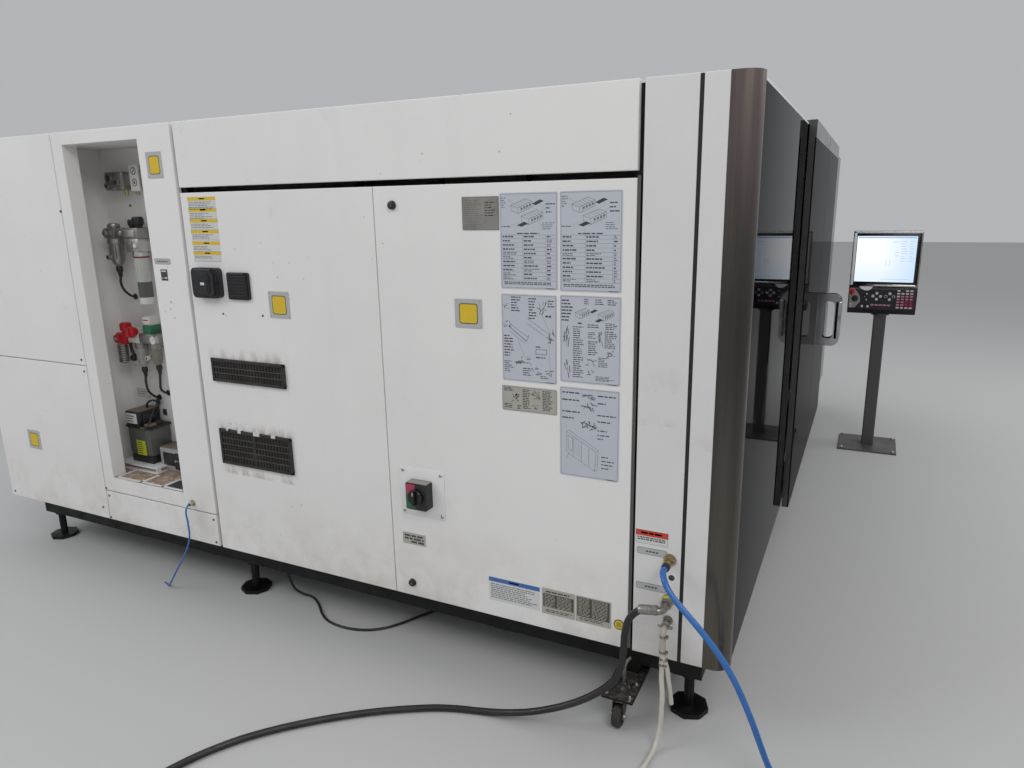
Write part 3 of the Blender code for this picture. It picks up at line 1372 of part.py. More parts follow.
def gas_manifold(mat):
    """Block behind the post panel with the oxygen fitting, nitrogen elbow and drain tee."""
    x0 = X_WALL + SHEET + GAP
    half = MANIFOLD_WIDTH / 2
    block = box(
        "block",
        (x0, PORT_COLUMN_Y - half, DRAIN_Z - MANIFOLD_MARGIN),
        (x0 + MANIFOLD_DEPTH, PORT_COLUMN_Y + half, OXYGEN_Z + MANIFOLD_MARGIN),
        mat,
    )
    start = x0 + MANIFOLD_DEPTH / 2
    stem = start - X_WALL
    y = PORT_COLUMN_Y
    reach = start - OXYGEN_ROUTE[0][0] - GAP
    profile = (
        (0, 0),
        (0, FITTING_RADIUS),
        (stem + GAP, FITTING_RADIUS),
        (stem + GAP, FITTING_NUT),
        (stem + FITTING_NUT, FITTING_NUT),
        (stem + FITTING_NUT, FITTING_RADIUS * 0.8),
        (reach - FITTING_NUT, FITTING_RADIUS * 0.8),
        (reach - FITTING_NUT, FITTING_RADIUS),
        (reach, FITTING_RADIUS),
        (reach, 0),
    )
    parts = [turned("oxygen", profile, (start, y, OXYGEN_Z), (-1, 0, 0), 12, mat)]
    first = led(NITROGEN_ROUTE, GAS_SHIFT)[0]
    reach = start - first[0] + ELBOW_RADIUS * 0.7
    profile = (
        (0, 0),
        (0, FITTING_RADIUS),
        (stem + GAP, FITTING_RADIUS),
        (stem + GAP, FITTING_NUT),
        (stem + FITTING_NUT, FITTING_NUT),
        (stem + FITTING_NUT, ELBOW_RADIUS),
        (reach - ELBOW_RADIUS * 0.5, ELBOW_RADIUS),
        (reach, ELBOW_RADIUS * 0.5),
        (reach, 0),
    )
    parts.append(turned("elbow", profile, (start, y, NITROGEN_Z), (-1, 0, 0), 12, mat))
    length = first[1] - GAP - y
    profile = (
        (0, 0),
        (0, ELBOW_RADIUS * 0.95),
        (length * 0.4, ELBOW_RADIUS * 0.95),
        (length * 0.4, FITTING_NUT),
        (length, FITTING_NUT),
        (length, 0),
    )
    parts.append(turned("arm", profile, (first[0], y, NITROGEN_Z), (0, 1, 0), 12, mat))
    first = led(DRAIN_ROUTE, GAS_SHIFT)[0]
    reach = start - first[0] + ELBOW_RADIUS * 0.5
    profile = (
        (0, 0),
        (0, FITTING_RADIUS),
        (stem + GAP, FITTING_RADIUS),
        (stem + GAP, FITTING_NUT),
        (stem + FITTING_NUT * 0.7, FITTING_NUT),
        (stem + FITTING_NUT * 0.7, DRAIN_HOSE / 2),
        (reach, DRAIN_HOSE / 2),
        (reach, 0),
    )
    parts.append(turned("drain", profile, (start, y, DRAIN_Z), (-1, 0, 0), 12, mat))
    drop = DRAIN_Z - first[2] - GAP
    clamp = DRAIN_HOSE * 0.62
    profile = (
        (0, 0),
        (0, DRAIN_HOSE / 2),
        (drop * 0.5, DRAIN_HOSE / 2),
        (drop * 0.5, clamp),
        (drop * 0.62, clamp),
        (drop * 0.62, DRAIN_HOSE * 0.4),
        (drop * 0.88, DRAIN_HOSE * 0.4),
        (drop * 0.88, clamp),
        (drop, clamp),
        (drop, 0),
    )
    parts.append(turned("tee", profile, (first[0], y, DRAIN_Z), (0, 0, -1), 12, mat))
    top = Vector((first[0], y, DRAIN_Z - drop * 0.76))
    bend = top + Vector((SPOUT_SIDE * 0.4, -SPOUT_SIDE, -SPOUT_SIDE * 0.5))
    end = bend + Vector((SPOUT_LEAN * 0.5, -SPOUT_LEAN, -SPOUT_DROP))
    over = (bend - top).normalized() * SPOUT_RADIUS * 0.6
    parts.append(rod("branch", top, bend + over, SPOUT_RADIUS, 10, mat))
    over = (bend - end).normalized() * SPOUT_RADIUS * 0.6
    parts.append(rod("spout", bend + over, end, SPOUT_RADIUS * 0.96, 10, mat))
    return fuse("gas_manifold", block, *parts)


def front_header(mat):
    low = (X_FRAME + TUBE + GAP, Y_FRONT, GLASS_TOP + GAP)
    high = (X_FRAME_FAR - TUBE - GAP, Y_FRONT + TRACK_DEPTH, GLASS_TOP + GAP + TRACK_HEIGHT)
    return box("front_header", low, high, mat)


def front_glass(name, x0, x1, mat):
    low = (x0, Y_FRONT, GLASS_Z)
    return soft_box(name, low, (x1, Y_FRONT + GLASS, GLASS_TOP), WELD / 2, mat)


def leaf_frame(name, x0, mat):
    """Aluminium frame of a sliding leaf and the hanger that rides on the top track."""
    x1 = x0 + LEAF_WIDTH
    z0 = FLOOR_GAP + LEAF_LOW
    track = GLASS_TOP + GAP + TRACK_HEIGHT + GAP
    top = track + HANGER_ARM_HEIGHT
    low = (x0, Y_LEAF, z0)
    ring = box(name, low, (x1, Y_LEAF + LEAF_FRAME, top - HANGER_HEIGHT + WELD), mat)
    low = (x0 + LEAF_STILE, Y_LEAF - OVERRUN, z0 + LEAF_STILE)
    high = (x1 - LEAF_STILE, Y_LEAF + LEAF_FRAME + OVERRUN, top - HANGER_HEIGHT - LEAF_STILE * 0.5)
    cut(ring, box("light", low, high, mat))
    front = Y_LEAF - GAP - LEAF_GLASS
    low = (x0, front, top - HANGER_HEIGHT)
    bar = box("bar", low, (x1, Y_LEAF + LEAF_FRAME, top), mat)
    low = (x0 + WELD, front + WELD, track)
    arm = box("arm", low, (x1 - WELD, front + HANGER_ARM, top - WELD / 2), mat)
    return fuse(name, ring, bar, arm)


def leaf_glass(name, x0, mat):
    front = Y_LEAF - GAP - LEAF_GLASS
    top = GLASS_TOP + 2 * GAP + TRACK_HEIGHT + HANGER_ARM_HEIGHT - HANGER_HEIGHT - GAP
    low = (x0, front, FLOOR_GAP + LEAF_LOW)
    high = (x0 + LEAF_WIDTH, Y_LEAF - GAP, top)
    return soft_box(name, low, high, WELD / 2, mat)


def leaf_handle(name, x, mat):
    """D-shaped plate handle with a finger hole, a rubber grip and a flange on the glass."""
    back = Y_LEAF - 2 * GAP - LEAF_GLASS
    front = back - HANDLE_REACH
    z0, z1 = HANDLE_LOW, HANDLE_LOW + HANDLE_HEIGHT
    slope = HANDLE_HEIGHT * 0.14
    outline = [(back, z0), (back, z1)]
    for quarter, centre in enumerate((z1 - slope, z0 + slope), start=1):
        for i in range(HANDLE_STEPS + 1):
            angle = math.tau * (quarter + i / HANDLE_STEPS) / 4
            y = front + slope * (1 + math.cos(angle))
            outline.append((y, centre + slope * math.sin(angle)))
    half = HANDLE_PLATE / 2
    plate = prism(name, outline, "X", x - half, x + half, mat)
    low_y, high_y = front + HANDLE_RIM, back - HANDLE_RIM
    hole = rounded(low_y, z0 + slope, high_y, z1 - slope, HANDLE_RADIUS, HANDLE_STEPS)
    cut(plate, prism("hole", hole, "X", x - half - OVERRUN, x + half + OVERRUN, mat))
    low = (x - HANDLE_FOOT / 2, back - HANDLE_FOOT_SHEET, z0 + slope / 4)
    flange = box("flange", low, (x + HANDLE_FOOT / 2, back - GAP / 2, z1 - slope / 4), mat)
    grip_half = HANDLE_PLATE * 1.1
    low = (x - grip_half, front - WELD, z0 + slope)
    high = (x + grip_half, front + HANDLE_RIM * 0.85, z1 - slope)
    grip = soft_box("grip", low, high, grip_half * 0.6, mat, 2)
    return fuse(name, plate, flange, grip)


def corner_outline(reach, side):
    """A bent sheet round a front corner, from the wall's edge to the glass."""
    outer = [(X_WALL, reach)]
    inner = [(X_WALL + COLUMN_SHEET, reach)]
    for i in range(COLUMN_STEPS + 1):
        angle = math.pi + math.pi / 2 * i / COLUMN_STEPS
        for line, radius in ((outer, COLUMN_RADIUS), (inner, COLUMN_RADIUS - COLUMN_SHEET)):
            x = X_WALL + COLUMN_RADIUS + radius * math.cos(angle)
            line.append((x, Y_FRONT + COLUMN_RADIUS + radius * math.sin(angle)))
    edge = X_WALL + COLUMN_RETURN - GAP
    outer.append((edge, Y_FRONT))
    inner.append((edge, Y_FRONT + COLUMN_SHEET))
    return [(side * x, y) for x, y in outer + inner[::-1]]


def corner_column(mat):
    """Stainless corner: one sheet bent round from the wall to the glass."""
    outline = corner_outline(STRIP_Y - GAP, 1)
    sheet = prism("corner_column", outline, "Z", FLOOR_GAP, HEIGHT, mat)
    low = (X_WALL + COLUMN_SHEET / 2, STRIP_Y - GAP - COLUMN_SHEET, FLOOR_GAP + WELD)
    web = box("web", low, (X_FRAME - GAP, STRIP_Y - 2 * GAP, HEIGHT - WELD), mat)
    return fuse("corner_column", sheet, web)


def far_end_wall(mat):
    """Wall with the slot for the drawer table, bent round to the front glass."""
    outward = Vector((1, 0, 0))
    low = (X_FAR - PANEL_DEPTH, STRIP_Y, FLOOR_GAP)
    wall = tray("far_end_wall", low, (X_FAR, Y_BACK, HEIGHT), outward, mat)
    outline = corner_outline(STRIP_Y + 2 * WELD, -1)
    corner = prism("corner", outline, "Z", FLOOR_GAP + WELD / 2, HEIGHT - WELD / 2, mat)
    half = TABLE_WIDTH / 2 + SLOT_CLEAR
    low = (X_FAR - PANEL_DEPTH - OVERRUN, -half, TABLE_LOW - SLOT_CLEAR)
    slot = box("slot", low, (X_FAR + OVERRUN, half, TABLE_LOW + TABLE_DOOR_HEIGHT + SLOT_CLEAR), mat)
    return cut(fuse("far_end_wall", wall, corner), slot)


def back_wall(mat):
    """Rear panel with the spigot of the fume exhaust."""
    outward = Vector((0, 1, 0))
    low = (X_FRAME, Y_BACK - PANEL_DEPTH, FLOOR_GAP)
    wall = tray("back_wall", low, (X_FRAME_FAR, Y_BACK, HEIGHT), outward, mat)
    z = HEIGHT - EXHAUST_FROM_TOP
    inner = EXHAUST_RADIUS - EXHAUST_WALL
    lip = EXHAUST_WALL * 2
    profile = (
        (0, inner),
        (0, EXHAUST_RADIUS + lip),
        (SHEET, EXHAUST_RADIUS + lip),
        (SHEET * 2, EXHAUST_RADIUS),
        (EXHAUST_REACH, EXHAUST_RADIUS),
        (EXHAUST_REACH, inner),
    )
    start = (0, Y_BACK - SHEET / 2, z)
    spigot = turned("spigot", profile, start, (0, 1, 0), 20, mat)
    bore_start = (0, Y_BACK - PANEL_DEPTH, z)
    bore = rod("bore", bore_start, (0, Y_BACK + OVERRUN, z), inner + WELD, 20, mat)
    return fuse("back_wall", cut(wall, bore), spigot)


def machine_bed(mat):
    """Two heavy side beams with ties, linear rails on top and runners for the table."""
    beams = []
    for side in (-1, 1):
        y = side * BED_HALF_GAUGE
        half = BED_BEAM_WIDTH / 2
        low = (BED_X, y - half, Z_FRAME)
        beams.append(soft_box("beam", low, (BED_FAR_X, y + half, BED_TOP), FOLD_RADIUS * 2, mat))
        low = (BED_X + RAIL_WIDTH, y - RAIL_WIDTH / 2, BED_TOP - WELD)
        high = (BED_FAR_X - RAIL_WIDTH, y + RAIL_WIDTH / 2, RAIL_TOP)
        beams.append(box("rail", low, high, mat))
        inner = side * (BED_HALF_GAUGE - half + WELD)
        reach = side * (TABLE_WIDTH / 2 - RUNNER_WIDTH)
        low = (BED_X + TABLE_RAIL, min(inner, reach), RUNNER_TOP - RUNNER_WIDTH)
        beams.append(box("runner", low, (BED_FAR_X - RUNNER_WIDTH, max(inner, reach), RUNNER_TOP), mat))
    span = BED_FAR_X - BED_X - BED_BEAM_WIDTH
    half = BED_HALF_GAUGE - BED_BEAM_WIDTH / 2 + WELD
    for share in BED_TIE_SHARES:
        x = BED_X + span * share
        low = (x, -half, Z_FRAME + WELD)
        beams.append(box("tie", low, (x + BED_BEAM_WIDTH, half, Z_FRAME + BED_TIE_HEIGHT), mat))
    return fuse("machine_bed", beams[0], *beams[1:])


def slat_outline():
    """Toothed top edge of a support slat, in the plane across the table."""
    half = TABLE_WIDTH / 2 - TABLE_RAIL / 2
    root = TABLE_LOW + TABLE_RAIL_HEIGHT
    foot_z = root - SLAT_HEIGHT
    outline = [(half, foot_z), (-half, foot_z)]
    pitch = 2 * half / SLAT_TEETH
    for i in range(SLAT_TEETH):
        y = -half + pitch * i
        outline.append((y, root))
        outline.append((y + pitch / 2, root + SLAT_TOOTH))
    outline.append((half, root))
    return outline


def drawer_table(mat):
    """Drawer table: side rails, toothed slats slotted between them and the door on its end."""
    half = TABLE_WIDTH / 2
    rails = []
    high_z = TABLE_LOW + TABLE_RAIL_HEIGHT
    for side in (-1, 1):
        inner = side * (half - TABLE_RAIL)
        low = (TABLE_X, min(side * half, inner), TABLE_LOW)
        high = (TABLE_FAR_X + WELD, max(side * half, inner), high_z)
        rails.append(box("rail", low, high, mat))
    inner = half - TABLE_RAIL + WELD
    for x in (TABLE_X + WELD, TABLE_FAR_X - TABLE_RAIL):
        low = (x, -inner, TABLE_LOW + WELD)
        rails.append(box("tie", low, (x + TABLE_RAIL, inner, high_z - WELD), mat))
    low = (TABLE_FAR_X, -half, TABLE_LOW)
    high = (X_FAR, half, TABLE_LOW + TABLE_DOOR_HEIGHT)
    rails.append(soft_box("door", low, high, FOLD_RADIUS, mat))
    span = TABLE_LENGTH - 2 * TABLE_RAIL
    outline = slat_outline()
    for i in range(SLAT_COUNT):
        x = TABLE_X + TABLE_RAIL + span * (i + 0.5) / SLAT_COUNT
        rails.append(prism("slat", outline, "X", x, x + SLAT_SHEET, mat))
    return fuse("drawer_table", rails[0], *rails[1:])


def gantry_beam(mat):
    """Beam across the bed on two end trucks that ride the rails."""
    half = BED_HALF_GAUGE + BED_BEAM_WIDTH / 2
    x0, x1 = GANTRY_X - GANTRY_WIDTH / 2, GANTRY_FACE_X
    top = GANTRY_LOW + GANTRY_HEIGHT
    beam = soft_box("beam", (x0, -half, GANTRY_LOW), (x1, half, top), FOLD_RADIUS * 2, mat)
    added = []
    truck = BED_BEAM_WIDTH * 0.35
    for side in (-1, 1):
        y = side * BED_HALF_GAUGE
        low = (GANTRY_X - TRUCK_LENGTH / 2, y - truck, RAIL_TOP + GAP)
        high = (GANTRY_X + TRUCK_LENGTH / 2, y + truck, GANTRY_LOW + WELD)
        added.append(box("truck", low, high, mat))
    for z in (GANTRY_LOW + RAIL_WIDTH, top - 2 * RAIL_WIDTH):
        low = (x1 - WELD, -half + TRUCK_LENGTH / 2, z)
        high = (x1 + RAIL_WIDTH / 2, half - TRUCK_LENGTH / 2, z + RAIL_WIDTH)
        added.append(box("rail", low, high, mat))
    return fuse("gantry_beam", beam, *added)


def carriage(mat):
    """Carriage on the beam's face rails, with the head's slideway on its front."""
    back = GANTRY_FACE_X + RAIL_WIDTH / 2 + GAP
    half = CARRIAGE_WIDTH / 2
    z0 = GANTRY_LOW - (CARRIAGE_HEIGHT - GANTRY_HEIGHT) / 2
    low = (back, CARRIAGE_Y - half, z0)
    high = (back + CARRIAGE_DEPTH, CARRIAGE_Y + half, z0 + CARRIAGE_HEIGHT)
    body = soft_box("body", low, high, FOLD_RADIUS * 3, mat)
    ways = []
    for side in (-1, 1):
        y = CARRIAGE_Y + side * half * 0.6
        way = RAIL_WIDTH * 0.4
        low = (back + CARRIAGE_DEPTH - WELD, y - way, z0 + RAIL_WIDTH)
        high = (back + CARRIAGE_DEPTH + way, y + way, z0 + CARRIAGE_HEIGHT - RAIL_WIDTH)
        ways.append(box("way", low, high, mat))
    return fuse("carriage", body, *ways)


def head_place():
    back = GANTRY_FACE_X + RAIL_WIDTH / 2 + GAP + CARRIAGE_DEPTH + RAIL_WIDTH * 0.4 + GAP
    return back, TABLE_TOP + NOZZLE_CLEAR


def cutting_head(mat):
    """Laser head: optics housing, lens tube, ceramic ring and nozzle."""
    back, tip = head_place()
    base = tip + HEAD_TUBE_LENGTH
    half = HEAD_WIDTH / 2
    low = (back, CARRIAGE_Y - half * 1.6, base)
    high = (back + HEAD_DEPTH, CARRIAGE_Y + half * 1.6, base + HEAD_HEIGHT)
    body = soft_box("body", low, high, FOLD_RADIUS * 3, mat)
    radius = HEAD_TUBE_RADIUS
    length = HEAD_TUBE_LENGTH
    profile = (
        (-OVERRUN, 0),
        (-OVERRUN, radius),
        (length * 0.45, radius),
        (length * 0.50, radius * 0.8),
        (length * 0.68, radius * 0.8),
        (length * 0.70, radius * 0.6),
        (length * 0.80, radius * 0.6),
        (length * 0.94, NOZZLE_RADIUS * 1.4),
        (length, NOZZLE_RADIUS),
        (length, 0),
    )
    place = (back + HEAD_DEPTH / 2, CARRIAGE_Y, base)
    lens = turned("lens", profile, place, (0, 0, -1), 16, mat)
    start = (place[0], CARRIAGE_Y, base + HEAD_HEIGHT - WELD)
    fibre = rod("fibre", start, (start[0], start[1], start[2] + HEAD_DEPTH), radius * 0.6, 12, mat)
    return fuse("cutting_head", body, lens, fibre)


def caster_fork(mat):
    """Swivel head under the plate and the fork with its axle."""
    top = CASTER_PLATE_Z - GAP
    place = (CASTER_SWIVEL_X, CASTER_Y, top)
    profile = (
        (0, 0),
        (0, CASTER_HEAD_RADIUS),
        (CASTER_HEAD_HEIGHT * 0.7, CASTER_HEAD_RADIUS),
        (CASTER_HEAD_HEIGHT, CASTER_HEAD_RADIUS * 0.8),
        (CASTER_HEAD_HEIGHT, 0),
    )
    head = turned("head", profile, place, (0, 0, -1), 16, mat)
    axle_x = CASTER_SWIVEL_X - CASTER_TRAIL
    axle_z = CASTER_RADIUS + GAP
    bridge = top - CASTER_HEAD_HEIGHT - WELD
    outline = (
        (axle_x - CASTER_AXLE * 1.6, axle_z - CASTER_AXLE * 1.2),
        (axle_x + CASTER_AXLE * 1.6, axle_z - CASTER_AXLE * 1.2),
        (CASTER_SWIVEL_X + CASTER_HEAD_RADIUS * 0.8, bridge),
        (CASTER_SWIVEL_X + CASTER_HEAD_RADIUS * 0.8, bridge + 2 * WELD),
        (axle_x, bridge + 2 * WELD),
        (axle_x - CASTER_AXLE * 2, bridge - CASTER_AXLE),
    )
    inner = CASTER_WIDTH / 2 + CASTER_FORK * 0.5
    sides = []
    for side in (-1, 1):
        edges = sorted((CASTER_Y + side * inner, CASTER_Y + side * (inner + CASTER_FORK)))
        sides.append(prism("side", outline, "Y", edges[0], edges[1], mat))
    low = (axle_x + CASTER_AXLE, CASTER_Y - inner - CASTER_FORK / 2, bridge + WELD / 2)
    high = (CASTER_SWIVEL_X + CASTER_HEAD_RADIUS * 0.7, CASTER_Y + inner + CASTER_FORK / 2, bridge + 1.8 * WELD)
    plate = box("bridge", low, high, mat)
    reach = inner + CASTER_FORK * 1.8
    start = (axle_x, CASTER_Y - reach, axle_z)
    axle = rod("axle", start, (axle_x, CASTER_Y + reach, axle_z), CASTER_AXLE, 12, mat)
    return fuse("caster_fork", head, plate, *sides, axle)


def caster_wheel(mat):
    """Wheel with a dished hub, bored for its axle."""
    half = CASTER_WIDTH / 2
    bore = CASTER_AXLE + GAP
    rim = [(across * CASTER_WIDTH, out * CASTER_RADIUS) for across, out in WHEEL_SHARES]
    profile = [(0, bore), *rim, (CASTER_WIDTH, bore)]
    place = (CASTER_SWIVEL_X - CASTER_TRAIL, CASTER_Y - half, CASTER_RADIUS + GAP)
    return turned("caster_wheel", profile, place, (0, 1, 0), 16, mat)


def console_stand(mat):
    """Floor plate, column and the flange that the console turns on."""
    x = CONSOLE_FRONT_X + CONSOLE_THICK / 2
    half = STAND_PLATE / 2
    low = (x - half, CONSOLE_Y - half, 0)
    high = (x + half, CONSOLE_Y + half, STAND_PLATE_HEIGHT)
    plate = soft_box("plate", low, high, STAND_PLATE_HEIGHT * 0.25, mat)
    top = CONSOLE_LOW - GAP
    half = STAND_TUBE / 2
    outline = rounded(x - half, CONSOLE_Y - half, x + half, CONSOLE_Y + half, half * 0.2, 2)
    column = prism("column", outline, "Z", WELD, top - STAND_PLATE_HEIGHT / 2, mat)
    profile = (
        (0, 0),
        (0, STAND_FLANGE * 0.36),
        (STAND_PLATE_HEIGHT, STAND_FLANGE * 0.36),
        (STAND_PLATE_HEIGHT, 0),
    )
    place = (x, CONSOLE_Y, top - STAND_PLATE_HEIGHT)
    flange = turned("flange", profile, place, (0, 0, 1), 20, mat)
    return fuse("console_stand", plate, column, flange)


def console_body(mat):
    """Console: upright back with the screen, a keypad that stands forward and its lip."""
    face = CONSOLE_FRONT_X
    keypad = face - KEYPAD_REACH
    back = face + CONSOLE_THICK
    keypad_top = CONSOLE_LOW + KEYPAD_HEIGHT
    slope = KEYPAD_LIP * 0.45
    outline = (
        (back - CONSOLE_TOP_THICK * 0.5, CONSOLE_HIGH),
        (face, CONSOLE_HIGH),
        (face, keypad_top),
        (keypad, keypad_top - slope),
        (keypad, CONSOLE_LOW + KEYPAD_LIP),
        (face, CONSOLE_LOW),
        (back, CONSOLE_LOW),
        (back, CONSOLE_HIGH - CONSOLE_TOP_THICK),
    )
    half = CONSOLE_WIDTH / 2
    body = prism("console_body", outline, "Y", CONSOLE_Y - half, CONSOLE_Y + half, mat)
    bm = bmesh.new()
    bm.from_mesh(body.data)
    bmesh.ops.bevel(bm, geom=bm.edges[:], offset=CONSOLE_BEVEL, segments=2, profile=0.5, affect="EDGES")
    bm.to_mesh(body.data)
    bm.free()
    place = estop_place()
    depth = ESTOP_TRAVEL * 3
    hole = rod("hole", (place[0] - OVERRUN, *place[1:]), (place[0] + depth, *place[1:]), ESTOP_RADIUS / 2, 16, mat)
    return cut(body, hole)


def estop_place():
    y = CONSOLE_Y + CONSOLE_WIDTH / 2 - ESTOP_RADIUS - CONSOLE_BEVEL * 1.5
    z = CONSOLE_LOW + KEYPAD_HEIGHT - KEYPAD_LIP * 0.45 - CONSOLE_BEVEL - ESTOP_RADIUS
    return CONSOLE_FRONT_X - KEYPAD_REACH, y, z


def dial_place():
    x, y, z = estop_place()
    return x, y - DIAL_RADIUS, z - ESTOP_RADIUS - DIAL_RADIUS * 1.4


def console_screen(mat):
    half = CONSOLE_WIDTH / 2 - SCREEN_MARGIN
    low_z = CONSOLE_LOW + KEYPAD_HEIGHT + SCREEN_MARGIN * 0.8
    low = (CONSOLE_FRONT_X - GAP - SCREEN_GLASS, CONSOLE_Y - half, low_z)
    high = (CONSOLE_FRONT_X - GAP, CONSOLE_Y + half, CONSOLE_HIGH - SCREEN_MARGIN * 0.8)
    return soft_box("console_screen", low, high, SCREEN_GLASS * 0.3, mat)


def estop_button(mat):
    """Mushroom button on a stem that slides in the console's hole."""
    place = estop_place()
    stem = ESTOP_RADIUS / 2 - GAP
    lift = ESTOP_TRAVEL + GAP
    start = (place[0] + ESTOP_TRAVEL * 1.5, *place[1:])
    base = ESTOP_TRAVEL * 1.5
    profile = (
        (0, 0),
        (0, stem),
        (base + lift, stem),
        (base + lift, ESTOP_RADIUS * 0.9),
        (base + lift + ESTOP_DEPTH * 0.3, ESTOP_RADIUS),
        (base + lift + ESTOP_DEPTH * 0.6, ESTOP_RADIUS * 0.95),
        (base + lift + ESTOP_DEPTH * 0.8, ESTOP_RADIUS * 0.6),
        (base + lift + ESTOP_DEPTH * 0.85, 0),
    )
    return turned("estop_button", profile, start, (-1, 0, 0), 16, mat)


def mode_dial(mat):
    place = dial_place()
    start = (place[0] - GAP, *place[1:])
    profile = (
        (0, 0),
        (0, DIAL_RADIUS),
        (DIAL_DEPTH * 0.5, DIAL_RADIUS),
        (DIAL_DEPTH * 0.6, DIAL_RADIUS * 0.85),
        (DIAL_DEPTH * 0.6, 0),
    )
    disc = turned("disc", profile, start, (-1, 0, 0), 16, mat)
    half = DIAL_RADIUS * 0.22
    reach = DIAL_RADIUS * 0.8
    low = (start[0] - DIAL_DEPTH, place[1] - half, place[2] - reach)
    grip = box("grip", low, (start[0] - DIAL_DEPTH * 0.5, place[1] + half, place[2] + reach), mat)
    return fuse("mode_dial", disc, grip)


def coil_half(diameter, turns):
    return diameter / 2 * math.sqrt(turns / COIL_PACKING_SHARE)


def coil_place(route, diameter, turns, side):
    """Middle of a coil that a hose meets along the tangent at its last point."""
    last, before = Vector(route[-1]), Vector(route[-2])
    heading = Vector((last.x - before.x, last.y - before.y, 0)).normalized()
    sideways = Vector((-heading.y, heading.x, 0)) * side
    middle = diameter * COIL_ACROSS / 2
    half = coil_half(diameter, turns)
    reach = math.sqrt((middle + half) ** 2 - (middle - diameter / 2) ** 2) + GAP
    centre = last + heading * reach + sideways * middle
    return Vector((centre.x, centre.y, half + GAP)), heading, sideways, middle, half


def coupling_place(route, diameter, turns, side):
    """Where a coupling starts, the way it points and the half width of its nut."""
    centre, heading, sideways, middle, half = coil_place(route, diameter, turns, side)
    nut = diameter * (1 + COUPLING_NUT_SHARE) / 2
    reach = math.sqrt((middle + half) ** 2 - (middle - nut) ** 2) + GAP
    lead = diameter * COUPLING_LEAD
    start = centre + sideways * middle - heading * (reach + lead)
    start.z = nut + GAP
    return start, -heading, nut


def coil(name, route, diameter, turns, side, coupled, mat):
    """The coil's outer shape with the bits of hose that run in and out of it."""
    centre, heading, sideways, middle, half = coil_place(route, diameter, turns, side)
    ring = ring_solid(name, centre, middle, half, COIL_SEGMENTS, mat)
    height = diameter / 2 + GAP
    start = Vector((route[-1][0], route[-1][1], height)) + heading * GAP
    inside = centre - sideways * middle
    inside.z = height
    bits = [rod("run_in", start, inside, diameter / 2 - GAP, HOSE_SIDES, mat)]
    if coupled:
        end, outward, nut = coupling_place(route, diameter, turns, side)
        inside = centre + sideways * middle
        inside.z = end.z
        bits.append(rod("run_out", inside, end - outward * GAP, diameter / 2, HOSE_SIDES, mat))
    return fuse(name, ring, *bits)


def coupling(name, route, diameter, turns, side, mat):
    """Quick coupling on the hose's end, lying where the coil lets it out."""
    start, heading, nut = coupling_place(route, diameter, turns, side)
    length = COUPLING_LENGTH
    profile = (
        (0, 0),
        (0, diameter / 2),
        (length * 0.3, diameter / 2),
        (length * 0.3, nut),
        (length * 0.7, nut),
        (length * 0.7, diameter / 2),
        (length, diameter / 2),
        (length, 0),
    )
    return turned(name, profile, start, heading, 12, mat)


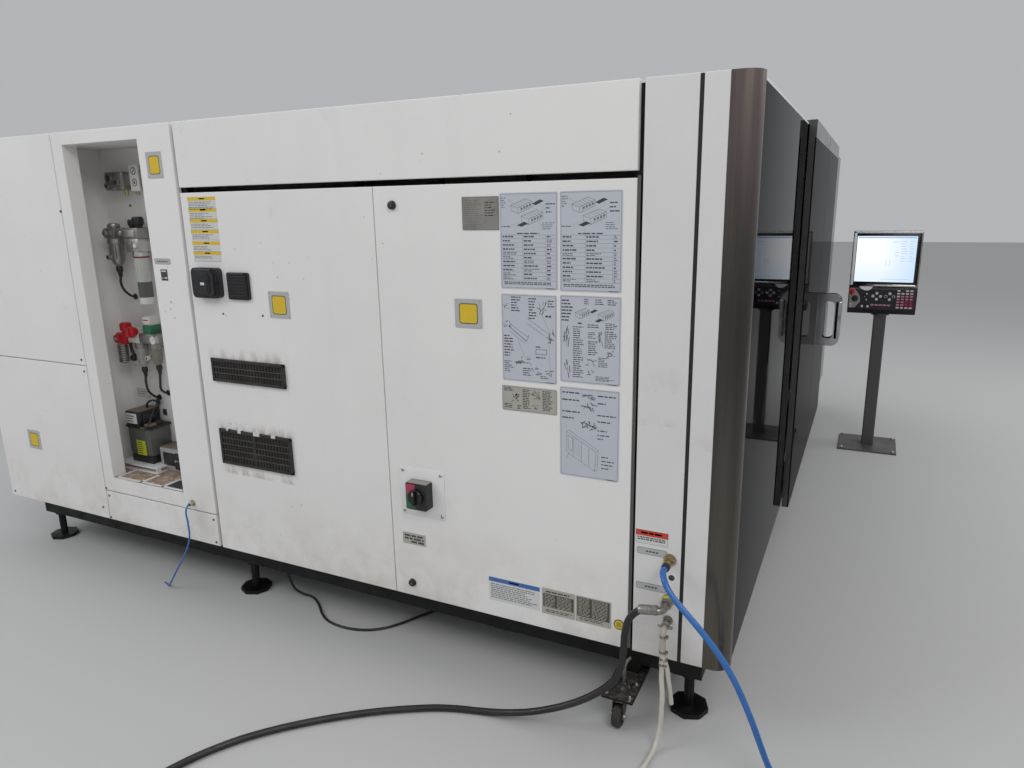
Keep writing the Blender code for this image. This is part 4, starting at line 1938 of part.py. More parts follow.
def build():
    clear_scene()
    paint = paints()
    white, black, steel = paint["white"], paint["black"], paint["steel"]
    base_frame(paint["frame"])
    enclosure_frame(paint["frame"])
    roof_panel(white)
    top_fascia(white)
    corner_column(steel)
    corner_panel(white)
    post_panel(white)
    niche_housing(white)
    kick_panel(white)
    side_panel_lower(white)
    side_panel_upper(white)
    back_wall(white)
    far_end_wall(white)
    cabinet_housing(paint["grey"])
    door_right = [cabinet_door_right(white), switch_housing(black)]
    door_left = [
        cabinet_door_left(white),
        vent("vent_upper", VENT_UPPER_HEIGHT, VENT_UPPER_Z, black),
        vent("vent_lower", VENT_LOWER_HEIGHT, VENT_LOWER_Z, black),
        outlet_box(black),
        port_cover(black),
    ]
    right_axis = pivot("door_right_axis", (X_WALL, RIGHT_DOOR_Y, FLOOR_GAP), door_right)
    pivot("door_left_axis", (X_WALL, CABINET_END_Y, FLOOR_GAP), door_left)
    knob_place = (X_WALL - SWITCH_DEPTH, SWITCH_Y, SWITCH_Z)
    pivot("switch_axis", knob_place, [switch_knob(black)], right_axis)
    valve_colour = paint["iron"]
    air_block("valve_block", VALVE_BLOCK, VALVE_BLOCK_SHARES, valve_colour)
    air_block("filter_unit", FILTER_UNIT, FILTER_UNIT_SHARES, paint["grey"])
    air_block("regulator_unit", REGULATOR, REGULATOR_SHARES, paint["aluminium"])
    shutoff, place = shutoff_knob(paint["red"])
    pivot("shutoff_axis", place, [shutoff])
    niche_shelf(white)
    lubrication_pump(black)
    gas_manifold(paint["brass"])
    front_header(white)
    glass = paint["glass"]
    front_glass("front_glass_left", X_WALL + COLUMN_RETURN, LEAF_X + LEAF_OVERLAP, glass)
    front_glass("front_glass_right", LEAF_END_X - LEAF_OVERLAP, X_FAR - COLUMN_RETURN, glass)
    for side, x, handle_x in (
        ("left", LEAF_X, LEAF_X + LEAF_WIDTH - HANDLE_FROM_EDGE),
        ("right", LEAF_RIGHT_X, LEAF_RIGHT_X + HANDLE_FROM_EDGE),
    ):
        pieces = [
            leaf_frame(f"leaf_frame_{side}", x, paint["aluminium"]),
            leaf_glass(f"leaf_glass_{side}", x, glass),
            leaf_handle(f"leaf_handle_{side}", handle_x, steel),
        ]
        pivot(f"leaf_{side}_slide", (x, Y_FRONT, GLASS_TOP), pieces)
    machine_bed(paint["iron"])
    pivot("table_slide", (TABLE_X, 0, TABLE_LOW), [drawer_table(paint["iron"])])
    gantry = pivot("gantry_slide", (GANTRY_X, 0, RAIL_TOP), [gantry_beam(paint["iron"])])
    place = (GANTRY_FACE_X, CARRIAGE_Y, GANTRY_LOW)
    slide = pivot("carriage_slide", place, [carriage(white)], gantry)
    back, tip = head_place()
    pivot("head_slide", (back, CARRIAGE_Y, tip), [cutting_head(black)], slide)
    swivel = pivot("caster_swivel", (CASTER_SWIVEL_X, CASTER_Y, CASTER_PLATE_Z), [caster_fork(steel)])
    place = (CASTER_SWIVEL_X - CASTER_TRAIL, CASTER_Y, CASTER_RADIUS + GAP)
    pivot("caster_axle", place, [caster_wheel(paint["rubber"])], swivel)
    console_stand(paint["grey"])
    place = (CONSOLE_FRONT_X + CONSOLE_THICK / 2, CONSOLE_Y, CONSOLE_LOW)
    pieces = [console_body(paint["grey"]), console_screen(paint["screen"])]
    console = pivot("console_turn", place, pieces)
    pivot("estop_slide", estop_place(), [estop_button(paint["red"])], console)
    pivot("dial_axis", dial_place(), [mode_dial(black)], console)
    tube("blue_tube", led(BLUE_TUBE_ROUTE, TUBE_SHIFT), BLUE_TUBE, paint["blue"])
    tube("floor_cable", FLOOR_CABLE_ROUTE, FLOOR_CABLE, paint["rubber"])
    for name, typed, diameter, turns, side, colour in (
        ("nitrogen", NITROGEN_ROUTE, NITROGEN_HOSE, NITROGEN_TURNS, 1, "rubber"),
        ("oxygen", OXYGEN_ROUTE, OXYGEN_HOSE, OXYGEN_TURNS, 1, "blue"),
        ("drain", DRAIN_ROUTE, DRAIN_HOSE, DRAIN_TURNS, 1, "pale"),
    ):
        route = led(typed, GAS_SHIFT)
        tube(f"{name}_hose", route, diameter, paint[colour])
        coupled = name != "drain"
        coil(f"{name}_coil", route, diameter, turns, side, coupled, paint[colour])
        if coupled:
            coupling(f"{name}_coupling", route, diameter, turns, side, paint["brass"])


build()
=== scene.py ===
"""Looks of the fiber laser cutting machine: materials, plates, fittings, hoses and console details."""

import math
import random

import bmesh
import bpy
from mathutils import Matrix, Vector


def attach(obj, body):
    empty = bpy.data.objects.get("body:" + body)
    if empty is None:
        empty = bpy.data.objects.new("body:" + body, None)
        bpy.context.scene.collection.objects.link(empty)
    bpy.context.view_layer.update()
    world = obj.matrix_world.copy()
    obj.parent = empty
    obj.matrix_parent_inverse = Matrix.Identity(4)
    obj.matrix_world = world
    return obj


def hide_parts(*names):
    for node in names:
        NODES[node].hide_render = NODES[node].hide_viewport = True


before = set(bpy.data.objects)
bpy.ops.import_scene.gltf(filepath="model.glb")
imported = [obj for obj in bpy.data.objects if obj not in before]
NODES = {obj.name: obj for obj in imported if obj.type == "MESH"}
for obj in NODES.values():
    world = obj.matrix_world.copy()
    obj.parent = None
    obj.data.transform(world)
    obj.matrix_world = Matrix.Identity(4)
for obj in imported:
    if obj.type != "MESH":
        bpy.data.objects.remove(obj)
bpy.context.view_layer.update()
chance = random.Random(7)

# Camera and studio

EYE = Vector((-4.449, -2.201, 1.757))
LOOK = Vector((0.8716, 0.4287, -0.2379)).normalized()
LOOK_RIGHT = Vector((0.4373, -0.8992, -0.0178)).normalized()
LOOK_UP = LOOK_RIGHT.cross(LOOK).normalized()
SENSOR, LENS = 36, 25.68


def camera():
    data = bpy.data.cameras.new("camera")
    data.sensor_width = SENSOR
    data.lens = LENS
    data.clip_end = 200
    obj = bpy.data.objects.new("camera", data)
    turn = Matrix((LOOK_RIGHT, LOOK_UP, -LOOK)).transposed().to_4x4()
    obj.matrix_world = Matrix.Translation(EYE) @ turn
    bpy.context.scene.collection.objects.link(obj)
    bpy.context.scene.camera = obj


def lamp(name, place, target, size, power, colour=(1, 1, 1)):
    data = bpy.data.lights.new(name, "AREA")
    data.shape = "RECTANGLE"
    data.size, data.size_y = size
    data.energy = power
    data.color = colour
    obj = bpy.data.objects.new(name, data)
    obj.location = place
    obj.rotation_euler = (Vector(target) - Vector(place)).to_track_quat("-Z", "Y").to_euler()
    bpy.context.scene.collection.objects.link(obj)


camera()
scene = bpy.context.scene
scene.view_settings.view_transform = "Standard"
world = bpy.data.worlds.new("studio")
scene.world = world
world.use_nodes = True
background = world.node_tree.nodes["Background"]
background.inputs["Color"].default_value = (0.5, 0.51, 0.53, 1)
background.inputs["Strength"].default_value = 0.9
lamp("key", (-5.6, -4.4, 5.2), (-2.2, -0.6, 0.9), (3.2, 2.2), 105, (1.0, 0.985, 0.96))
lamp("fill", (-5.8, 3.4, 5.0), (-2.2, 0.4, 0.9), (3.0, 2.2), 88, (0.95, 0.975, 1.0))
lamp("top", (0.2, 0.0, 6.2), (0.2, 0.0, 0.0), (5.0, 4.0), 90)
lamp("front", (2.4, -6.4, 4.6), (1.2, -1.9, 0.9), (3.4, 2.2), 80)


# Paints

class Paint:
    """A Principled shader with procedural variation in object coordinates, which are metres in the shared frame."""

    def __init__(self, name, colour, rough, metal=0.0):
        self.mat = bpy.data.materials.new(name)
        self.mat.use_nodes = True
        self.nodes = self.mat.node_tree.nodes
        self.links = self.mat.node_tree.links
        self.shader = self.nodes["Principled BSDF"]
        self.colour = (*colour, 1)
        self.shader.inputs["Base Color"].default_value = self.colour
        self.shader.inputs["Roughness"].default_value = rough
        self.shader.inputs["Metallic"].default_value = metal
        self.mat.diffuse_color = self.colour
        self.base = None
        self.place = self.nodes.new("ShaderNodeTexCoord").outputs["Object"]
        self.split = None

    def axis(self, letter):
        if self.split is None:
            self.split = self.nodes.new("ShaderNodeSeparateXYZ")
            self.links.new(self.place, self.split.inputs[0])
        return self.split.outputs[letter]

    def noise(self, scale, detail=3.0, rough=0.55):
        node = self.nodes.new("ShaderNodeTexNoise")
        node.inputs["Detail"].default_value = detail
        node.inputs["Roughness"].default_value = rough
        if isinstance(scale, tuple):
            self.stretch(node, scale)
        else:
            self.links.new(self.place, node.inputs["Vector"])
            node.inputs["Scale"].default_value = scale
        return node.outputs["Fac"]

    def cells(self, scale):
        node = self.nodes.new("ShaderNodeTexVoronoi")
        self.stretch(node, scale)
        return node.outputs["Distance"]

    def stretch(self, node, scale):
        """Feeds a texture with the place, scaled by a factor for each axis."""
        shape = self.nodes.new("ShaderNodeMapping")
        shape.inputs["Scale"].default_value = scale
        self.links.new(self.place, shape.inputs["Vector"])
        self.links.new(shape.outputs[0], node.inputs["Vector"])
        node.inputs["Scale"].default_value = 1.0

    def span(self, source, low, high, to_low=0.0, to_high=1.0):
        node = self.nodes.new("ShaderNodeMapRange")
        self.links.new(source, node.inputs["Value"])
        node.inputs["From Min"].default_value = low
        node.inputs["From Max"].default_value = high
        node.inputs["To Min"].default_value = to_low
        node.inputs["To Max"].default_value = to_high
        return node.outputs["Result"]

    def both(self, a, b):
        node = self.nodes.new("ShaderNodeMath")
        node.operation = "MULTIPLY"
        self.links.new(a, node.inputs[0])
        self.links.new(b, node.inputs[1])
        return node.outputs[0]

    def tint(self, share, colour):
        node = self.nodes.new("ShaderNodeMix")
        node.data_type = "RGBA"
        self.links.new(share, node.inputs["Factor"])
        if self.base is None:
            node.inputs[6].default_value = self.colour
        else:
            self.links.new(self.base, node.inputs[6])
        node.inputs[7].default_value = (*colour, 1)
        self.base = node.outputs[2]
        self.links.new(self.base, self.shader.inputs["Base Color"])

    def roughen(self, source, low, high, to_low, to_high):
        self.links.new(self.span(source, low, high, to_low, to_high), self.shader.inputs["Roughness"])

    def bump(self, source, strength, distance):
        node = self.nodes.new("ShaderNodeBump")
        node.inputs["Strength"].default_value = strength
        node.inputs["Distance"].default_value = distance
        self.links.new(source, node.inputs["Height"])
        self.links.new(node.outputs[0], self.shader.inputs["Normal"])


def powder(name, colour, dirt=1.0, low=0.275, soot=()):
    """Powder coat: orange peel, faint smudges and runs, small dark nicks, brownish scuffs low down."""
    p = Paint(name, colour, 0.46)
    grey = tuple(c * 0.86 for c in colour)
    brown = (colour[0] * 0.66, colour[1] * 0.6, colour[2] * 0.52)
    p.tint(p.span(p.noise(1.3, 5.0, 0.6), 0.42, 0.8, 0.0, 0.55 * dirt), grey)
    p.tint(p.span(p.noise((9.0, 9.0, 0.9), 4.0), 0.6, 0.84, 0.0, 0.25 * dirt), tuple(c * 0.84 for c in colour))
    low_part = p.span(p.axis("Z"), low + 0.34, low, 0.0, 1.0)
    p.tint(p.both(low_part, p.span(p.noise(5.0, 6.0, 0.65), 0.4, 0.72, 0.0, 0.75 * dirt)), brown)
    scuff = p.both(p.span(p.noise((3.0, 5.0, 4.0), 7.0, 0.7), 0.63, 0.72),
        p.span(p.noise(60.0, 2.0), 0.46, 0.66, 0.0, 0.26 * dirt))
    p.tint(scuff, (0.33, 0.29, 0.25))
    nick = p.both(p.span(p.cells((26.0, 22.0, 17.0)), 0.075, 0.045),
        p.span(p.noise(2.3, 1.0), 0.57, 0.62, 0.0, 0.6 * dirt))
    p.tint(nick, (0.22, 0.2, 0.18))
    for y0, y1, z, reach, share in soot:
        across = p.both(p.span(p.axis("Y"), y0 - 0.03, y0 + 0.02), p.span(p.axis("Y"), y1 + 0.03, y1 - 0.02))
        up = p.both(p.span(p.axis("Z"), z + reach, z), p.span(p.axis("Z"), z - 0.006, z))
        p.tint(p.both(p.both(across, up), p.span(p.noise((9.0, 24.0, 11.0), 4.0, 0.6), 0.44, 0.62, 0.0, share)),
            (0.42, 0.33, 0.3))
    p.roughen(p.noise(7.0, 4.0), 0.3, 0.7, 0.38, 0.56)
    p.bump(p.noise(420.0, 2.0), 0.06, 0.0006)
    return p.mat


def plastic(name, colour, rough=0.5, grain=900.0, wear=0.25):
    p = Paint(name, colour, rough)
    pale = tuple(min(1.0, c + 0.05) for c in colour)
    p.tint(p.span(p.noise(18.0, 5.0, 0.65), 0.5, 0.78, 0.0, wear), pale)
    p.roughen(p.noise(30.0, 3.0), 0.3, 0.7, rough * 0.8, min(1.0, rough * 1.2))
    p.bump(p.noise(grain, 2.0), 0.12, 0.0004)
    return p.mat


def metal(name, colour, rough=0.3, brush=None, stain=None, share=0.4):
    p = Paint(name, colour, rough, 1.0)
    dark = stain or tuple(c * 0.55 for c in colour)
    if brush:
        p.tint(p.span(p.noise(brush, 3.0, 0.7), 0.3, 0.75, 0.0, 0.4), tuple(c * 0.78 for c in colour))
        p.bump(p.noise(brush, 2.0), 0.05, 0.0005)
    else:
        p.bump(p.noise(160.0, 3.0), 0.06, 0.0005)
    p.tint(p.span(p.noise(6.0, 5.0, 0.65), 0.48, 0.8, 0.0, share), dark)
    p.roughen(p.noise(14.0, 4.0), 0.3, 0.7, rough * 0.75, min(1.0, rough * 1.35))
    return p.mat


def rubber(name, colour, rough, grime, share=0.5):
    p = Paint(name, colour, rough)
    p.tint(p.span(p.noise(9.0, 5.0, 0.65), 0.42, 0.78, 0.0, share), grime)
    p.tint(p.span(p.noise(140.0, 3.0, 0.7), 0.6, 0.75, 0.0, 0.35), tuple(c * 0.6 + 0.02 for c in grime))
    p.roughen(p.noise(25.0, 3.0), 0.3, 0.7, rough * 0.7, min(1.0, rough * 1.3))
    p.bump(p.noise(300.0, 3.0), 0.15, 0.0006)
    return p.mat


def print_paint(name, colour):
    p = Paint(name, colour, 0.45)
    p.tint(p.span(p.noise(40.0, 4.0, 0.7), 0.45, 0.8, 0.0, 0.3), tuple(c * 0.8 + 0.02 for c in colour))
    return p.mat


def column_steel_painted_reflections():
    # Painted reflection: the dark base colour stands for the dark room reflected in the steel.
    p = Paint("column_brushed_steel_painted_reflections", (0.105, 0.096, 0.088), 0.3, 1.0)
    # Painted reflection: lighter and beige towards the bottom.
    p.tint(p.span(p.axis("Z"), 1.25, 0.35, 0.0, 0.75), (0.185, 0.17, 0.142))
    # Painted reflection: reddish towards the top.
    p.tint(p.span(p.axis("Z"), 1.45, 2.1, 0.0, 0.8), (0.27, 0.215, 0.2))
    p.tint(p.span(p.noise((380.0, 380.0, 3.0), 3.0, 0.7), 0.3, 0.75, 0.0, 0.4), (0.055, 0.05, 0.045))
    p.tint(p.span(p.noise((26.0, 26.0, 0.8), 3.0), 0.5, 0.75, 0.0, 0.4), (0.05, 0.045, 0.04))
    p.roughen(p.noise((12.0, 12.0, 2.0), 4.0), 0.3, 0.7, 0.24, 0.4)
    p.bump(p.noise((500.0, 500.0, 4.0), 2.0), 0.05, 0.0005)
    return p.mat


def mirror_glass(name, edge, mirror=1.0):
    p = Paint(name, (0.016, 0.016, 0.017), 0.03, mirror)
    p.shader.inputs["Specular Tint"].default_value = (edge, edge, edge * 1.03, 1)
    if mirror < 1.0:
        p.shader.inputs["Specular IOR Level"].default_value = 0.0
    p.tint(p.span(p.noise(2.2, 4.0), 0.45, 0.8, 0.0, 0.5), (0.026, 0.023, 0.021))
    p.roughen(p.noise(5.0, 5.0, 0.7), 0.45, 0.75, 0.015, 0.07)
    return p.mat


WHITE = powder("white_powder_coat", (0.83, 0.815, 0.8))
VENT_SOOT = [(-0.142, 0.256, z, reach, 0.75) for z, reach in ((1.158, 0.05), (0.85, 0.045), (0.65, 0.044))]
WHITE_VENTED = powder("white_powder_coat_sooty", (0.83, 0.815, 0.8), soot=VENT_SOOT)
WHITE_CLEAN = powder("white_powder_coat_clean", (0.8, 0.79, 0.785), 0.4, -1.0)
COLUMN_PAINTED_REFLECTIONS = column_steel_painted_reflections()
GLASS = mirror_glass("dark_mirror_glass", 0.2)
LEAF_GLASS = mirror_glass("darker_leaf_glass", 0.0, 0.42)
FRAME = metal("dark_frame_paint", (0.035, 0.035, 0.036), 0.5, stain=(0.09, 0.075, 0.06))
BLACK = plastic("black_plastic", (0.014, 0.014, 0.016), 0.42)
SATIN_BLACK = plastic("satin_black", (0.009, 0.009, 0.01), 0.28, 1400.0, 0.1)
ALU = metal("anodised_aluminium", (0.62, 0.61, 0.59), 0.34, (500.0, 500.0, 6.0))
DARK_ALU = metal("dark_anodised_frame", (0.15, 0.145, 0.14), 0.22, (500.0, 500.0, 6.0))
HANDLE = metal("dark_chrome_handle", (0.42, 0.41, 0.42), 0.12, share=0.15)
WORN = metal("worn_fitting_steel", (0.33, 0.315, 0.29), 0.27)
STAND = powder("dark_grey_stand", (0.085, 0.082, 0.08), 0.8, -1.0)
POST_SMUDGES = ((-1.7, -1.62, 1.19, 0.09, 0.3), (-1.69, -1.6, 1.085, 0.035, 0.45), (-1.81, -1.77, 1.02, 0.06, 0.4))
# A darker copy of the white powder coat for the corner and post panels: painted shade for the less light they get.
# The smudges on it are dirt.
WHITE_POST_PAINTED_SHADE = powder("white_powder_coat_posts_painted_shade", (0.745, 0.732, 0.725), soot=POST_SMUDGES)
STEEL = metal("bright_steel", (0.58, 0.56, 0.53), 0.24)
POLISHED = metal("polished_steel", (0.66, 0.65, 0.63), 0.12, share=0.15)
ZINC = metal("zinc_plate", (0.42, 0.4, 0.36), 0.38, stain=(0.16, 0.13, 0.1), share=0.8)
BRASS = metal("brass", (0.52, 0.42, 0.21), 0.3, stain=(0.24, 0.2, 0.11))
IRON = powder("machine_grey_paint", (0.3, 0.32, 0.33), 0.9, -1.0)
GREY = powder("housing_grey_paint", (0.36, 0.36, 0.35), 0.6, -1.0)
CASTING = metal("grey_casting", (0.36, 0.35, 0.33), 0.45, stain=(0.17, 0.15, 0.13), share=0.7)
PALE_BODY = plastic("pale_grey_plastic", (0.58, 0.57, 0.54), 0.45)
BOWL = plastic("grey_bowl", (0.33, 0.325, 0.3), 0.34)
OLIVE = plastic("olive_grey_bowl", (0.22, 0.21, 0.165), 0.36)
CLEAR = plastic("milky_bowl", (0.5, 0.5, 0.47), 0.22)
SMOKE = plastic("smoky_tank", (0.1, 0.105, 0.095), 0.15)
RED = plastic("red_plastic", (0.44, 0.012, 0.022), 0.35)
RED_DARK = plastic("dark_red_plastic", (0.21, 0.006, 0.012), 0.4)
GREEN = plastic("green_plastic", (0.02, 0.14, 0.07), 0.45)
YELLOW = print_paint("yellow_field", (0.72, 0.5, 0.025))
LIME = print_paint("yellow_green_field", (0.5, 0.52, 0.02))
PLATE_GREY = print_paint("grey_plate", (0.46, 0.47, 0.46))
PLATE_BLUE = print_paint("blue_grey_plate", (0.532, 0.553, 0.614))
PLATE_WARM = print_paint("warm_grey_plate", (0.42, 0.41, 0.36))
PAPER = print_paint("white_label", (0.66, 0.66, 0.65))
INK = print_paint("dark_print", (0.045, 0.048, 0.055))
INK_SOFT = print_paint("grey_print", (0.17, 0.18, 0.2))
BLUE_FIELD = print_paint("blue_field", (0.055, 0.15, 0.42))
RED_FIELD = print_paint("red_field", (0.58, 0.055, 0.03))
BROWN_PLATE = print_paint("dark_brown_plate", (0.075, 0.062, 0.05))
HOSE_BLACK = rubber("black_hose", (0.013, 0.013, 0.014), 0.36, (0.045, 0.042, 0.038))
HOSE_BLUE = rubber("blue_hose", (0.03, 0.145, 0.44), 0.24, (0.05, 0.2, 0.52), 0.4)
HOSE_WHITE = rubber("milky_hose", (0.6, 0.57, 0.51), 0.36, (0.47, 0.42, 0.34))
HOSE_BRAID = rubber("stained_hose", (0.52, 0.47, 0.4), 0.45, (0.33, 0.24, 0.17))
TYRE = rubber("worn_tyre", (0.022, 0.021, 0.021), 0.6, (0.1, 0.085, 0.07), 0.8)
GREASY = metal("greasy_dark_steel", (0.085, 0.08, 0.075), 0.36, stain=(0.2, 0.16, 0.12), share=0.7)


def lit_bar():
    p = Paint("lit_screen_blue", (0.02, 0.02, 0.02), 0.15)
    p.shader.inputs["Emission Color"].default_value = (0.42, 0.62, 0.95, 1)
    p.shader.inputs["Emission Strength"].default_value = 0.8
    p.tint(p.span(p.noise(20.0, 2.0), 0.4, 0.7, 0.0, 0.3), (0.04, 0.04, 0.045))
    return p.mat


SCREEN_BLUE = lit_bar()

# Shapes


MM = 0.001
RIGHT, LEFT, UP, DOWN, OUT = (1, 0, 0), (-1, 0, 0), (0, 1, 0), (0, -1, 0), (0, 0, 1)
CREASE = math.radians(34)


class Build:
    """Collects shapes into one piece, in a local frame: s to the right, t up, o outward, in millimetres.

    A paint is given by its place in the list of the piece's paints."""

    def __init__(self, name, body, paints, at=((0, 0, 0), RIGHT, UP, OUT)):
        self.name, self.body, self.paints = name, body, paints
        origin, right, up, out = at
        self.origin, self.s, self.t, self.o = Vector(origin) * MM, Vector(right), Vector(up), Vector(out)
        self.bm = bmesh.new()

    def way(self, s, t, o):
        return self.s * s + self.t * t + self.o * o

    def verts(self, places):
        return [self.bm.verts.new(self.origin + self.way(*p) * MM) for p in places]

    def faces(self, rows, paint):
        made = []
        for row in rows:
            face = self.bm.faces.new(row)
            face.material_index = paint
            made.append(face)
        return made

    def block(self, low, high, paint=0, bevel=0.0):
        (a, b, c), (d, e, f) = low, high
        v = self.verts([(a, b, c), (d, b, c), (d, e, c), (a, e, c), (a, b, f), (d, b, f), (d, e, f), (a, e, f)])
        rows = ((0, 3, 2, 1), (4, 5, 6, 7), (0, 1, 5, 4), (1, 2, 6, 5), (2, 3, 7, 6), (3, 0, 4, 7))
        made = self.faces([[v[i] for i in row] for row in rows], paint)
        if bevel:
            edges = list(dict.fromkeys(edge for face in made for edge in face.edges))
            done = bmesh.ops.bevel(self.bm, geom=edges, offset=bevel * MM, segments=2, affect="EDGES", profile=0.5)
            for face in done["faces"]:
                face.material_index = paint

    def slab(self, points, o0, o1, paint=0):
        """A flat plate of any outline, given in turning order seen from outside."""
        n = len(points)
        low = self.verts([(s, t, o0) for s, t in points])
        high = self.verts([(s, t, o1) for s, t in points])
        sides = [[low[i], low[(i + 1) % n], high[(i + 1) % n], high[i]] for i in range(n)]
        self.faces([low[::-1], high, *sides], paint)

    def card(self, s0, t0, s1, t1, radius, o0, o1, paint=0):
        """A flat plate with rounded corners."""
        left, right, low, high = s0 + radius, s1 - radius, t0 + radius, t1 - radius
        points = []
        for quarter, (cs, ct) in enumerate(((right, high), (left, high), (left, low), (right, low))):
            for i in range(5):
                angle = math.pi / 2 * (quarter + i / 4)
                points.append((cs + radius * math.cos(angle), ct + radius * math.sin(angle)))
        self.slab(points, o0, o1, paint)

    def ring(self, middle, side, other, radius, sides):
        angles = [math.tau * i / sides for i in range(sides)]
        spokes = [side * math.cos(angle) + other * math.sin(angle) for angle in angles]
        return [self.bm.verts.new(middle + spoke * radius * MM) for spoke in spokes]

    def turned(self, profile, start=(0, 0, 0), paint=0, sides=20, axis=OUT):
        """A surface turned about an axis; the profile is (way along, radius) from end to end."""
        axis = self.way(*axis).normalized()
        side = axis.orthogonal().normalized()
        other = axis.cross(side)
        start = self.origin + self.way(*start) * MM
        rings = []
        for way, radius in profile:
            middle = start + axis * way * MM
            rings.append(self.ring(middle, side, other, radius,
                sides) if radius > 0 else [self.bm.verts.new(middle)])
        rows = []
        for a, b in zip(rings, rings[1:]):
            for i in range(sides):
                j = (i + 1) % sides
                row = [a[i % len(a)], a[j % len(a)], b[j % len(b)], b[i % len(b)]]
                rows.append([a[0], b[j], b[i]] if len(a) == 1 else [a[i], a[j], b[0]] if len(b) == 1 else row)
        bmesh.ops.recalc_face_normals(self.bm, faces=self.faces(rows, paint))

    def solid(self, profile, start=(0, 0, 0), paint=0, sides=20, axis=OUT):
        """A turned solid with flat ends."""
        self.turned([(profile[0][0], 0), *profile, (profile[-1][0], 0)], start, paint, sides, axis)

    def hexagon(self, start, radius, length, paint, axis=OUT):
        """A chamfered nut."""
        low, high, small = length * 0.12, length * 0.88, radius * 0.93
        self.solid([(0, small), (low, radius), (high, radius), (length, small)], start, paint, 6, axis)

    def screw(self, s, t, o, radius, paint):
        """A button-head screw with a socket."""
        rim, top, deep = radius * 0.25, radius * 0.7, radius * 0.3
        profile = [(-0.6, radius), (rim, radius), (radius * 0.6, radius * 0.72), (top, radius * 0.42),
            (deep, radius * 0.38)]
        self.solid(profile, (s, t, o), paint, 10)

    def pipe(self, points, radius, paint=0, sides=12):
        """A round tube along a smooth line through the points, closed at both ends."""
        line = smooth([self.origin + self.way(*p) * MM for p in points], radius * MM)
        rings = []
        side = (line[1] - line[0]).orthogonal().normalized()
        for i, middle in enumerate(line):
            ahead = (line[min(i + 1, len(line) - 1)] - line[max(i - 1, 0)]).normalized()
            side = (side - ahead * side.dot(ahead)).normalized()
            rings.append(self.ring(middle, side, ahead.cross(side), radius, sides))
        rows = []
        for a, b in zip(rings, rings[1:]):
            rows += [[a[k], a[(k + 1) % sides], b[(k + 1) % sides], b[k]] for k in range(sides)]
        self.faces([*rows, rings[0][::-1], rings[-1]], paint)

    def done(self, *replaced):
        mesh = bpy.data.meshes.new(self.name)
        self.bm.normal_update()
        for face in self.bm.faces:
            face.smooth = True
        for edge in self.bm.edges:
            if len(edge.link_faces) == 2:
                a, b = edge.link_faces
                edge.smooth = edge.calc_face_angle(0.0) < CREASE and a.material_index == b.material_index
        self.bm.to_mesh(mesh)
        self.bm.free()
        for paint in self.paints:
            mesh.materials.append(paint)
        obj = bpy.data.objects.new(self.name, mesh)
        bpy.context.scene.collection.objects.link(obj)
        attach(obj, self.body)
        if replaced:
            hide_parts(*replaced)
        return obj


def smooth(points, spacing):
    fine = []
    ends = [points[0], *points, points[-1]]
    for i in range(len(points) - 1):
        p0, p1, p2, p3 = ends[i : i + 4]
        for k in range(16):
            t = k / 16
            square = 2 * p0 - 5 * p1 + 4 * p2 - p3
            cube = 3 * p1 - p0 - 3 * p2 + p3
            fine.append(0.5 * (2 * p1 + (p2 - p0) * t + square * t * t + cube * t**3))
    fine.append(points[-1])
    total = sum((b - a).length for a, b in zip(fine, fine[1:]))
    count = max(2, round(total / spacing))
    kept, walked = [fine[0]], 0.0
    for a, b in zip(fine, fine[1:]):
        walked += (b - a).length
        if walked >= total * len(kept) / count and len(kept) < count:
            kept.append(b)
    return kept + [fine[-1]]


def facing(x):
    """Maker of local frames on a plane of one x that faces the camera: s runs to the right in the picture."""
    return lambda y=0, z=0: ((x, y, z), (0, -1, 0), (0, 0, 1), (-1, 0, 0))


wall, nook, desk, keypad = facing(-2300), facing(-2022.3), facing(1220), facing(1190)

# CAD nodes get their paints

CAD_PAINTS = {
    WHITE_POST_PAINTED_SHADE: "corner_panel post_panel",
    WHITE: "top_fascia niche_housing kick_panel side_panel_lower side_panel_upper back_wall far_end_wall "
        "cabinet_door_right",
    WHITE_VENTED: "cabinet_door_left",
    WHITE_CLEAN: "roof_panel niche_shelf carriage front_header",
    COLUMN_PAINTED_REFLECTIONS: "corner_column",
    GLASS: "front_glass_left front_glass_right",
    LEAF_GLASS: "leaf_glass_left leaf_glass_right",
    FRAME: "base_frame enclosure_frame",
    BLACK: "vent_upper vent_lower outlet_box port_cover switch_housing cutting_head lubrication_pump "
        "switch_knob mode_dial",
    ALU: "regulator_unit",
    DARK_ALU: "leaf_frame_left leaf_frame_right",
    HANDLE: "leaf_handle_left leaf_handle_right",
    IRON: "machine_bed drawer_table gantry_beam",
    CASTING: "valve_block filter_unit gas_manifold",
    GREY: "cabinet_housing",
    STAND: "console_stand",
    SATIN_BLACK: "console_body console_screen",
    RED: "shutoff_knob estop_button",
    GREASY: "caster_fork",
    TYRE: "caster_wheel",
    BRASS: "nitrogen_coupling oxygen_coupling",
    HOSE_BLACK: "nitrogen_hose nitrogen_coil floor_cable",
    HOSE_BLUE: "oxygen_hose oxygen_coil blue_tube",
    HOSE_WHITE: "drain_hose drain_coil",
}
for paint, names in CAD_PAINTS.items():
    for name in names.split():
        obj = NODES[name]
        if not obj.material_slots:
            obj.data.materials.append(paint)
        for place in obj.material_slots:
            place.material = paint


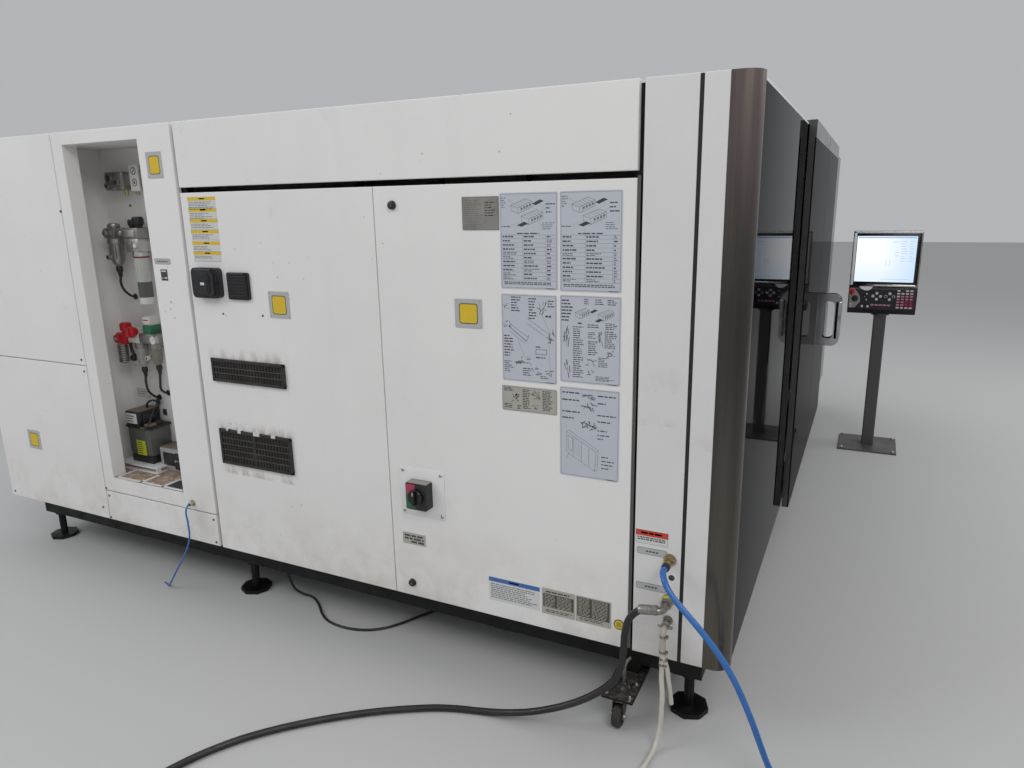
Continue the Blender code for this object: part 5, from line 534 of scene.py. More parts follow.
def soften(name, width):
    """Rounds a CAD node's sharp edges and smooths its round faces without touching its mesh."""
    obj = NODES[name]
    for face in obj.data.polygons:
        face.use_smooth = True
    weld = obj.modifiers.new("weld", "WELD")
    weld.merge_threshold = 0.00002
    if width:
        bevel = obj.modifiers.new("bevel", "BEVEL")
        bevel.width = width
        bevel.segments = 2
        bevel.limit_method = "ANGLE"
        bevel.angle_limit = math.radians(40)
        bevel.use_clamp_overlap = True
    split = obj.modifiers.new("split", "EDGE_SPLIT")
    split.split_angle = math.radians(36)


for name in ("leaf_handle_left", "leaf_handle_right", "caster_wheel", "nitrogen_coupling", "oxygen_coupling",
        "corner_column", "cutting_head", "back_wall"):
    soften(name, 0)

# Plates and labels on the end wall


class Plate(Build):
    """A thin plate on the end wall, laid out in shares of its width (to the right) and height (up)."""

    def __init__(self, name, body, box, paints, thick=1.2, radius=4):
        y0, y1, z0, z1 = box
        super().__init__(name, body, paints, wall(y1, z0))
        self.w, self.h, self.top = y1 - y0, z1 - z0, thick
        self.card(0, 0, self.w, self.h, radius, 0.1, thick)

    def ink(self, x0, y0, x1, y1, paint=1):
        self.block((x0 * self.w, y0 * self.h, self.top - 0.3), (x1 * self.w, y1 * self.h, self.top + 0.15), paint)

    def stroke(self, a, b, paint=1, width=0.9):
        a, b = Vector((a[0] * self.w, a[1] * self.h)), Vector((b[0] * self.w, b[1] * self.h))
        side = Vector((-(b - a).y, (b - a).x)).normalized() * width / 2
        self.slab([tuple(p) for p in (a - side, b - side, b + side, a + side)], self.top - 0.3, self.top + 0.1,
            paint)

    def field(self, points, paint=1):
        self.slab([(x * self.w, y * self.h) for x, y in points], self.top - 0.3, self.top + 0.12, paint)

    def frame(self, inset, width, paint=1):
        s, t = inset / self.w, inset / self.h
        a, b = width / self.w, width / self.h
        for y in (t, 1 - t - b):
            self.ink(s, y, 1 - s, y + b, paint)
        for x in (s, 1 - s - a):
            self.ink(x, t + b, x + a, 1 - t - b, paint)

    def rows(self, x0, y0, x1, y1, count, paint=1, tall=0.45, fill=(0.45, 1.0), word=0.09):
        """Rows of short bars of uneven length in place of lettering."""
        pitch = (y1 - y0) / count
        for i in range(count):
            low = y1 - pitch * (i + 0.5 + tall / 2)
            end = x0 + (x1 - x0) * chance.uniform(*fill)
            x = x0
            while x < end - 0.01:
                size = min(end - x, word * chance.uniform(0.5, 1.5))
                self.ink(x, low, x + size, low + pitch * tall, paint)
                x += size + word * 0.22

    def texts(self, places, tall=0.42, fill=(0.45, 1.0), word=0.09):
        for x0, y0, x1, y1, count in places:
            self.rows(x0, y0, x1, y1, count, 1, tall, fill, word)

    def drawing(self, cx, cy, w, h, far_table):
        """A long cabinet seen from above one corner, drawn in thin lines, with a dark table at one end."""
        def at(x, y):
            return cx + (x - 0.5) * w, cy + (y - 0.5) * h

        def between(p, q, share):
            return p[0] + (q[0] - p[0]) * share, p[1] + (q[1] - p[1]) * share

        a, b, c, d = at(0.06, 0.6), at(0.58, 0.98), at(0.8, 0.8), at(0.3, 0.4)
        e, f, g = at(0.31, 0.04), at(0.8, 0.46), at(0.07, 0.24)
        for p, q in ((a, b), (b, c), (c, d), (d, a), (d, e), (e, f), (f, c), (a, g), (g, e)):
            self.stroke(p, q)
        drop = (d[1] - e[1]) * 0.42
        for share in (0.2, 0.4, 0.6, 0.8):
            top, low = between(d, c, share), between(e, f, share)
            self.stroke(top, low, 1, 0.7)
            mid = between(top, low, 0.25)
            far = (mid[0] + (c[0] - d[0]) * 0.13, mid[1] + (c[1] - d[1]) * 0.13)
            self.field([mid, (mid[0], mid[1] - drop), (far[0], far[1] - drop), far], 2)
            self.stroke(between(a, b, share), top, 1, 0.6)
        if far_table:
            self.field([at(0.8, 0.66), at(0.92, 0.56), at(1.2, 0.82), at(1.06, 0.92)])
        else:
            self.field([at(-0.1, 0.02), at(0.06, -0.08), at(0.3, 0.12), at(0.16, 0.24)])

    def clutter(self, cx, cy, w, h, count, paint=1):
        """A small drawing of loose parts."""
        for _ in range(count):
            x, y = cx + chance.uniform(-0.5, 0.5) * w, cy + chance.uniform(-0.5, 0.5) * h
            a = chance.uniform(0, math.pi)
            r = chance.uniform(0.25, 0.6)
            dx, dy = math.cos(a) * w * r / 2, math.sin(a) * h * r / 2
            self.stroke((x - dx, y - dy), (x + dx, y + dy), paint, chance.uniform(0.8, 2.6))


def placard(name, box, paint=PLATE_BLUE, radius=6):
    return Plate(name, "door_right", box, [paint, INK, INK_SOFT], radius=radius)


def finish_placard(p):
    p.frame(3.5, 1.1, 2)
    p.ink(0.8, 0.008, 0.95, 0.016)
    p.done()


def table_placard(name, box, columns):
    p = placard(name, box)
    p.drawing(0.42, 0.86, 0.5, 0.16, True)
    p.drawing(0.6, 0.745, 0.5, 0.16, False)
    p.texts(((0.03, 0.84, 0.15, 0.96, 5), (0.03, 0.64, 0.2, 0.67, 1), (0.8, 0.78, 0.96, 0.9, 3),
             (0.74, 0.62, 0.97, 0.7, 4)), 0.3, word=0.05)
    for a, b in (((0.15, 0.93), (0.24, 0.9)), ((0.15, 0.87), (0.26, 0.85)), ((0.2, 0.66), (0.32, 0.7)),
                 ((0.8, 0.84), (0.72, 0.8)), ((0.74, 0.66), (0.66, 0.7))):
        p.stroke(a, b, 2, 0.6)
    p.rows(0.3, 0.575, 0.7, 0.592, 1, 1, 0.7, (0.95, 1.0))
    p.ink(0.03, 0.566, 0.97, 0.569, 2)
    for i in range(11):
        y = 0.55 - i * 0.0435
        p.ink(0.03, y - 0.022, 0.97, y - 0.0195, 2)
        for x0, x1 in zip(columns[:-1], columns[1:]):
            p.rows(x0 + 0.015, y - 0.017, x1 - 0.02, y + 0.018, chance.choice((1, 1, 2)), 1, 0.42, (0.35, 0.75),
                0.05)
    for x in columns[1:-1]:
        p.ink(x - 0.003, 0.09, x, 0.566, 2)
    p.rows(0.06, 0.045, 0.93, 0.08, 2, 1, 0.55, (0.93, 1.0), 0.05)
    finish_placard(p)


def parts_placard():
    p = placard("parts_placard", (-1309, -1111, 1183, 1475))
    p.texts(((0.18, 0.8, 0.36, 0.98, 6), (0.5, 0.72, 0.66, 0.97, 8), (0.84, 0.86, 0.97, 0.95, 3),
             (0.8, 0.74, 0.97, 0.79, 1), (0.04, 0.28, 0.22, 0.54, 8), (0.04, 0.1, 0.22, 0.24, 6),
             (0.38, 0.07, 0.58, 0.17, 4), (0.7, 0.05, 0.92, 0.09, 2), (0.62, 0.28, 0.82, 0.31, 1),
             (0.62, 0.4, 0.74, 0.43, 1)), word=0.06)
    p.clutter(0.09, 0.86, 0.09, 0.08, 7, 2)
    for place in ((0.74, 0.86, 0.13, 0.12, 12), (0.11, 0.66, 0.12, 0.07, 8), (0.9, 0.53, 0.14, 0.14, 12),
                  (0.4, 0.25, 0.28, 0.09, 12), (0.64, 0.13, 0.13, 0.08, 9), (0.88, 0.12, 0.15, 0.08, 10)):
        p.clutter(*place)
    for a, b, width in (((0.14, 0.63), (0.46, 0.47), 2.2), ((0.16, 0.66), (0.5, 0.51), 1),
            ((0.14, 0.58), (0.44, 0.44), 1),
                        ((0.46, 0.68), (0.86, 0.51), 1), ((0.48, 0.73), (0.88, 0.56), 1), ((0.46, 0.47),
                            (0.5, 0.55), 1),
                        ((0.3, 0.48), (0.42, 0.28), 0.6), ((0.72, 0.8), (0.88, 0.58), 0.6), ((0.86, 0.44),
                            (0.88, 0.16), 0.5)):
        p.stroke(a, b, 1, width)
    for box in ((0.62, 0.33, 0.82, 0.335), (0.62, 0.385, 0.82, 0.39), (0.62, 0.33, 0.627, 0.39),
            (0.813, 0.33, 0.82, 0.39)):
        p.ink(*box)
    finish_placard(p)


def text_placard():
    p = placard("text_placard", (-1523, -1320, 1196, 1478))
    p.drawing(0.4, 0.8, 0.32, 0.13, True)
    p.drawing(0.78, 0.79, 0.34, 0.14, False)
    p.texts(((0.03, 0.7, 0.22, 0.96, 7), (0.4, 0.9, 0.52, 0.97, 3), (0.58, 0.9, 0.74, 0.97, 3),
             (0.78, 0.9, 0.96, 0.97, 3), (0.3, 0.67, 0.4, 0.71, 1), (0.46, 0.64, 0.66, 0.69, 2),
             (0.75, 0.63, 0.96, 0.71, 4), (0.22, 0.06, 0.4, 0.66, 24), (0.74, 0.42, 0.95, 0.62, 9),
             (0.47, 0.52, 0.6, 0.6, 4), (0.47, 0.33, 0.64, 0.5, 7), (0.64, 0.2, 0.8, 0.32, 6),
             (0.6, 0.04, 0.96, 0.1, 4), (0.46, 0.1, 0.54, 0.12, 1)), 0.42, (0.6, 1.0), 0.05)
    for place in ((0.1, 0.55, 0.1, 0.2, 14), (0.66, 0.52, 0.1, 0.16, 10), (0.84, 0.36, 0.16, 0.08, 9),
                  (0.52, 0.25, 0.14, 0.07, 7), (0.13, 0.16, 0.1, 0.16, 8), (0.5, 0.14, 0.13, 0.05, 6)):
        p.clutter(*place)
    finish_placard(p)


def small_placard():
    p = placard("small_placard", (-1309, -1107, 1078, 1165), PLATE_WARM, 5)
    p.texts(((0.04, 0.78, 0.22, 0.95, 3), (0.38, 0.12, 0.52, 0.92, 12), (0.74, 0.12, 0.93, 0.92, 13),
             (0.04, 0.1, 0.22, 0.3, 3), (0.28, 0.08, 0.36, 0.26, 3)), 0.5, (0.7, 1.0), 0.06)
    for place in ((0.23, 0.55, 0.16, 0.3, 12), (0.62, 0.7, 0.13, 0.3, 14), (0.62, 0.24, 0.1, 0.16, 7)):
        p.clutter(*place)
    p.frame(3, 1, 2)
    p.done()


def fittings_placard():
    p = placard("fittings_placard", (-1523, -1319, 875, 1180))
    for y, x1, other in ((0.94, 0.36, 0.95), (0.86, 0.34, 0.78), (0.73, 0.34, 0.95), (0.66, 0.24, 0.86)):
        p.rows(0.04, y - 0.012, x1, y + 0.012, 1, 1, 0.6, (0.95, 1.0), 0.07)
        p.rows(0.64, y - 0.022, other, y, 1, 1, 0.6, (0.95, 1.0), 0.07)
    for y, x1 in ((0.55, 0.8), (0.5, 0.86), (0.46, 0.74), (0.26, 0.84), (0.215, 0.93), (0.175, 0.93),
            (0.135, 0.86)):
        p.rows(0.64 if y > 0.4 else 0.71, y - 0.008, x1, y + 0.008, 1, 1, 0.7, (0.95, 1.0), 0.06)
    for place in ((0.49, 0.91, 0.2, 0.06, 16), (0.49, 0.8, 0.2, 0.08, 18), (0.5, 0.59, 0.24, 0.08, 20)):
        p.clutter(*place)
    for a, b in (((0.11, 0.5), (0.62, 0.31)), ((0.11, 0.5), (0.12, 0.27)), ((0.12, 0.27), (0.6, 0.09)),
                 ((0.6, 0.09), (0.62, 0.31)), ((0.62, 0.31), (0.66, 0.33)), ((0.66, 0.33), (0.64, 0.1)),
                 ((0.16, 0.52), (0.66, 0.33)), ((0.11, 0.5), (0.16, 0.52)), ((0.24, 0.45), (0.24, 0.23)),
                 ((0.37, 0.4), (0.37, 0.18)), ((0.14, 0.46), (0.22, 0.43)), ((0.14, 0.46), (0.15, 0.31)),
                 ((0.15, 0.31), (0.22, 0.28)), ((0.22, 0.43), (0.22, 0.28)), ((0.5, 0.34), (0.5, 0.14)),
                 ((0.6, 0.09), (0.64, 0.1)), ((0.11, 0.19), (0.16, 0.27))):
        p.stroke(a, b)
    for i in range(7):
        p.stroke((0.255, 0.43 - 0.028 * i), (0.355, 0.39 - 0.028 * i), 2, 0.5)
    finish_placard(p)


def sign(name, body, box):
    """A grey plate with a plain yellow field in a dark border and four small rivets."""
    p = Plate(name, body, box, [PLATE_GREY, YELLOW, INK, STEEL], 1.4)
    x0, x1, y0, y1 = p.w * 0.16, p.w * 0.84, p.h * 0.15, p.h * 0.85
    p.card(x0, y0, x1, y1, 10, 1.1, 1.6, 2)
    p.card(x0 + 3, y0 + 3, x1 - 3, y1 - 3, 8, 1.4, 1.8, 1)
    for x in (8, p.w - 8):
        for y in (8, p.h - 8):
            p.solid([(0, 2.1), (0.6, 1.9), (0.9, 1.0)], (x, y, 1.2), 3, 10)
    p.done()


table_placard("sheet_placard_left", (-1313, -1112, 1492, 1795), (0.03, 0.4, 0.8, 0.97))
table_placard("sheet_placard_right", (-1522, -1320, 1490, 1796), (0.03, 0.42, 0.86, 0.97))
parts_placard()
text_placard()
small_placard()
fittings_placard()
sign("right_door_sign", "door_right", (-1038, -932, 1352, 1452))
sign("left_door_sign", "door_left", (-195, -90, 1343, 1448))
sign("niche_sign", "enclosure", (411, 502, 1889, 1993))

label = Plate("bar_label", "door_left", (139, 293, 1556, 1811), [PAPER, INK_SOFT, YELLOW, INK], 0.5, 2)
for i, (low, rows) in enumerate(((0.945, 5), (0.775, 4), (0.61, 3), (0.445, 3), (0.265, 3), (0.11, 2))):
    label.ink(0.0, low, 1.0, low + 0.052, 2)
    label.ink(0.42, low + 0.016, 0.62, low + 0.036, 3)
    label.rows(0.04, low - 0.012 - 0.026 * rows, 0.92, low - 0.012, rows, 1, 0.42, (0.5, 1.0), 0.1)
    label.ink(0.0, low - 0.105, 1.0, low - 0.102, 1)
label.done()

label = Plate("nameplate", "door_right", (-1109, -973, 1679, 1786), [ZINC, INK, INK_SOFT], 1.2, 2)
label.rows(0.06, 0.08, 0.6, 0.92, 13, 2, 0.25, (0.6, 1.0), 0.1)
label.rows(0.62, 0.4, 0.96, 0.86, 6, 1, 0.4, (0.4, 0.9), 0.1)
label.frame(2, 1, 2)
label.done()

label = Plate("model_plate", "door_right", (-766, -663, 495, 542), [PLATE_WARM, INK], 1, 3)
for x0, low, x1 in ((0.08, 0.66, 0.9), (0.08, 0.4, 0.92), (0.36, 0.14, 0.92)):
    label.rows(x0, low, x1, low + 0.18, 1, 1, 0.9, (0.97, 1.0), 0.22)
label.done()

label = Plate("notice_label", "door_right", (-1239, -1035, 340, 433), [PAPER, INK_SOFT, BLUE_FIELD], 0.5, 2)
label.ink(0.0, 0.82, 1.0, 1.0, 2)
label.ink(0.4, 0.88, 0.6, 0.94, 0)
label.rows(0.04, 0.1, 0.95, 0.76, 8, 1, 0.45, (0.7, 1.0), 0.07)
label.done()

for name, box, full in (("rating_plate_left", (-1374, -1248, 337, 437), False),
        ("rating_plate_right", (-1506, -1377, 337, 437), True)):
    label = Plate(name, "door_right", box, [PLATE_WARM, BROWN_PLATE, PLATE_WARM, INK], 1.2, 3)
    label.ink(0.04, 0.28 if not full else 0.22, 0.96, 0.8 if not full else 0.96, 1)
    if not full:
        label.rows(0.12, 0.84, 0.9, 0.92, 1, 3, 0.7, (0.9, 1.0), 0.12)
    for row in range(9 if not full else 13):
        y = (0.74 if not full else 0.91) - row * 0.054
        for x0, x1 in ((0.08, 0.4), (0.46, 0.9)):
            x = x0
            while x < x1 - 0.03:
                size = min(x1 - x, chance.uniform(0.04, 0.13))
                low, high = (x * label.w, y * label.h, 1.2), ((x + size) * label.w, (y + 0.022) * label.h, 1.5)
                label.block(low, high, 2)
                x += size + 0.025
    label.rows(0.12, 0.08, 0.92, 0.2, 2, 3, 0.5, (0.8, 1.0), 0.12)
    label.done()

label = Build("round_label", "door_right", [YELLOW, INK, BROWN_PLATE], wall(-1534, 361))
label.solid([(0.1, 19), (0.7, 19), (0.8, 18.2)], paint=1, sides=32)
label.solid([(0.5, 15.8), (1.1, 15.8)], sides=32)
for t in (4, -1, -6):
    label.block((-8, t, 0.9), (8, t + 2.2, 1.3), 2)
label.done()

label = Plate("red_header_label", "enclosure", (-1692, -1585, 678, 726), [PAPER, INK_SOFT, RED_FIELD, INK], 0.5, 3)
label.ink(0.0, 0.58, 1.0, 1.0, 2)
label.rows(0.16, 0.7, 0.84, 0.9, 1, 3, 0.7, (0.95, 1.0), 0.16)
label.rows(0.06, 0.24, 0.95, 0.54, 2, 3, 0.6, (0.92, 1.0), 0.09)
label.frame(1, 0.7, 1)
label.done()


def rounded_label(name, box, start, bars):
    """A grey label with a dark rim and a row of small bars."""
    p = Plate(name, "enclosure", box, [INK_SOFT, PLATE_GREY, INK], 0.5, 6)
    p.card(1.6, 1.6, p.w - 1.6, p.h - 1.6, 5, 0.4, 0.8, 1)
    for s in range(start, start + 11 * bars, 11):
        p.block((s, 9.5, 0.6), (s + 8, 14.5, 1), 2)
    p.done()


rounded_label("upper_port_label", (-1690, -1590, 641, 665), 30, 4)
rounded_label("lower_port_label", (-1690, -1590, 515, 539), 30, 4)
rounded_label("niche_post_label", (435, 531, 1541, 1565), 16, 6)
label = Plate("black_sticker", "enclosure", (462, 502, 1473, 1520), [INK, PAPER], 0.5, 2)
label.ink(0.12, 0.78, 0.8, 0.9, 1)
label.ink(0.5, 0.18, 0.9, 0.3, 1)
label.ink(0.12, 0.18, 0.3, 0.26, 1)
label.done()

# Screws and small marks on the wall


def dots(name, body, places, radius):
    b = Build(name, body, [INK], wall())
    for y, z in places:
        b.screw(-y, z, 0, radius, 0)
    b.done()


dots("panel_screws", "enclosure", ((1125, 1082), (1118, 1026), (1102, 1766), (1140, 331), (1092, 440),
    (1090, 286), (1870, 1082), (1870, 1026), (1870, 2060), (1870, 300),
                                   (368, 402), (368, 292), (1078, 402)), 5.5)
dots("door_dots_left", "door_left", ((163, 1347), (-51, 1349)), 4.5)
marks = Build("niche_post_marks", "enclosure", [INK_SOFT], wall())
for y, z, a, b in ((463, 1382, 4, 10), (506, 1339, 3, 5), (453, 1315, 10, 3), (470, 1352, 2, 12)):
    marks.block((-y - a / 2, z - b / 2, 0), (-y + a / 2, z + b / 2, 0.4))
marks.done()

# Switch, locks, vents and sockets on the doors

# A lighter copy of the satin black for the socket lid: painted highlight for the light on the lid's rim.
LID_BLACK_PAINTED_HIGHLIGHT = plastic("satin_black_lid_painted_highlight", (0.03, 0.03, 0.032), 0.28)
PINK = plastic("faded_red_plastic", (0.42, 0.045, 0.1), 0.5)
DUSTY = plastic("dusty_black_plastic", (0.02, 0.018, 0.017), 0.55, 900.0, 0.6)
TOP_DUST = plastic("dust_covered_grey", (0.3, 0.28, 0.25), 0.7)
BROWN_DUST = powder("brown_dusty_top", (0.2, 0.155, 0.115), 1.2, -1.0)
GRILLE = plastic("dusty_grille_bars", (0.06, 0.055, 0.05), 0.6, 900.0, 0.8)
PALE_SILVER = plastic("pale_silver_paint", (0.86, 0.86, 0.88), 0.3)


def rusty_tray():
    p = Paint("rusty_tray", (0.4, 0.31, 0.23), 0.75)
    p.tint(p.span(p.noise(16.0, 6.0, 0.7), 0.4, 0.6, 0.0, 0.8), (0.17, 0.095, 0.06))
    p.tint(p.span(p.noise(45.0, 5.0, 0.7), 0.52, 0.66, 0.0, 0.8), (0.6, 0.56, 0.5))
    p.bump(p.noise(120.0, 4.0), 0.3, 0.0008)
    return p.mat


RUSTY = rusty_tray()

b = Build("main_switch_housing", "door_right", [WHITE_CLEAN, BLACK, TOP_DUST, PINK, GREEN, STEEL],
    wall(-763.5, 716.5))
b.block((-96.5, -94.5, 0.3), (96.5, 94.5, 3.3), 0, 0.9)
b.card(-45, -52, 45, 52, 6, 3, 45.8, 1)
b.block((-43, 48, 5), (43, 52.4, 44), 2, 0.8)
b.card(-44, 4, -4, 47, 4, 45, 46.1, 3)
b.card(-44, -47, -4, 3, 4, 45, 46.1, 4)
for s in (-83, 83):
    for t in (-81, 81):
        b.turned([(3, 0), (3, 6.8), (5.2, 6.6), (7.2, 4.5), (7.6, 0)], (s, t, 0), 5, 16)
        b.block((s - 0.8, t - 4.5, 6.8), (s + 0.8, t + 4.5, 7.8), 1)
b.done("switch_housing")
b = Build("main_switch_handle", "switch", [SATIN_BLACK, PAPER], wall(-763.5, 716.5))
b.solid([(46.3, 30.5), (47.5, 31), (56.2, 31), (58.2, 29)], (0, 0, 0), 0, 32)
b.block((-5.8, -27.2, 57.5), (5.8, 27.2, 70.3), 0, 1.6)
b.block((-1.4, 12, 70), (1.4, 26.2, 70.6), 1)
for i in range(12):
    a = math.tau * i / 12
    b.block((29.6 * math.cos(a) - 1.2, 29.6 * math.sin(a) - 1.2, 48),
        (29.6 * math.cos(a) + 1.2, 29.6 * math.sin(a) + 1.2, 57.5), 0)
b.done("switch_knob")

b = Build("door_locks", "door_right", [BLACK, STEEL], wall())
for z in (332, 1764):
    b.solid([(0.2, 15.8), (2.2, 15.8), (3.8, 14.2), (10, 14), (10.8, 12.8)], (697, z, 0), 0, 24)
    b.solid([(10.6, 7.4), (11.2, 7)], (697, z, 0), 0, 20)
    b.block((696.2, z - 4.5, 11), (697.8, z + 4.5, 11.5), 1)
b.done()


def grille(name, node, low_z, high, rows, halves):
    """A moulded grille: a stout frame, bars across and many fine upright bars over a dark filter."""
    b = Build(name, "door_left", [DUSTY, INK, STEEL, GRILLE], wall(256, low_z))
    wide, edge = 398, 13
    b.block((2, 2, 0.3), (wide - 2, high - 2, 3), 1)
    b.block((0, 0, 0.3), (wide, edge, 12), 0, 2.2)
    b.block((0, high - edge, 0.3), (wide, high, 12), 0, 2.2)
    b.block((0, 0, 0.3), (edge, high, 12), 0, 2.2)
    b.block((wide - edge, 0, 0.3), (wide, high, 12), 0, 2.2)
    pitch = (high - 2 * edge) / rows
    for i in range(1, rows):
        t = edge + pitch * i
        b.block((edge - 1, t - 1.8, 3), (wide - edge + 1, t + 1.8, 11), 3, 0.8)
    if halves:
        b.block((wide / 2 - 6, edge - 1, 3), (wide / 2 + 6, high - edge + 1, 11.4), 0, 1.2)
    count = 46
    for i in range(1, count):
        s = edge + (wide - 2 * edge) * i / count
        b.block((s - 1.4, edge - 1, 3), (s + 1.4, high - edge + 1, 9.2), 3 if i % 2 else 0)
    for s in (6.5, wide - 6.5):
        for t in (6.5, high - 6.5):
            b.screw(s, t, 12, 3, 1)
    b.done(node)


grille("upper_vent_grille", "vent_upper", 1059.5, 99, 3, False)
grille("lower_vent_grille", "vent_lower", 693.5, 157, 5, True)
b = Build("vent_clips", "door_left", [PAPER, BROWN_PLATE], wall(0, 850.5))
for y, wide, drop in ((205, 10, 4), (136, 18, 9), (40, 34, 10), (-52, 22, 8)):
    b.block((-y - wide / 2, -drop, 11.8), (-y + wide / 2, 4, 13.4), 0, 0.4)
    b.block((-y - wide / 2, 2.2, 0.2), (-y + wide / 2, 4, 13), 0)
for i in range(9):
    s, t = -215 + 6 * (i % 4) + chance.uniform(0, 4), 10 + 8 * (i // 3) + chance.uniform(0, 4)
    b.block((s, t, 0), (s + chance.uniform(2, 6), t + chance.uniform(1, 5), 0.3), i % 2)
b.done()

b = Build("outlet_socket_box", "door_left", [BLACK, LID_BLACK_PAINTED_HIGHLIGHT, PAPER, STEEL], wall(289, 1412.5))
b.card(0, 0, 144, 121, 18, 0.3, 29, 0)
b.card(3, 3, 141, 118, 17, 28.5, 32.5, 1)
b.card(12, 9, 132, 112, 18, 32, 40, 0)
b.card(42, 16, 112, 105, 24, 39, 42.5, 1)
b.card(46, 20, 108, 101, 21, 42, 44.5, 1)
b.card(51, 25, 103, 96, 18, 44, 46, 0)
b.solid([(0, 6.2), (92, 6.2)], (26, 112, 33), 0, 14, RIGHT)
b.card(66, 54, 88, 65, 2, 45.7, 46.3, 2)
b.block((66, 3, 30), (78, 10, 40), 0, 1)
for s in (11, 133):
    for t in (11, 110):
        b.screw(s, t, 32, 3.5, 0)
b.done("outlet_box")

b = Build("data_port_cover", "door_left", [BLACK, SATIN_BLACK], wall(112.5, 1409))
b.card(0, 0, 113, 108, 8, 0.3, 11, 0)
b.card(4, 4, 109, 104, 6, 10.5, 13, 1)
for i in range(7):
    t = 14 + i * 12.5
    b.block((10, t, 12.5), (103, t + 5.2, 15.8), 0, 1.4)
b.solid([(0, 4.2), (80, 4.2)], (16.5, 103.5, 11.5), 0, 12, RIGHT)
b.done("port_cover")

# Inside the service niche


def boot(b, s, t, o, paint, size=1.0):
    b.solid([(0, 13.5 * size), (10, 16 * size), (24, 15 * size), (30, 11 * size), (50, 8 * size)], (s, t, o),
        paint, 16, DOWN)


def hanging_bowl(b, s, t, o, radius, length, paint, collar):
    """A bowl with a collar, a stepped wall, a rounded end and its drain."""
    b.solid([(0, radius * 1.04), (10, radius * 1.1), (26, radius * 1.1), (30, radius)], (s, t, o), collar, 24, DOWN)
    b.solid([(28, radius * 0.98), (length * 0.74, radius * 0.9), (length * 0.88, radius * 0.74),
        (length * 0.96, radius * 0.42), (length, radius * 0.3)], (s, t, o), paint, 24, DOWN)
    for k in range(6):
        a = math.pi * (k + 0.5) / 6
        x, y = s + radius * 0.93 * math.cos(a), o + radius * 0.93 * math.sin(a)
        b.block((x - 2, t - length * 0.7, y - 2), (x + 2, t - 34, y + 2), paint, 0.6)


b = Build("air_valve_block", "enclosure", [CASTING, PALE_BODY, INK, STEEL, BRASS], nook(971, 1831))
b.block((-96, 26, 0), (34, 108, 70), 0, 7)
b.block((30, 44, 6), (102, 98, 62), 0, 6)
b.solid([(0, 22), (16, 22), (18, 27), (30, 27)], (40, 71, 34), 0, 22, RIGHT)
b.block((160, 30, 0), (250, 112, 82), 0, 6)
b.block((98, 22, 0), (176, 134, 78), 0, 5)
b.block((108, 18, 74), (168, 133.5, 90), 1, 3)
for t in (106, 56):
    b.solid([(89.5, 17), (90.5, 17)], (138, t, 0), 2, 24)
    b.solid([(90, 12.8), (90.9, 12.8)], (138, t, 0), 1, 24)
b.slab([(127, 98), (130, 95), (150, 114), (147, 117)], 90.3, 91.2, 2)
b.solid([(90.5, 6.5), (91.2, 6.5)], (138, 56, 0), 2, 16)
for s, t, r in ((-52, 80, 23), (-6, 60, 20), (-70, 46, 15)):
    b.solid([(60, r), (78, r), (82, r * 0.9), (82, r * 0.62), (74, r * 0.58)], (s, t, 0), 0, 22)
    b.solid([(74.2, r * 0.55), (75.2, r * 0.5)], (s, t, 0), 2, 18)
for s, t in ((-88, 100), (26, 100), (26, 34), (-28, 34), (236, 100), (236, 42)):
    b.screw(s, t, 70 if s < 150 else 82, 4.2, 3)
for s in (50, 125, 200):
    b.solid([(0, 9.5), (8, 10), (16, 8.5), (26, 8.5)], (s - 30, 28.5, 45), 4, 14, DOWN)
b.done("valve_block")

b = Build("air_filters", "enclosure", [CASTING, BOWL, BLACK, ALU, CLEAR, RED_DARK, PAPER, STEEL, SMOKE],
    nook(1090, 1300))
b.block((4, 338, 26), (82, 386, 104), 0, 9)
b.solid([(0, 26), (10, 29), (20, 26), (24, 16)], (38.5, 384, 66), 0, 24, UP)
b.solid([(100, 17), (106, 17), (110, 13)], (22, 362, 0), 0, 20)
b.solid([(100, 11), (106, 11)], (62, 364, 0), 3, 18)
b.block((4, 350, 0), (300, 374, 30), 0, 3)
hanging_bowl(b, 38.5, 340, 66, 34, 137, 0, 0)
b.solid([(92, 12.5), (108, 11.5)], (22, 250, 0), 3, 18)
b.solid([(107.5, 6.8), (109, 6.8)], (22, 250, 0), 2, 16)
boot(b, 38.5, 206, 66, 2, 1.0)
b.hexagon((80, 362, 66), 19, 16, 7, RIGHT)
b.solid([(0, 14.5), (40, 14.5)], (94, 362, 66), 7, 20, RIGHT)
b.hexagon((132, 362, 66), 21, 14, 0, RIGHT)
b.block((144, 336, 28), (252, 386, 108), 0, 6)
b.block((150, 276, 30), (246, 340, 106), 3, 10)
b.block((160, 346, 107), (232, 376, 112.5), 3, 3)
b.block((168, 290, 105), (206, 326, 110), 0, 3)
b.solid([(104, 14), (112, 14), (114, 12)], (228, 306, 0), 7, 24)
b.solid([(113.8, 11), (114.4, 11)], (228, 306, 0), 6, 24)
for s, r, high in ((172, 17, 40), (214, 24, 52)):
    b.solid([(0, r * 0.8), (high * 0.25, r * 0.8), (high * 0.32, r), (high * 0.9, r), (high, r * 0.86)],
        (s, 384, 68), 2, 28, UP)
    for k in range(14):
        a = math.tau * k / 14
        x, y = s + r * math.cos(a), 68 + r * math.sin(a)
        b.block((x - 1.2, 384 + high * 0.36, y - 1.2), (x + 1.2, 384 + high * 0.86, y + 1.2), 2)
b.solid([(0, 34), (16, 37), (22, 37)], (206, 278, 68), 3, 28, DOWN)
b.solid([(21, 36.2), (29, 35.5)], (206, 278, 68), 5, 28, DOWN)
b.solid([(28, 33.5), (142, 31.5)], (206, 278, 68), 4, 28, DOWN)
b.solid([(141, 32.2), (215, 31.5)], (206, 278, 68), 8, 28, DOWN)
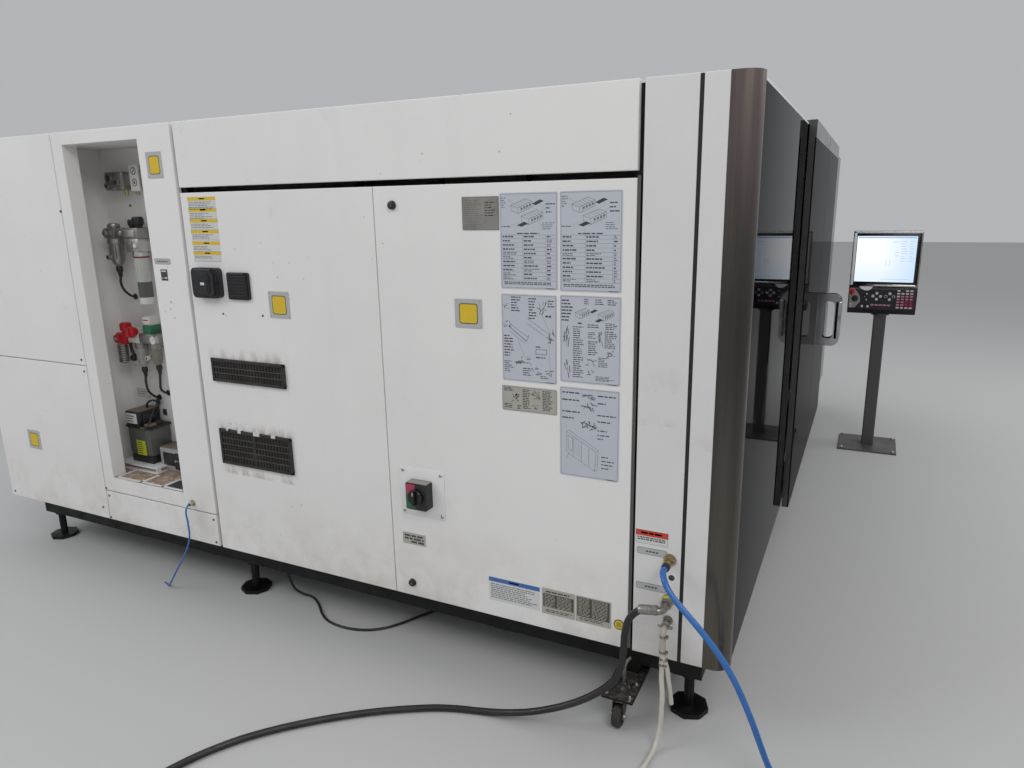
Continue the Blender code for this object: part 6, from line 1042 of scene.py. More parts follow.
b.solid([(214, 33), (226, 33), (226, 31.5), (232, 31.5), (232, 33), (244, 33), (250, 22)], (206, 278, 68), 6,
    28, DOWN)
for k in range(8):
    a = math.pi * (k + 0.5) / 8
    x, y = 206 + 32.5 * math.cos(a), 68 + 32.5 * math.sin(a)
    b.block((x - 1.4, 150, y - 1.4), (x + 1.4, 246, y + 1.4), 4, 0.5)
b.done("filter_unit")

b = Build("air_regulators", "enclosure", [CASTING, BOWL, OLIVE, RED, PALE_BODY, GREEN, PAPER, STEEL, INK, BLACK,
    ALU], nook(1140, 1000))
b.block((50, 130, 56), (120, 188, 116), 3, 10)
b.block((50, 140, 0), (330, 176, 40), 0, 4)
b.solid([(112, 20), (124, 20), (128, 16)], (68, 160, 0), 3, 22)
b.solid([(127.5, 10), (132, 9)], (68, 160, 0), 10, 18)
b.solid([(0, 18), (10, 20), (14, 25), (46, 25), (51, 21)], (103, 186, 90), 3, 26, UP)
for k in range(10):
    a = math.tau * k / 10
    x, y = 103 + 25 * math.cos(a), 90 + 25 * math.sin(a)
    b.block((x - 2, 202, y - 2), (x + 2, 230, y + 2), 3, 0.6)
ribs = [(0, 0)]
for i in range(8):
    ribs += [(i * 11.5, 18.5), (i * 11.5 + 2, 24.5), (i * 11.5 + 7.5, 24.5), (i * 11.5 + 9.5, 18.5)]
ribs += [(96, 15), (96, 0)]
b.turned(ribs, (73, 132, 98), 0, 22, DOWN)
b.hexagon((73, 144, 98), 22, 16, 7, DOWN)
b.solid([(0, 16.5), (20, 16.5), (26, 13)], (130, 64, 74), 9, 18)
b.pipe([(106, 132, 80), (112, 92, 78), (130, 66, 78)], 7.5, 9)
b.block((122, 140, 26), (208, 196, 104), 4, 9)
b.solid([(102, 17), (110, 17), (113, 14)], (160, 168, 0), 4, 22)
b.solid([(0, 22), (12, 22), (18, 17)], (163, 194, 66), 4, 22, UP)
b.block((206, 144, 26), (320, 192, 106), 0, 7)
b.block((236, 190, 36), (290, 234, 100), 5, 5)
b.block((236, 232, 38), (292, 274, 98), 4, 8)
b.block((242, 240, 97.5), (286, 266, 98.6), 6, 0.4)
b.block((246, 254, 98.4), (282, 260, 99), 3)
b.solid([(104, 22.5), (116, 22.5), (120, 20.5)], (322, 167, 0), 7, 28)
b.solid([(119.5, 18.8), (120.2, 18.8)], (322, 167, 0), 6, 28)
for k in range(9):
    a = math.radians(-40 + 32.5 * k)
    x, y = 322 + 14.5 * math.cos(a), 167 + 14.5 * math.sin(a)
    b.block((x - 0.8, y - 0.8, 120), (x + 0.8, y + 0.8, 120.5), 8)
b.slab([(320.5, 166), (323, 165), (333, 177), (332, 178)], 120.1, 120.8, 3)
hanging_bowl(b, 168.5, 144, 66, 27.5, 130, 1, 0)
hanging_bowl(b, 273.5, 144, 66, 25.5, 112, 2, 0)
b.solid([(86, 11.5), (100, 10.5)], (236, 70, 0), 6, 18)
b.solid([(99.5, 6.5), (101, 6.5)], (236, 70, 0), 8, 16)
b.solid([(50, 10), (88, 10)], (236, 70, 0), 1, 16)
boot(b, 168.5, 18, 66, 9, 0.9)
boot(b, 273.5, 36, 66, 9, 0.9)
b.done("regulator_unit")

b = Build("shutoff_handwheel", "shutoff", [RED, RED_DARK], facing(-2122.6)(956, 1199.5))
b.solid([(0, 20.5), (13, 20.5), (15.6, 25.5), (33.6, 25.5), (36.4, 23)], (0, 0, 0), 0, 28)
b.block((-7.8, -20.5, 33), (7.8, 20.5, 49.2), 0, 2.2)
for k in range(12):
    a = math.tau * k / 12
    b.block((25.2 * math.cos(a) - 1.6, 25.2 * math.sin(a) - 1.6, 17),
        (25.2 * math.cos(a) + 1.6, 25.2 * math.sin(a) + 1.6, 32.5), 0)
b.block((-1.5, 9, 48.8), (1.5, 19.5, 49.6), 1)
b.done("shutoff_knob")

b = Build("niche_leads", "enclosure", [BLACK, SATIN_BLACK], nook(1140, 800))
for end, points in (((88, 552), [(88.5, 660, 66), (88.5, 625, 70), (92, 590, 60), (91, 562, 30), (89, 552.5, 6)]),
                    ((161, 46), [(168.5, 178, 66), (168, 140, 70), (172, 95, 66), (168, 62, 36), (161, 45.5, 6)]),
                    ((233, 76), [(273.5, 195, 66), (273, 158, 70), (264, 116, 66), (244, 88, 34), (234, 76.5, 6)])):
    b.pipe(points, 5.8, 0, 12)
    b.solid([(0.1, 14.5), (4.5, 14.5), (8, 9.5)], (*end, 0), 1, 20)
b.solid([(0, 8.5), (30, 8.5), (34, 6)], (173, 46, 20), 1, 14, (0.2, -1, 0.1))
b.pipe([(173, 16, 22), (174, -10, 30), (160, -40, 40), (150, -60, 50)], 4.5, 0, 12)
b.done()
b = Build("niche_wall_details", "enclosure", [INK, PLATE_GREY, PAPER, INK_SOFT, BRASS, STEEL], nook(1140, 700))
b.screw(139, 1087, 0, 6, 0)
b.card(-3, 135, 96, 179, 3, 0.1, 1.2, 1)
b.card(2, 139, 91, 175, 2, 1, 1.6, 2)
for i, wide in enumerate((70, 55)):
    b.block((8, 162 - i * 12, 1.4), (8 + wide, 166 - i * 12, 1.9), 3)
b.block((172, 54, 0.1), (200, 86, 1.4), 0)
for s, t in ((15, 940), (15, 300), (590, 940), (590, 300)):
    b.screw(s, t, 0, 4.5, 5)
b.done()

b = Build("grease_pump", "enclosure", [BLACK, SMOKE, LIME, PAPER, BRASS, STEEL, INK, BROWN_DUST],
    nook(1087.4, 533.6))
b.block((8, 0, 6), (158, 41, 122), 0, 4)
b.block((4, 40, 4), (164, 180, 126), 1, 9)
for s in (16, 46, 132, 152):
    b.block((s, 46, 125.5), (s + 2.2, 174, 127.2), 1, 0.5)
b.block((60, 43, 126.2), (124, 118, 127.8), 2)
for i in range(6):
    b.block((65, 106 - i * 11, 127.6), (65 + chance.uniform(30, 52), 110 - i * 11, 128.1), 6)
b.block((-2, 179, 2), (172, 192, 130), 0, 3)
b.block((10, 191, 6), (104, 264, 132), 0, 5)
b.block((16, 204, 131.5), (92, 256, 133.2), 3, 1)
for i in range(3):
    b.block((24, 240 - i * 13, 133), (24 + chance.uniform(30, 56), 244 - i * 13, 133.5), 6)
b.block((14, 263, 10), (100, 267, 128), 7, 1)
b.block((104, 200, 20), (112, 250, 110), 0, 2)
b.solid([(0, 20), (16, 20), (20, 16)], (140, 191, 50), 0, 20, UP)
b.block((122, 192, 76), (160, 204, 120), 7, 1)
for s in (118, 136, 154):
    b.hexagon((s, 186, 128), 5.8, 10, 4)
b.pipe([(14, 236, 70), (-18, 232, 84), (-26, 206, 94), (-18, 184, 98), (0, 178, 94)], 4.8, 0)
b.pipe([(154, 186, 137), (164, 192, 142), (168, 214, 126), (158, 256, 90), (148, 300, 50)], 4, 0)
b.pipe([(70, 266, 50), (78, 290, 52), (104, 306, 44), (118, 300, 30), (120, 290, 12)], 5, 0)
b.done("lubrication_pump")

b = Build("niche_control_unit", "enclosure", [GREY, BROWN_DUST, BLACK, STEEL, INK], nook(898.5, 504.6))
b.block((-0.8, 0.5, 0), (160.8, 118, 101), 0, 4)
b.block((1, 117, 2), (159, 121.2, 99.5), 1, 1)
b.block((20, 30, 100.5), (95, 96, 102.2), 2, 1)
b.pipe([(-1, 70, 60), (-30, 86, 75), (-52, 60, 85), (-40, 22, 95), (-1, 20, 90)], 5, 0)
b.block((108, 20, 100.5), (150, 55, 113), 2, 3)
b.block((108, 66, 100.5), (150, 100, 113), 2, 3)
for s, t in ((10, 108), (148, 108), (10, 12), (98, 12)):
    b.screw(s, t, 101, 3.5, 3)
b.done()
b = Build("niche_floor_tray", "enclosure", [RUSTY, WHITE_CLEAN, INK])
b.block((-2296, 546, 503.1), (-2030, 1170, 504), 0)
for x0, y0, x1, y1 in ((-2292, 550, -2278, 1020), (-2292, 550, -2040, 562), (-2292, 690, -2190, 704),
        (-2292, 1008, -2040, 1020), (-2292, 835, -2190, 850)):
    b.block((x0, y0, 503.8), (x1, y1, 506.2), 1, 0.6)
b.block((-2274, 566, 503.9), (-2200, 686, 504.6), 2)
b.done()

# Gas fittings on the post panel

b = Build("gas_fittings", "enclosure", [BRASS, WORN, ZINC, BLACK, HOSE_BRAID, HOSE_WHITE, LIME, INK, POLISHED],
    wall(-1700, 421))
b.block((-30, -45, -14.3), (30, 261, -2.3), 0)
for t in (0, 73, 216):
    b.solid([(-3, 12), (0.4, 12), (0.4, 21.5 if t else 17), (2.2, 21.5 if t else 17)], (0, t, 0), 2, 24)
b.hexagon((0, 216, 2), 17.5, 15, 0)
b.solid([(16, 12), (40, 11.5)], (0, 216, 0), 0, 20)
for i in range(5):
    b.turned([(18.5 + i * 3, 10), (18.5 + i * 3, 13.2), (19.8 + i * 3, 13.2), (19.8 + i * 3, 10)], (0, 216, 0),
        0, 20)
b.hexagon((0, 216, 35), 15, 13, 0)
b.solid([(47, 13.5), (60, 13.8), (66, 12.2)], (0, 216, 0), 3, 24)
b.hexagon((0, 73, 2), 21, 17, 6)
b.hexagon((0, 73, 20), 19.5, 17, 1)
b.solid([(18, 13.5), (46, 13.5)], (0, 73, 0), 1, 20)
b.pipe([(0, 73, 34), (0, 73, 54), (-1, 73, 66), (-6, 73, 75.5), (-14, 73, 79.5), (-24, 73, 80)], 12.8, 1, 20)
hose_way = (-0.04, -0.0052, 0.0022)
b.turned([(-12, 0), (-12, 13), (-9, 16.5), (2, 16.5), (4, 15), (8, 15), (10, 15.8), (44, 15.8), (50, 14),
    (50, 11.8)], (-26, 73, 80), 1, 24, hose_way)
for i in range(6):
    b.turned([(14 + i * 5, 15), (14 + i * 5, 16.4), (16.5 + i * 5, 16.4), (16.5 + i * 5, 15)], (-26, 73, 80), 2,
        24, hose_way)
b.hexagon((0, 0, 2), 14.5, 12, 1)
b.hexagon((0, 0, 18), 13, 10, 1)
b.solid([(12, 9), (34, 9)], (0, 0, 0), 1, 18)
b.pipe([(0, 0, 28), (0, -1, 40), (0, -7, 52), (0, -18, 59), (0, -34, 60.5), (0, -60, 60), (0, -86, 60)], 9.8, 4, 18)
for i, t in enumerate((-22, -78, -103, -124)):
    b.turned([(0, 8), (0, 11.2), (7, 11.2), (7, 8)], (0, t, 60), 1, 22, DOWN)
    b.block((9, t - 7.5, 54), (18, t + 0.5, 66), 1, 1.2)
    b.solid([(0, 3.4), (6, 3.4)], (13.5, t - 3.5, 66), 2, 12)
b.turned([(40, 10.2), (40, 13), (48, 13), (48, 10.2)], (0, 0, 0), 1, 22)
b.block((10, -4, 40.5), (26, 5, 47.5), 1, 1.2)
b.block((-22, -3, 41.5), (-10, 3, 46.5), 1, 1.2)
b.solid([(0, 8.6), (12, 9), (50, 9), (52.7, 8.6)], (0, -86, 60), 5, 20, DOWN)
b.solid([(0, 10), (18, 10)], (0, -92, 60), 5, 20, (0.3, -1, 0))
b.pipe([(3, -104, 60), (11, -122, 58), (17, -150, 54), (21, -190, 49), (26, -235, 43), (30, -281.5, 38)], 8, 5, 18)
b.solid([(-0.4, 10.2), (0.4, 10.2)], (7, 154, 0), 7, 20)
b.done("gas_manifold")

# Caster


def grease():
    p = Paint("greasy_plate", (0.05, 0.047, 0.043), 0.42, 0.3)
    p.tint(p.span(p.noise(42.0, 5.0, 0.7), 0.5, 0.62, 0.0, 0.9), (0.16, 0.15, 0.135))
    p.tint(p.span(p.noise(90.0, 4.0, 0.7), 0.6, 0.66, 0.0, 0.9), (0.55, 0.53, 0.48))
    p.roughen(p.noise(30.0, 3.0), 0.3, 0.7, 0.25, 0.65)
    p.bump(p.noise(60.0, 4.0), 0.4, 0.001)
    return p.mat


GREASE = grease()
b = Build("caster_axle_nuts", "caster", [STEEL, ZINC])
for y, way in ((-1570, -1000), (-1532, 1000)):
    b.solid([(0, 12.5), (1.5, 12.5)], (-2343, y, 40.3), 1, 18, (0, way, 0))
    b.hexagon((-2343, y + way * 0.0015, 40.3), 9.5, 7, 0, (0, way, 0))
b.done()
b = Build("caster_bolts", "enclosure", [STEEL, GREASE, ZINC])
b.block((-2364.5, -1605.5, 118), (-2140, -1496.5, 118.6), 1)
for x in (-2347, -2268):
    for y in (-1592, -1510):
        b.hexagon((x, y, 118.2), 8.5, 7, 0)
        b.solid([(0, 4.8), (12, 4.8), (13.5, 3.5)], (x, y, 118.2), 2, 14)
b.pipe([(-2272, -1548, 117), (-2272, -1548, 150), (-2272, -1549, 178), (-2272, -1555, 203), (-2272, -1566, 222),
    (-2272, -1573, 227.5)], 6, 2, 14)
b.block((-2284, -1560, 117.8), (-2260, -1536, 126), 1, 2)
b.done()

# Console


def lit_screen():
    p = Paint("lit_display", (0.93, 0.96, 1.0), 0.2)
    p.tint(p.span(p.axis("Y"), -2.26, -2.46, 0.0, 0.85), (0.55, 0.72, 0.98))
    p.tint(p.span(p.axis("Z"), 1.36, 1.22, 0.0, 0.4), (0.55, 0.74, 0.98))
    p.links.new(p.base, p.shader.inputs["Emission Color"])
    p.shader.inputs["Emission Strength"].default_value = 1.04
    p.links.remove(p.shader.inputs["Base Color"].links[0])
    p.shader.inputs["Base Color"].default_value = (0.03, 0.03, 0.03, 1)
    return p.mat


DISPLAY = lit_screen()
KEY_WHITE = plastic("white_keys", (0.62, 0.6, 0.62), 0.4)
KEY_PINK = plastic("pink_keys", (0.52, 0.22, 0.3), 0.4)
KEY_RED = plastic("red_keys", (0.4, 0.03, 0.06), 0.4)
KEY_PAD = plastic("dark_keypad", (0.012, 0.011, 0.018), 0.35)
KEY_WINE = plastic("wine_keypad_field", (0.055, 0.008, 0.018), 0.4)
SIDE_GREY = plastic("grey_side_panel", (0.31, 0.285, 0.27), 0.45)

b = Build("console_display", "console", [SATIN_BLACK, DISPLAY, SCREEN_BLUE], desk(-2071, 975))
b.block((18, 204.8, 0.3), (406, 550.6, 6), 0, 1.5)
b.card(26, 222, 392, 532, 3, 5.8, 6.3, 1)
b.block((30, 518, 6.2), (388, 527, 6.5), 2)
for i in range(9):
    b.block((300, 496 - i * 16.5, 6.2), (300 + chance.uniform(20, 38), 499 - i * 16.5, 6.5), 2)
    b.block((352, 496 - i * 16.5, 6.2), (352 + chance.uniform(14, 28), 499 - i * 16.5, 6.5), 2)
for x0, y0, x1, y1 in ((250, 492, 290, 494.5), (264, 420, 290, 422.5), (264, 400, 290, 402.5),
        (215, 330, 217, 372), (235, 330, 237, 372), (190, 240, 370, 242.5)):
    b.block((x0, y0, 6.2), (x1, y1, 6.5), 2)
b.done("console_screen")

b = Build("console_bezel", "console", [PALE_SILVER, SATIN_BLACK, POLISHED], desk(-2071, 975))
b.block((4, 196, 0.2), (21.8, 564, 9), 0, 3)
b.slab([(66, 191.5), (76, 176), (98, 164), (126, 164), (142, 176), (150, 191.5)], 30.2, 32, 0)
b.block((4, 551, 0.2), (420, 564.5, 9), 0, 3)
b.block((4, 190.5, 0.2), (420, 204.4, 7.5), 2, 2.5)
b.block((406.3, 196, 0.2), (416.5, 563, 8), 1, 2.5)
b.block((416, 196, 0.2), (420.5, 563, 8.6), 2, 1.5)
b.done()


def key(s, t):
    """A place on the keypad, from shares of its width and height."""
    return s * 424, 35 + t * 150


b = Build("console_keys", "console", [KEY_PAD, KEY_WINE, SIDE_GREY, KEY_WHITE, KEY_PINK, KEY_RED, STEEL],
    keypad(-2071, 975))
b.card(5, 37, 419, 168, 4, 0.2, 1.2, 0)
b.slab([(7, 42), (46, 42), (78, 86), (72, 126), (48, 160), (30, 166), (7, 166)], 1, 2.4, 2)
b.card(300, 41, 415, 160, 4, 1, 1.6, 1)
b.turned([(0.8, 17.5), (0.8, 24), (3.4, 23), (3.4, 17.5)], (23, 153.4, 0), 4, 28)
for cx, cy, hollow in ((0.42, 0.6, 0), (0.61, 0.6, 1)):
    for dx, dy in ((0, 0.135), (0.055, 0), (0, -0.135), (-0.055, 0)):
        s, t = key(cx + dx, cy + dy)
        b.solid([(1, 9.8), (3.4, 9.4), (4, 8)], (s, t, 0), 3, 20)
        if hollow and dx:
            b.solid([(3.9, 7), (4.3, 6.6)], (s, t, 0), 0, 18)
for i in range(5):
    s, t = key(0.365 + i * 0.06, 0.2)
    b.card(s - 9.8, t - 5.6, s + 9.8, t + 5.6, 2.5, 1, 3.4, 4)
for row in range(7):
    for col in range(4):
        s, t = key(0.735 + col * 0.0615, 0.88 - row * 0.128)
        if (row, col) == (0, 1):
            continue
        paint = 3 if row < 2 or (row == 2 and col == 0) or row == 6 else 5 if (row in (4, 5) and col > 1) else 4
        b.card(s - 9.2, t - 5.2, s + 9.2, t + 5.2, 2.2, 1.4, 4, paint)
for cx, cy, r, paint in ((0.215, 0.12, 8.5, 3), (0.3, 0.12, 8.5, 3), (0.275, 0.7, 5, 3), (0.272, 0.42, 5, 3),
        (0.245, 0.56, 3.5, 6)):
    s, t = key(cx, cy)
    b.solid([(1, r), (5, r * 0.94), (5.6, r * 0.8)], (s, t, 0), paint, 20)
for s, t in ((18, 66), (18, 50)):
    b.solid([(2, 6.2), (6, 5.8), (6.6, 4.8)], (s, t, 0), 3, 18)
b.done()

b = Build("console_back_details", "console", [BLACK, STEEL, INK],
    ((1340, -2283, 975), (0, 1, 0), (0, 0, 1), (1, 0, 0)))
b.card(-160, 60, 160, 400, 6, 0.2, 2.2, 0)
for s in (-148, 148):
    for t in (72, 388):
        b.screw(s, t, 2.2, 4.5, 1)
for i in range(9):
    b.card(-70, 270 + i * 11, 70, 275 + i * 11, 2, 2, 2.6, 2)
b.solid([(0, 14), (10, 14), (16, 10)], (-100, 100, 2), 2, 20)
b.done()

b = Build("stand_bolts", "enclosure", [STEEL, ZINC])
for x in (1115, 1445):
    for y in (-2448, -2118):
        b.solid([(0, 16), (2, 16)], (x, y, 12.1), 1, 20)
        b.hexagon((x, y, 14), 10.5, 8, 0)
b.done()

# Inside the cabinet

MODULE_GREY = plastic("module_grey", (0.42, 0.43, 0.44), 0.5)
MODULE_PALE = plastic("module_pale", (0.62, 0.61, 0.57), 0.5)
WIRE_BLUE = plastic("wire_blue", (0.03, 0.08, 0.35), 0.5)
BACKPLATE_X, DEVICE_DEEP, DEVICE_TALL, DUCT_DEEP, DUCT_RISE = -1937.7, 110, 160, 60, 232.1
DEVICE_Y, DEVICE_SPAN, ROW_Z = -1431.7, 1631.4, (607.7, 1071.8, 1535.9)
DEVICES = (
    ((0.02, 0.3, 1.0), (0.36, 0.6, 0.7), (0.66, 0.97, 0.6)),
    ((0.03, 0.22, 0.8), (0.26, 0.42, 0.8), (0.46, 0.62, 0.8), (0.68, 0.95, 0.5)),
    ((0.02, 0.46, 0.6), (0.52, 0.96, 0.9)),
)
MODULE_WIDTHS = (18, 45, 72)
SLOTS = 104


def module(b, kind, x, y0, y1, z, rise, even):
    """One switchgear module: body, nose, lever or lamp, terminals, and on every second one a wire."""
    y = (y0 + y1) / 2
    b.block((x - 5, y0, z - rise * 0.96), (x - 0.2, y1, z + rise * 0.96), kind, 0.8)
    b.block((x - 14, y0 + 1, z - rise * 0.5), (x - 4.5, y1 - 1, z + rise * 0.5), kind, 1.2)
    if kind == 0:
        b.block((x - 22, y0 + 4, z - 6), (x - 13.5, y1 - 4, z + 8), 5, 1)
    else:
        b.block((x - 14.6, y0 + 6, z + rise * 0.12), (x - 13.8, y1 - 6, z + rise * 0.38), 0 if kind == 1 else 1)
        b.turned([(0, 0), (0, 4), (3, 3.6), (3.4, 0)], (x - 13.8, y, z - rise * 0.25), 3 if even else 6, 12, LEFT)
    for side in (-1, 1):
        b.solid([(0, 3.6), (1.4, 3.4)], (x - 4.9, y, z + side * rise * 0.78), 7, 10, LEFT)
    if even:
        top = z + 202
        b.pipe([(x - 3, y, z + rise * 0.88), (x - 10, y, z + rise * 1.1), (x + 4, y, (z + rise + top) / 2),
                (BACKPLATE_X - 30, y, top + 6)], 2, 4 if kind == 1 else 5, 8)


b = Build("switchgear_modules", "enclosure", [MODULE_PALE, BLACK, MODULE_GREY, RED, WIRE_BLUE, INK, GREEN, STEEL])
for row, (row_z, devices) in enumerate(zip(ROW_Z, DEVICES)):
    for col, (start, end, tall) in enumerate(devices):
        first, wide = DEVICE_Y + DEVICE_SPAN * start, DEVICE_SPAN * (end - start)
        kind = (row * 2 + col) % 3
        count = int(wide / MODULE_WIDTHS[kind])
        for i in range(count):
            y0, y1 = first + wide * i / count + 1.2, first + wide * (i + 1) / count - 1.2
            module(b, kind, BACKPLATE_X - DEVICE_DEEP * tall, y0, y1, row_z - 30, DEVICE_TALL * tall / 2,
                i % 2 == 0)
    x, z = BACKPLATE_X - DUCT_DEEP, row_z + DUCT_RISE - DUCT_DEEP
    for i in range(SLOTS):
        y = DEVICE_Y + 6 + (DEVICE_SPAN - 12) * (i + 0.5) / SLOTS
        b.block((x - 0.6, y - 2.8, z + 4), (x - 0.1, y + 2.8, z + 30), 5)
b.done()

# Cutting head

corners = [NODES["cutting_head"].matrix_world @ Vector(c) / MM for c in NODES["cutting_head"].bound_box]
low, high = [[pick(c[i] for c in corners) for i in range(3)] for pick in (min, max)]
front = (high[0], (low[1] + high[1]) / 2, low[2])
b = Build("head_details", "head", [BRASS, PAPER, SATIN_BLACK, STEEL, WIRE_BLUE, INK], (front, UP, OUT, RIGHT))
depth = (low[0] - high[0]) / 2
for profile, paint in (([(43, 20), (45, 20.8), (64, 20.8), (66, 20)], 1),
        ([(69, 26.2), (71, 27.2), (108, 27.2), (110, 26.2)], 0)):
    b.solid(profile, (0, 0, depth), paint, 32, UP)
for i in range(24):
    a = math.tau * i / 24
    s, o = 27.2 * math.sin(a), depth + 27.2 * math.cos(a)
    b.pipe([(s, 72, o), (s, 90, o), (s, 107, o)], 1.1, 0, 6)
for profile, paint in (([(123, 32.8), (218, 32.8)], 2), ([(160, 33.6), (164, 34), (168, 33.6)], 3)):
    b.solid(profile, (0, 0, depth), paint, 32, UP)
b.card(-72, 240, 72, 540, 8, 0.1, 2.2, 2)
b.card(-50, 262, 50, 330, 5, 2, 3.4, 5)
b.card(-50, 440, 50, 452, 4, 2, 3.2, 4)
b.card(-18, 352, 18, 388, 16, 2, 4.4, 3)
for s in (-64, 64):
    for t in (250, 390, 530):
        b.screw(s, t, 2.2, 4, 3)
b.done()

# A painted gap shadow, a gasket, seams and the last fittings

SEAM_GREY = plastic("grey_gasket", (0.095, 0.092, 0.088), 0.6)
GAP_SHADOW_BLACK = plastic("black_painted_gap_shadow", (0.01, 0.01, 0.01), 0.6)
PANEL_SEAM = plastic("panel_seam", (0.16, 0.155, 0.15), 0.6)
b = Build("panel_gap_shadow_and_gasket", "enclosure", [GAP_SHADOW_BLACK, SEAM_GREY])
# A black strip filling the gap between the post and corner panels: painted shadow in the gap.
b.block((-2300.4, -1747, 276.5), (-2296, -1735, 2097.5), 0)
b.block((-2295, -1573, 278), (-2290, -1564, 1835), 1)
b.done()
b = Build("tube_fitting", "enclosure", [BRASS, STEEL, BLACK, INK_SOFT], wall(490, 462))
b.solid([(0.1, 17), (1.6, 17)], (0, 0, 0), 1, 22)
b.hexagon((0, 0, 1.5), 12.5, 8, 0)
b.solid([(9, 9), (18, 8.8), (19, 7.8)], (0, 0, 0), 1, 20)
b.solid([(18.8, 7), (22.5, 7)], (0, 0, 0), 2, 20)
b.done()
sign("side_panel_sign", "enclosure", (1560, 1660, 575, 675))
b = Build("back_seams", "enclosure", [PANEL_SEAM, INK], ((0, 1900, 0), (1, 0, 0), (0, 0, 1), (0, 1, 0)))
for x in (-1150, 1150):
    b.block((x - 2, 290, 0), (x + 2, 2080, 0.4), 0)
for x in (-2262, -1190, -1110, 1110, 1190, 2262):
    for z in (330, 900, 1480, 2050):
        b.screw(x, z, 0, 6, 1)
for k in range(8):
    a = math.tau * (k + 0.5) / 8
    b.screw(185 * math.cos(a), 1750 + 185 * math.sin(a), 0, 5.5, 1)
b.done()

# Cords


FLOOR_GAP = 0.0003


def coil_turns(route, diameter, turns, tail):
    """Goes on from a route into a coil of three turns on the ground and the rest on top of them."""
    last, before = Vector(route[-1]), Vector(route[-2])
    ahead = Vector((last.x - before.x, last.y - before.y, 0)).normalized()
    across = Vector((-ahead.y, ahead.x, 0))
    middle = diameter * 5.5
    half = diameter / 2 * math.sqrt((5 if diameter > 0.018 else 4) / 0.72)
    reach = math.sqrt((middle + half) ** 2 - (middle - diameter / 2) ** 2) + FLOOR_GAP
    centre = last + ahead * reach + across * middle
    low = diameter / 2 + FLOOR_GAP
    high = low + diameter * 1.02

    def ease(value, start, end):
        share = min(1.0, max(0.0, (value - start) / (end - start)))
        return share * share * (3 - 2 * share)

    points = []
    steps = int(turns * 28)
    for i in range(steps + 1):
        t = turns * i / steps
        inward = ease(t, 0.75, 1.0) + ease(t, 1.75, 2.0)
        outward = 0.5 * ease(t, 2.62, 2.78) + ease(t, 3.5, 3.75)
        radius = middle + diameter * (1 - inward + outward)
        height = low + (high - low) * ease(t, 2.45, 2.68)
        angle = math.tau * t
        spoke = -across * math.cos(angle) + ahead * math.sin(angle)
        points.append(Vector((centre.x, centre.y, height)) + spoke * radius)
    start = [Vector(p) for p in route[:-2]]
    start += [before - across * diameter * 0.6, last - across * diameter * 0.97]
    for p in start[-2:]:
        p.z = low
    if tail:
        nut = diameter * 1.3 / 2
        reach = math.sqrt((middle + half) ** 2 - (middle - nut) ** 2) + FLOOR_GAP + 3 * diameter
        end = centre + across * middle - ahead * reach
        end.z = nut + FLOOR_GAP
        over = points[-1] - ahead * diameter * 3.4
        points += [points[-1] - ahead * diameter * 1.7, over, end + ahead * diameter * 1.0, end]
        points[-2].z = end.z + 0.002
    return start + points, centre, middle


def cord(name, points, diameter, paint, replaced):
    line = smooth([Vector(p) for p in points], diameter * 0.45)
    low = diameter / 2 + FLOOR_GAP
    for p in line:
        p.z = max(p.z, low)
    curve = bpy.data.curves.new(name, "CURVE")
    curve.dimensions = "3D"
    curve.bevel_depth = diameter / 2
    curve.bevel_resolution = 3
    curve.use_fill_caps = True
    spline = curve.splines.new("POLY")
    spline.points.add(len(line) - 1)
    for target, p in zip(spline.points, line):
        target.co = (*p, 1)
    curve.materials.append(paint)
    obj = bpy.data.objects.new(name, curve)
    bpy.context.scene.collection.objects.link(obj)
    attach(obj, "enclosure")
    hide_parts(*replaced)


def tie(name, centre, middle, diameter, angle):
    """A flat hook-and-loop strap round the bundle of a coil."""
    b = Build(name, "enclosure", [SATIN_BLACK])
    out = Vector((math.cos(angle), math.sin(angle), 0))
    along = Vector((-out.y, out.x, 0))
    wide, high = diameter * 1.58, diameter * 1.06
    base = Vector((centre.x, centre.y, 0)) + out * middle
    outline = []
    for i in range(20):
        a = math.tau * i / 20
        c, s = math.cos(a), math.sin(a)
        outline.append((wide * abs(c) ** 0.55 * (1 if c >= 0 else -1),
            high * abs(s) ** 0.7 * (1 if s >= 0 else -1)))
    rings = []
    for way, grow in ((-0.011, 0.0), (-0.011, 0.0014), (0.011, 0.0014), (0.011, 0.0)):
        rings.append([b.bm.verts.new(base + along * way + out * x * (1 + grow / wide) + Vector((0, 0,
            max(0.0008, high + 0.0006 + z * (1 + grow / high))))) for x, z in outline])
    rows = []
    for k in range(4):
        a, c = rings[k], rings[(k + 1) % 4]
        rows += [[a[i], a[(i + 1) % 20], c[(i + 1) % 20], c[i]] for i in range(20)]
    made = b.faces(rows, 0)
    bmesh.ops.recalc_face_normals(b.bm, faces=made)
    return b.done()


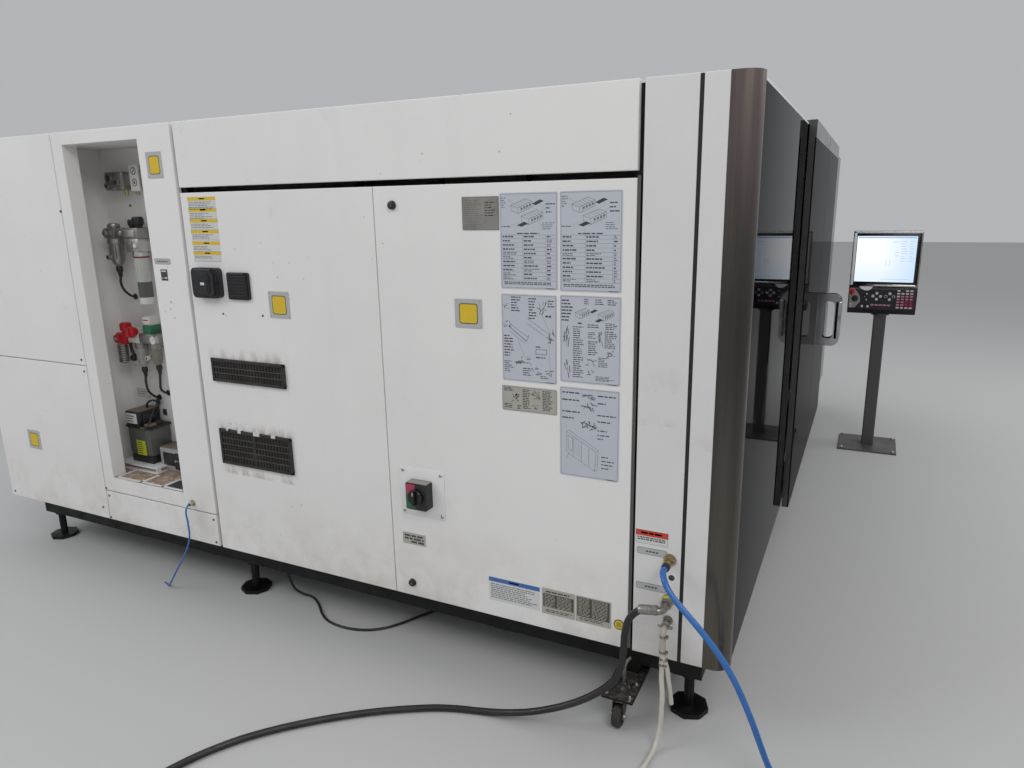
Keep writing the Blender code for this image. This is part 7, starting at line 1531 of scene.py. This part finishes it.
NITROGEN_ROUTE = [
    (-2.38, -1.672, 0.494), (-2.38, -1.66, 0.494), (-2.383, -1.624, 0.482), (-2.388, -1.595, 0.448),
    (-2.395, -1.584, 0.4), (-2.403, -1.583, 0.345), (-2.411, -1.58, 0.292), (-2.419, -1.566, 0.246),
    (-2.428, -1.534, 0.203), (-2.438, -1.485, 0.16), (-2.448, -1.424, 0.12), (-2.458, -1.352, 0.083),
    (-2.468, -1.27, 0.05), (-2.48, -1.175, 0.025), (-2.498, -1.07, 0.012), (-2.535, -0.955, 0.012),
    (-2.592, -0.845, 0.012), (-2.665, -0.73, 0.012), (-2.75, -0.62, 0.012), (-2.845, -0.515, 0.012),
    (-2.945, -0.425, 0.012), (-3.043, -0.362, 0.012), (-3.139, -0.334, 0.012), (-3.235, -0.315, 0.012),
]
OXYGEN_ROUTE = [
    (-2.365, -1.7, 0.637), (-2.39, -1.7, 0.637), (-2.418, -1.716, 0.616), (-2.435, -1.749, 0.58),
    (-2.45, -1.829, 0.51), (-2.46, -1.896, 0.44), (-2.458, -1.946, 0.36), (-2.445, -1.99, 0.255),
    (-2.425, -2.028, 0.14), (-2.412, -2.052, 0.07), (-2.415, -2.085, 0.024), (-2.44, -2.125, 0.01),
    (-2.485, -2.156, 0.01), (-2.54, -2.18, 0.01),
]
DRAIN_ROUTE = [
    (-2.36, -1.7, 0.282), (-2.36, -1.7, 0.24), (-2.368, -1.706, 0.189), (-2.374, -1.707, 0.13),
    (-2.382, -1.706, 0.08), (-2.4, -1.702, 0.035), (-2.43, -1.697, 0.013), (-2.47, -1.691, 0.009),
    (-2.507, -1.686, 0.009), (-2.56, -1.68, 0.009), (-2.62, -1.672, 0.009),
]
BLUE_TUBE_ROUTE = [
    (-2.312, 0.49, 0.462), (-2.326, 0.49, 0.462), (-2.34, 0.488, 0.45), (-2.347, 0.485, 0.425),
    (-2.345, 0.483, 0.38), (-2.338, 0.497, 0.298), (-2.336, 0.554, 0.196), (-2.335, 0.623, 0.104),
    (-2.331, 0.672, 0.04), (-2.318, 0.712, 0.01), (-2.302, 0.755, 0.005),
]
FLOOR_CABLE_ROUTE = [
    (-2.15, 0.1, 0.139), (-2.15, 0.1, 0.11), (-2.138, 0.082, 0.045), (-2.118, 0.05, 0.012),
    (-2.115, 0.0, 0.006), (-2.15, -0.065, 0.006), (-2.207, -0.134, 0.006), (-2.245, -0.2, 0.006),
    (-2.258, -0.29, 0.006), (-2.242, -0.38, 0.006), (-2.2, -0.45, 0.006), (-2.139, -0.499, 0.006),
    (-2.035, -0.555, 0.006), (-1.93, -0.62, 0.006), (-1.83, -0.73, 0.006), (-1.76, -0.86, 0.006),
    (-1.722, -0.95, 0.016), (-1.703, -1.025, 0.06), (-1.7, -1.05, 0.11), (-1.7, -1.05, 0.139),
]

points, centre, middle = coil_turns(NITROGEN_ROUTE, 0.024, 4.5, True)
strap = tie("nitrogen_strap", centre, middle, 0.024, 2.2)
cord("nitrogen_line", points, 0.024, HOSE_BLACK, ["nitrogen_hose", "nitrogen_coil"])
points, centre, middle = coil_turns(OXYGEN_ROUTE, 0.02, 4.5, True)
strap = tie("oxygen_strap", centre, middle, 0.02, -1.4)
cord("oxygen_line", points, 0.02, HOSE_BLUE, ["oxygen_hose", "oxygen_coil"])
points, centre, middle = coil_turns(DRAIN_ROUTE, 0.017, 3.6, False)
strap = tie("drain_strap", centre, middle, 0.017, 2.6)
cord("drain_line", points, 0.017, HOSE_WHITE, ["drain_hose", "drain_coil"])
cord("blue_tube_line", BLUE_TUBE_ROUTE, 0.008, HOSE_BLUE, ["blue_tube"])
cord("floor_cable_line", FLOOR_CABLE_ROUTE, 0.011, HOSE_BLACK, ["floor_cable"])

# Floor

floor_mesh = bpy.data.meshes.new("floor")
floor_mesh.from_pydata([(-30, -30, 0), (30, -30, 0), (30, 30, 0), (-30, 30, 0)], [], [(0, 1, 2, 3)])
floor_paint = Paint("studio_floor", (0.56, 0.56, 0.55), 0.7)
floor_mesh.materials.append(floor_paint.mat)
floor = bpy.data.objects.new("floor", floor_mesh)
scene.collection.objects.link(floor)
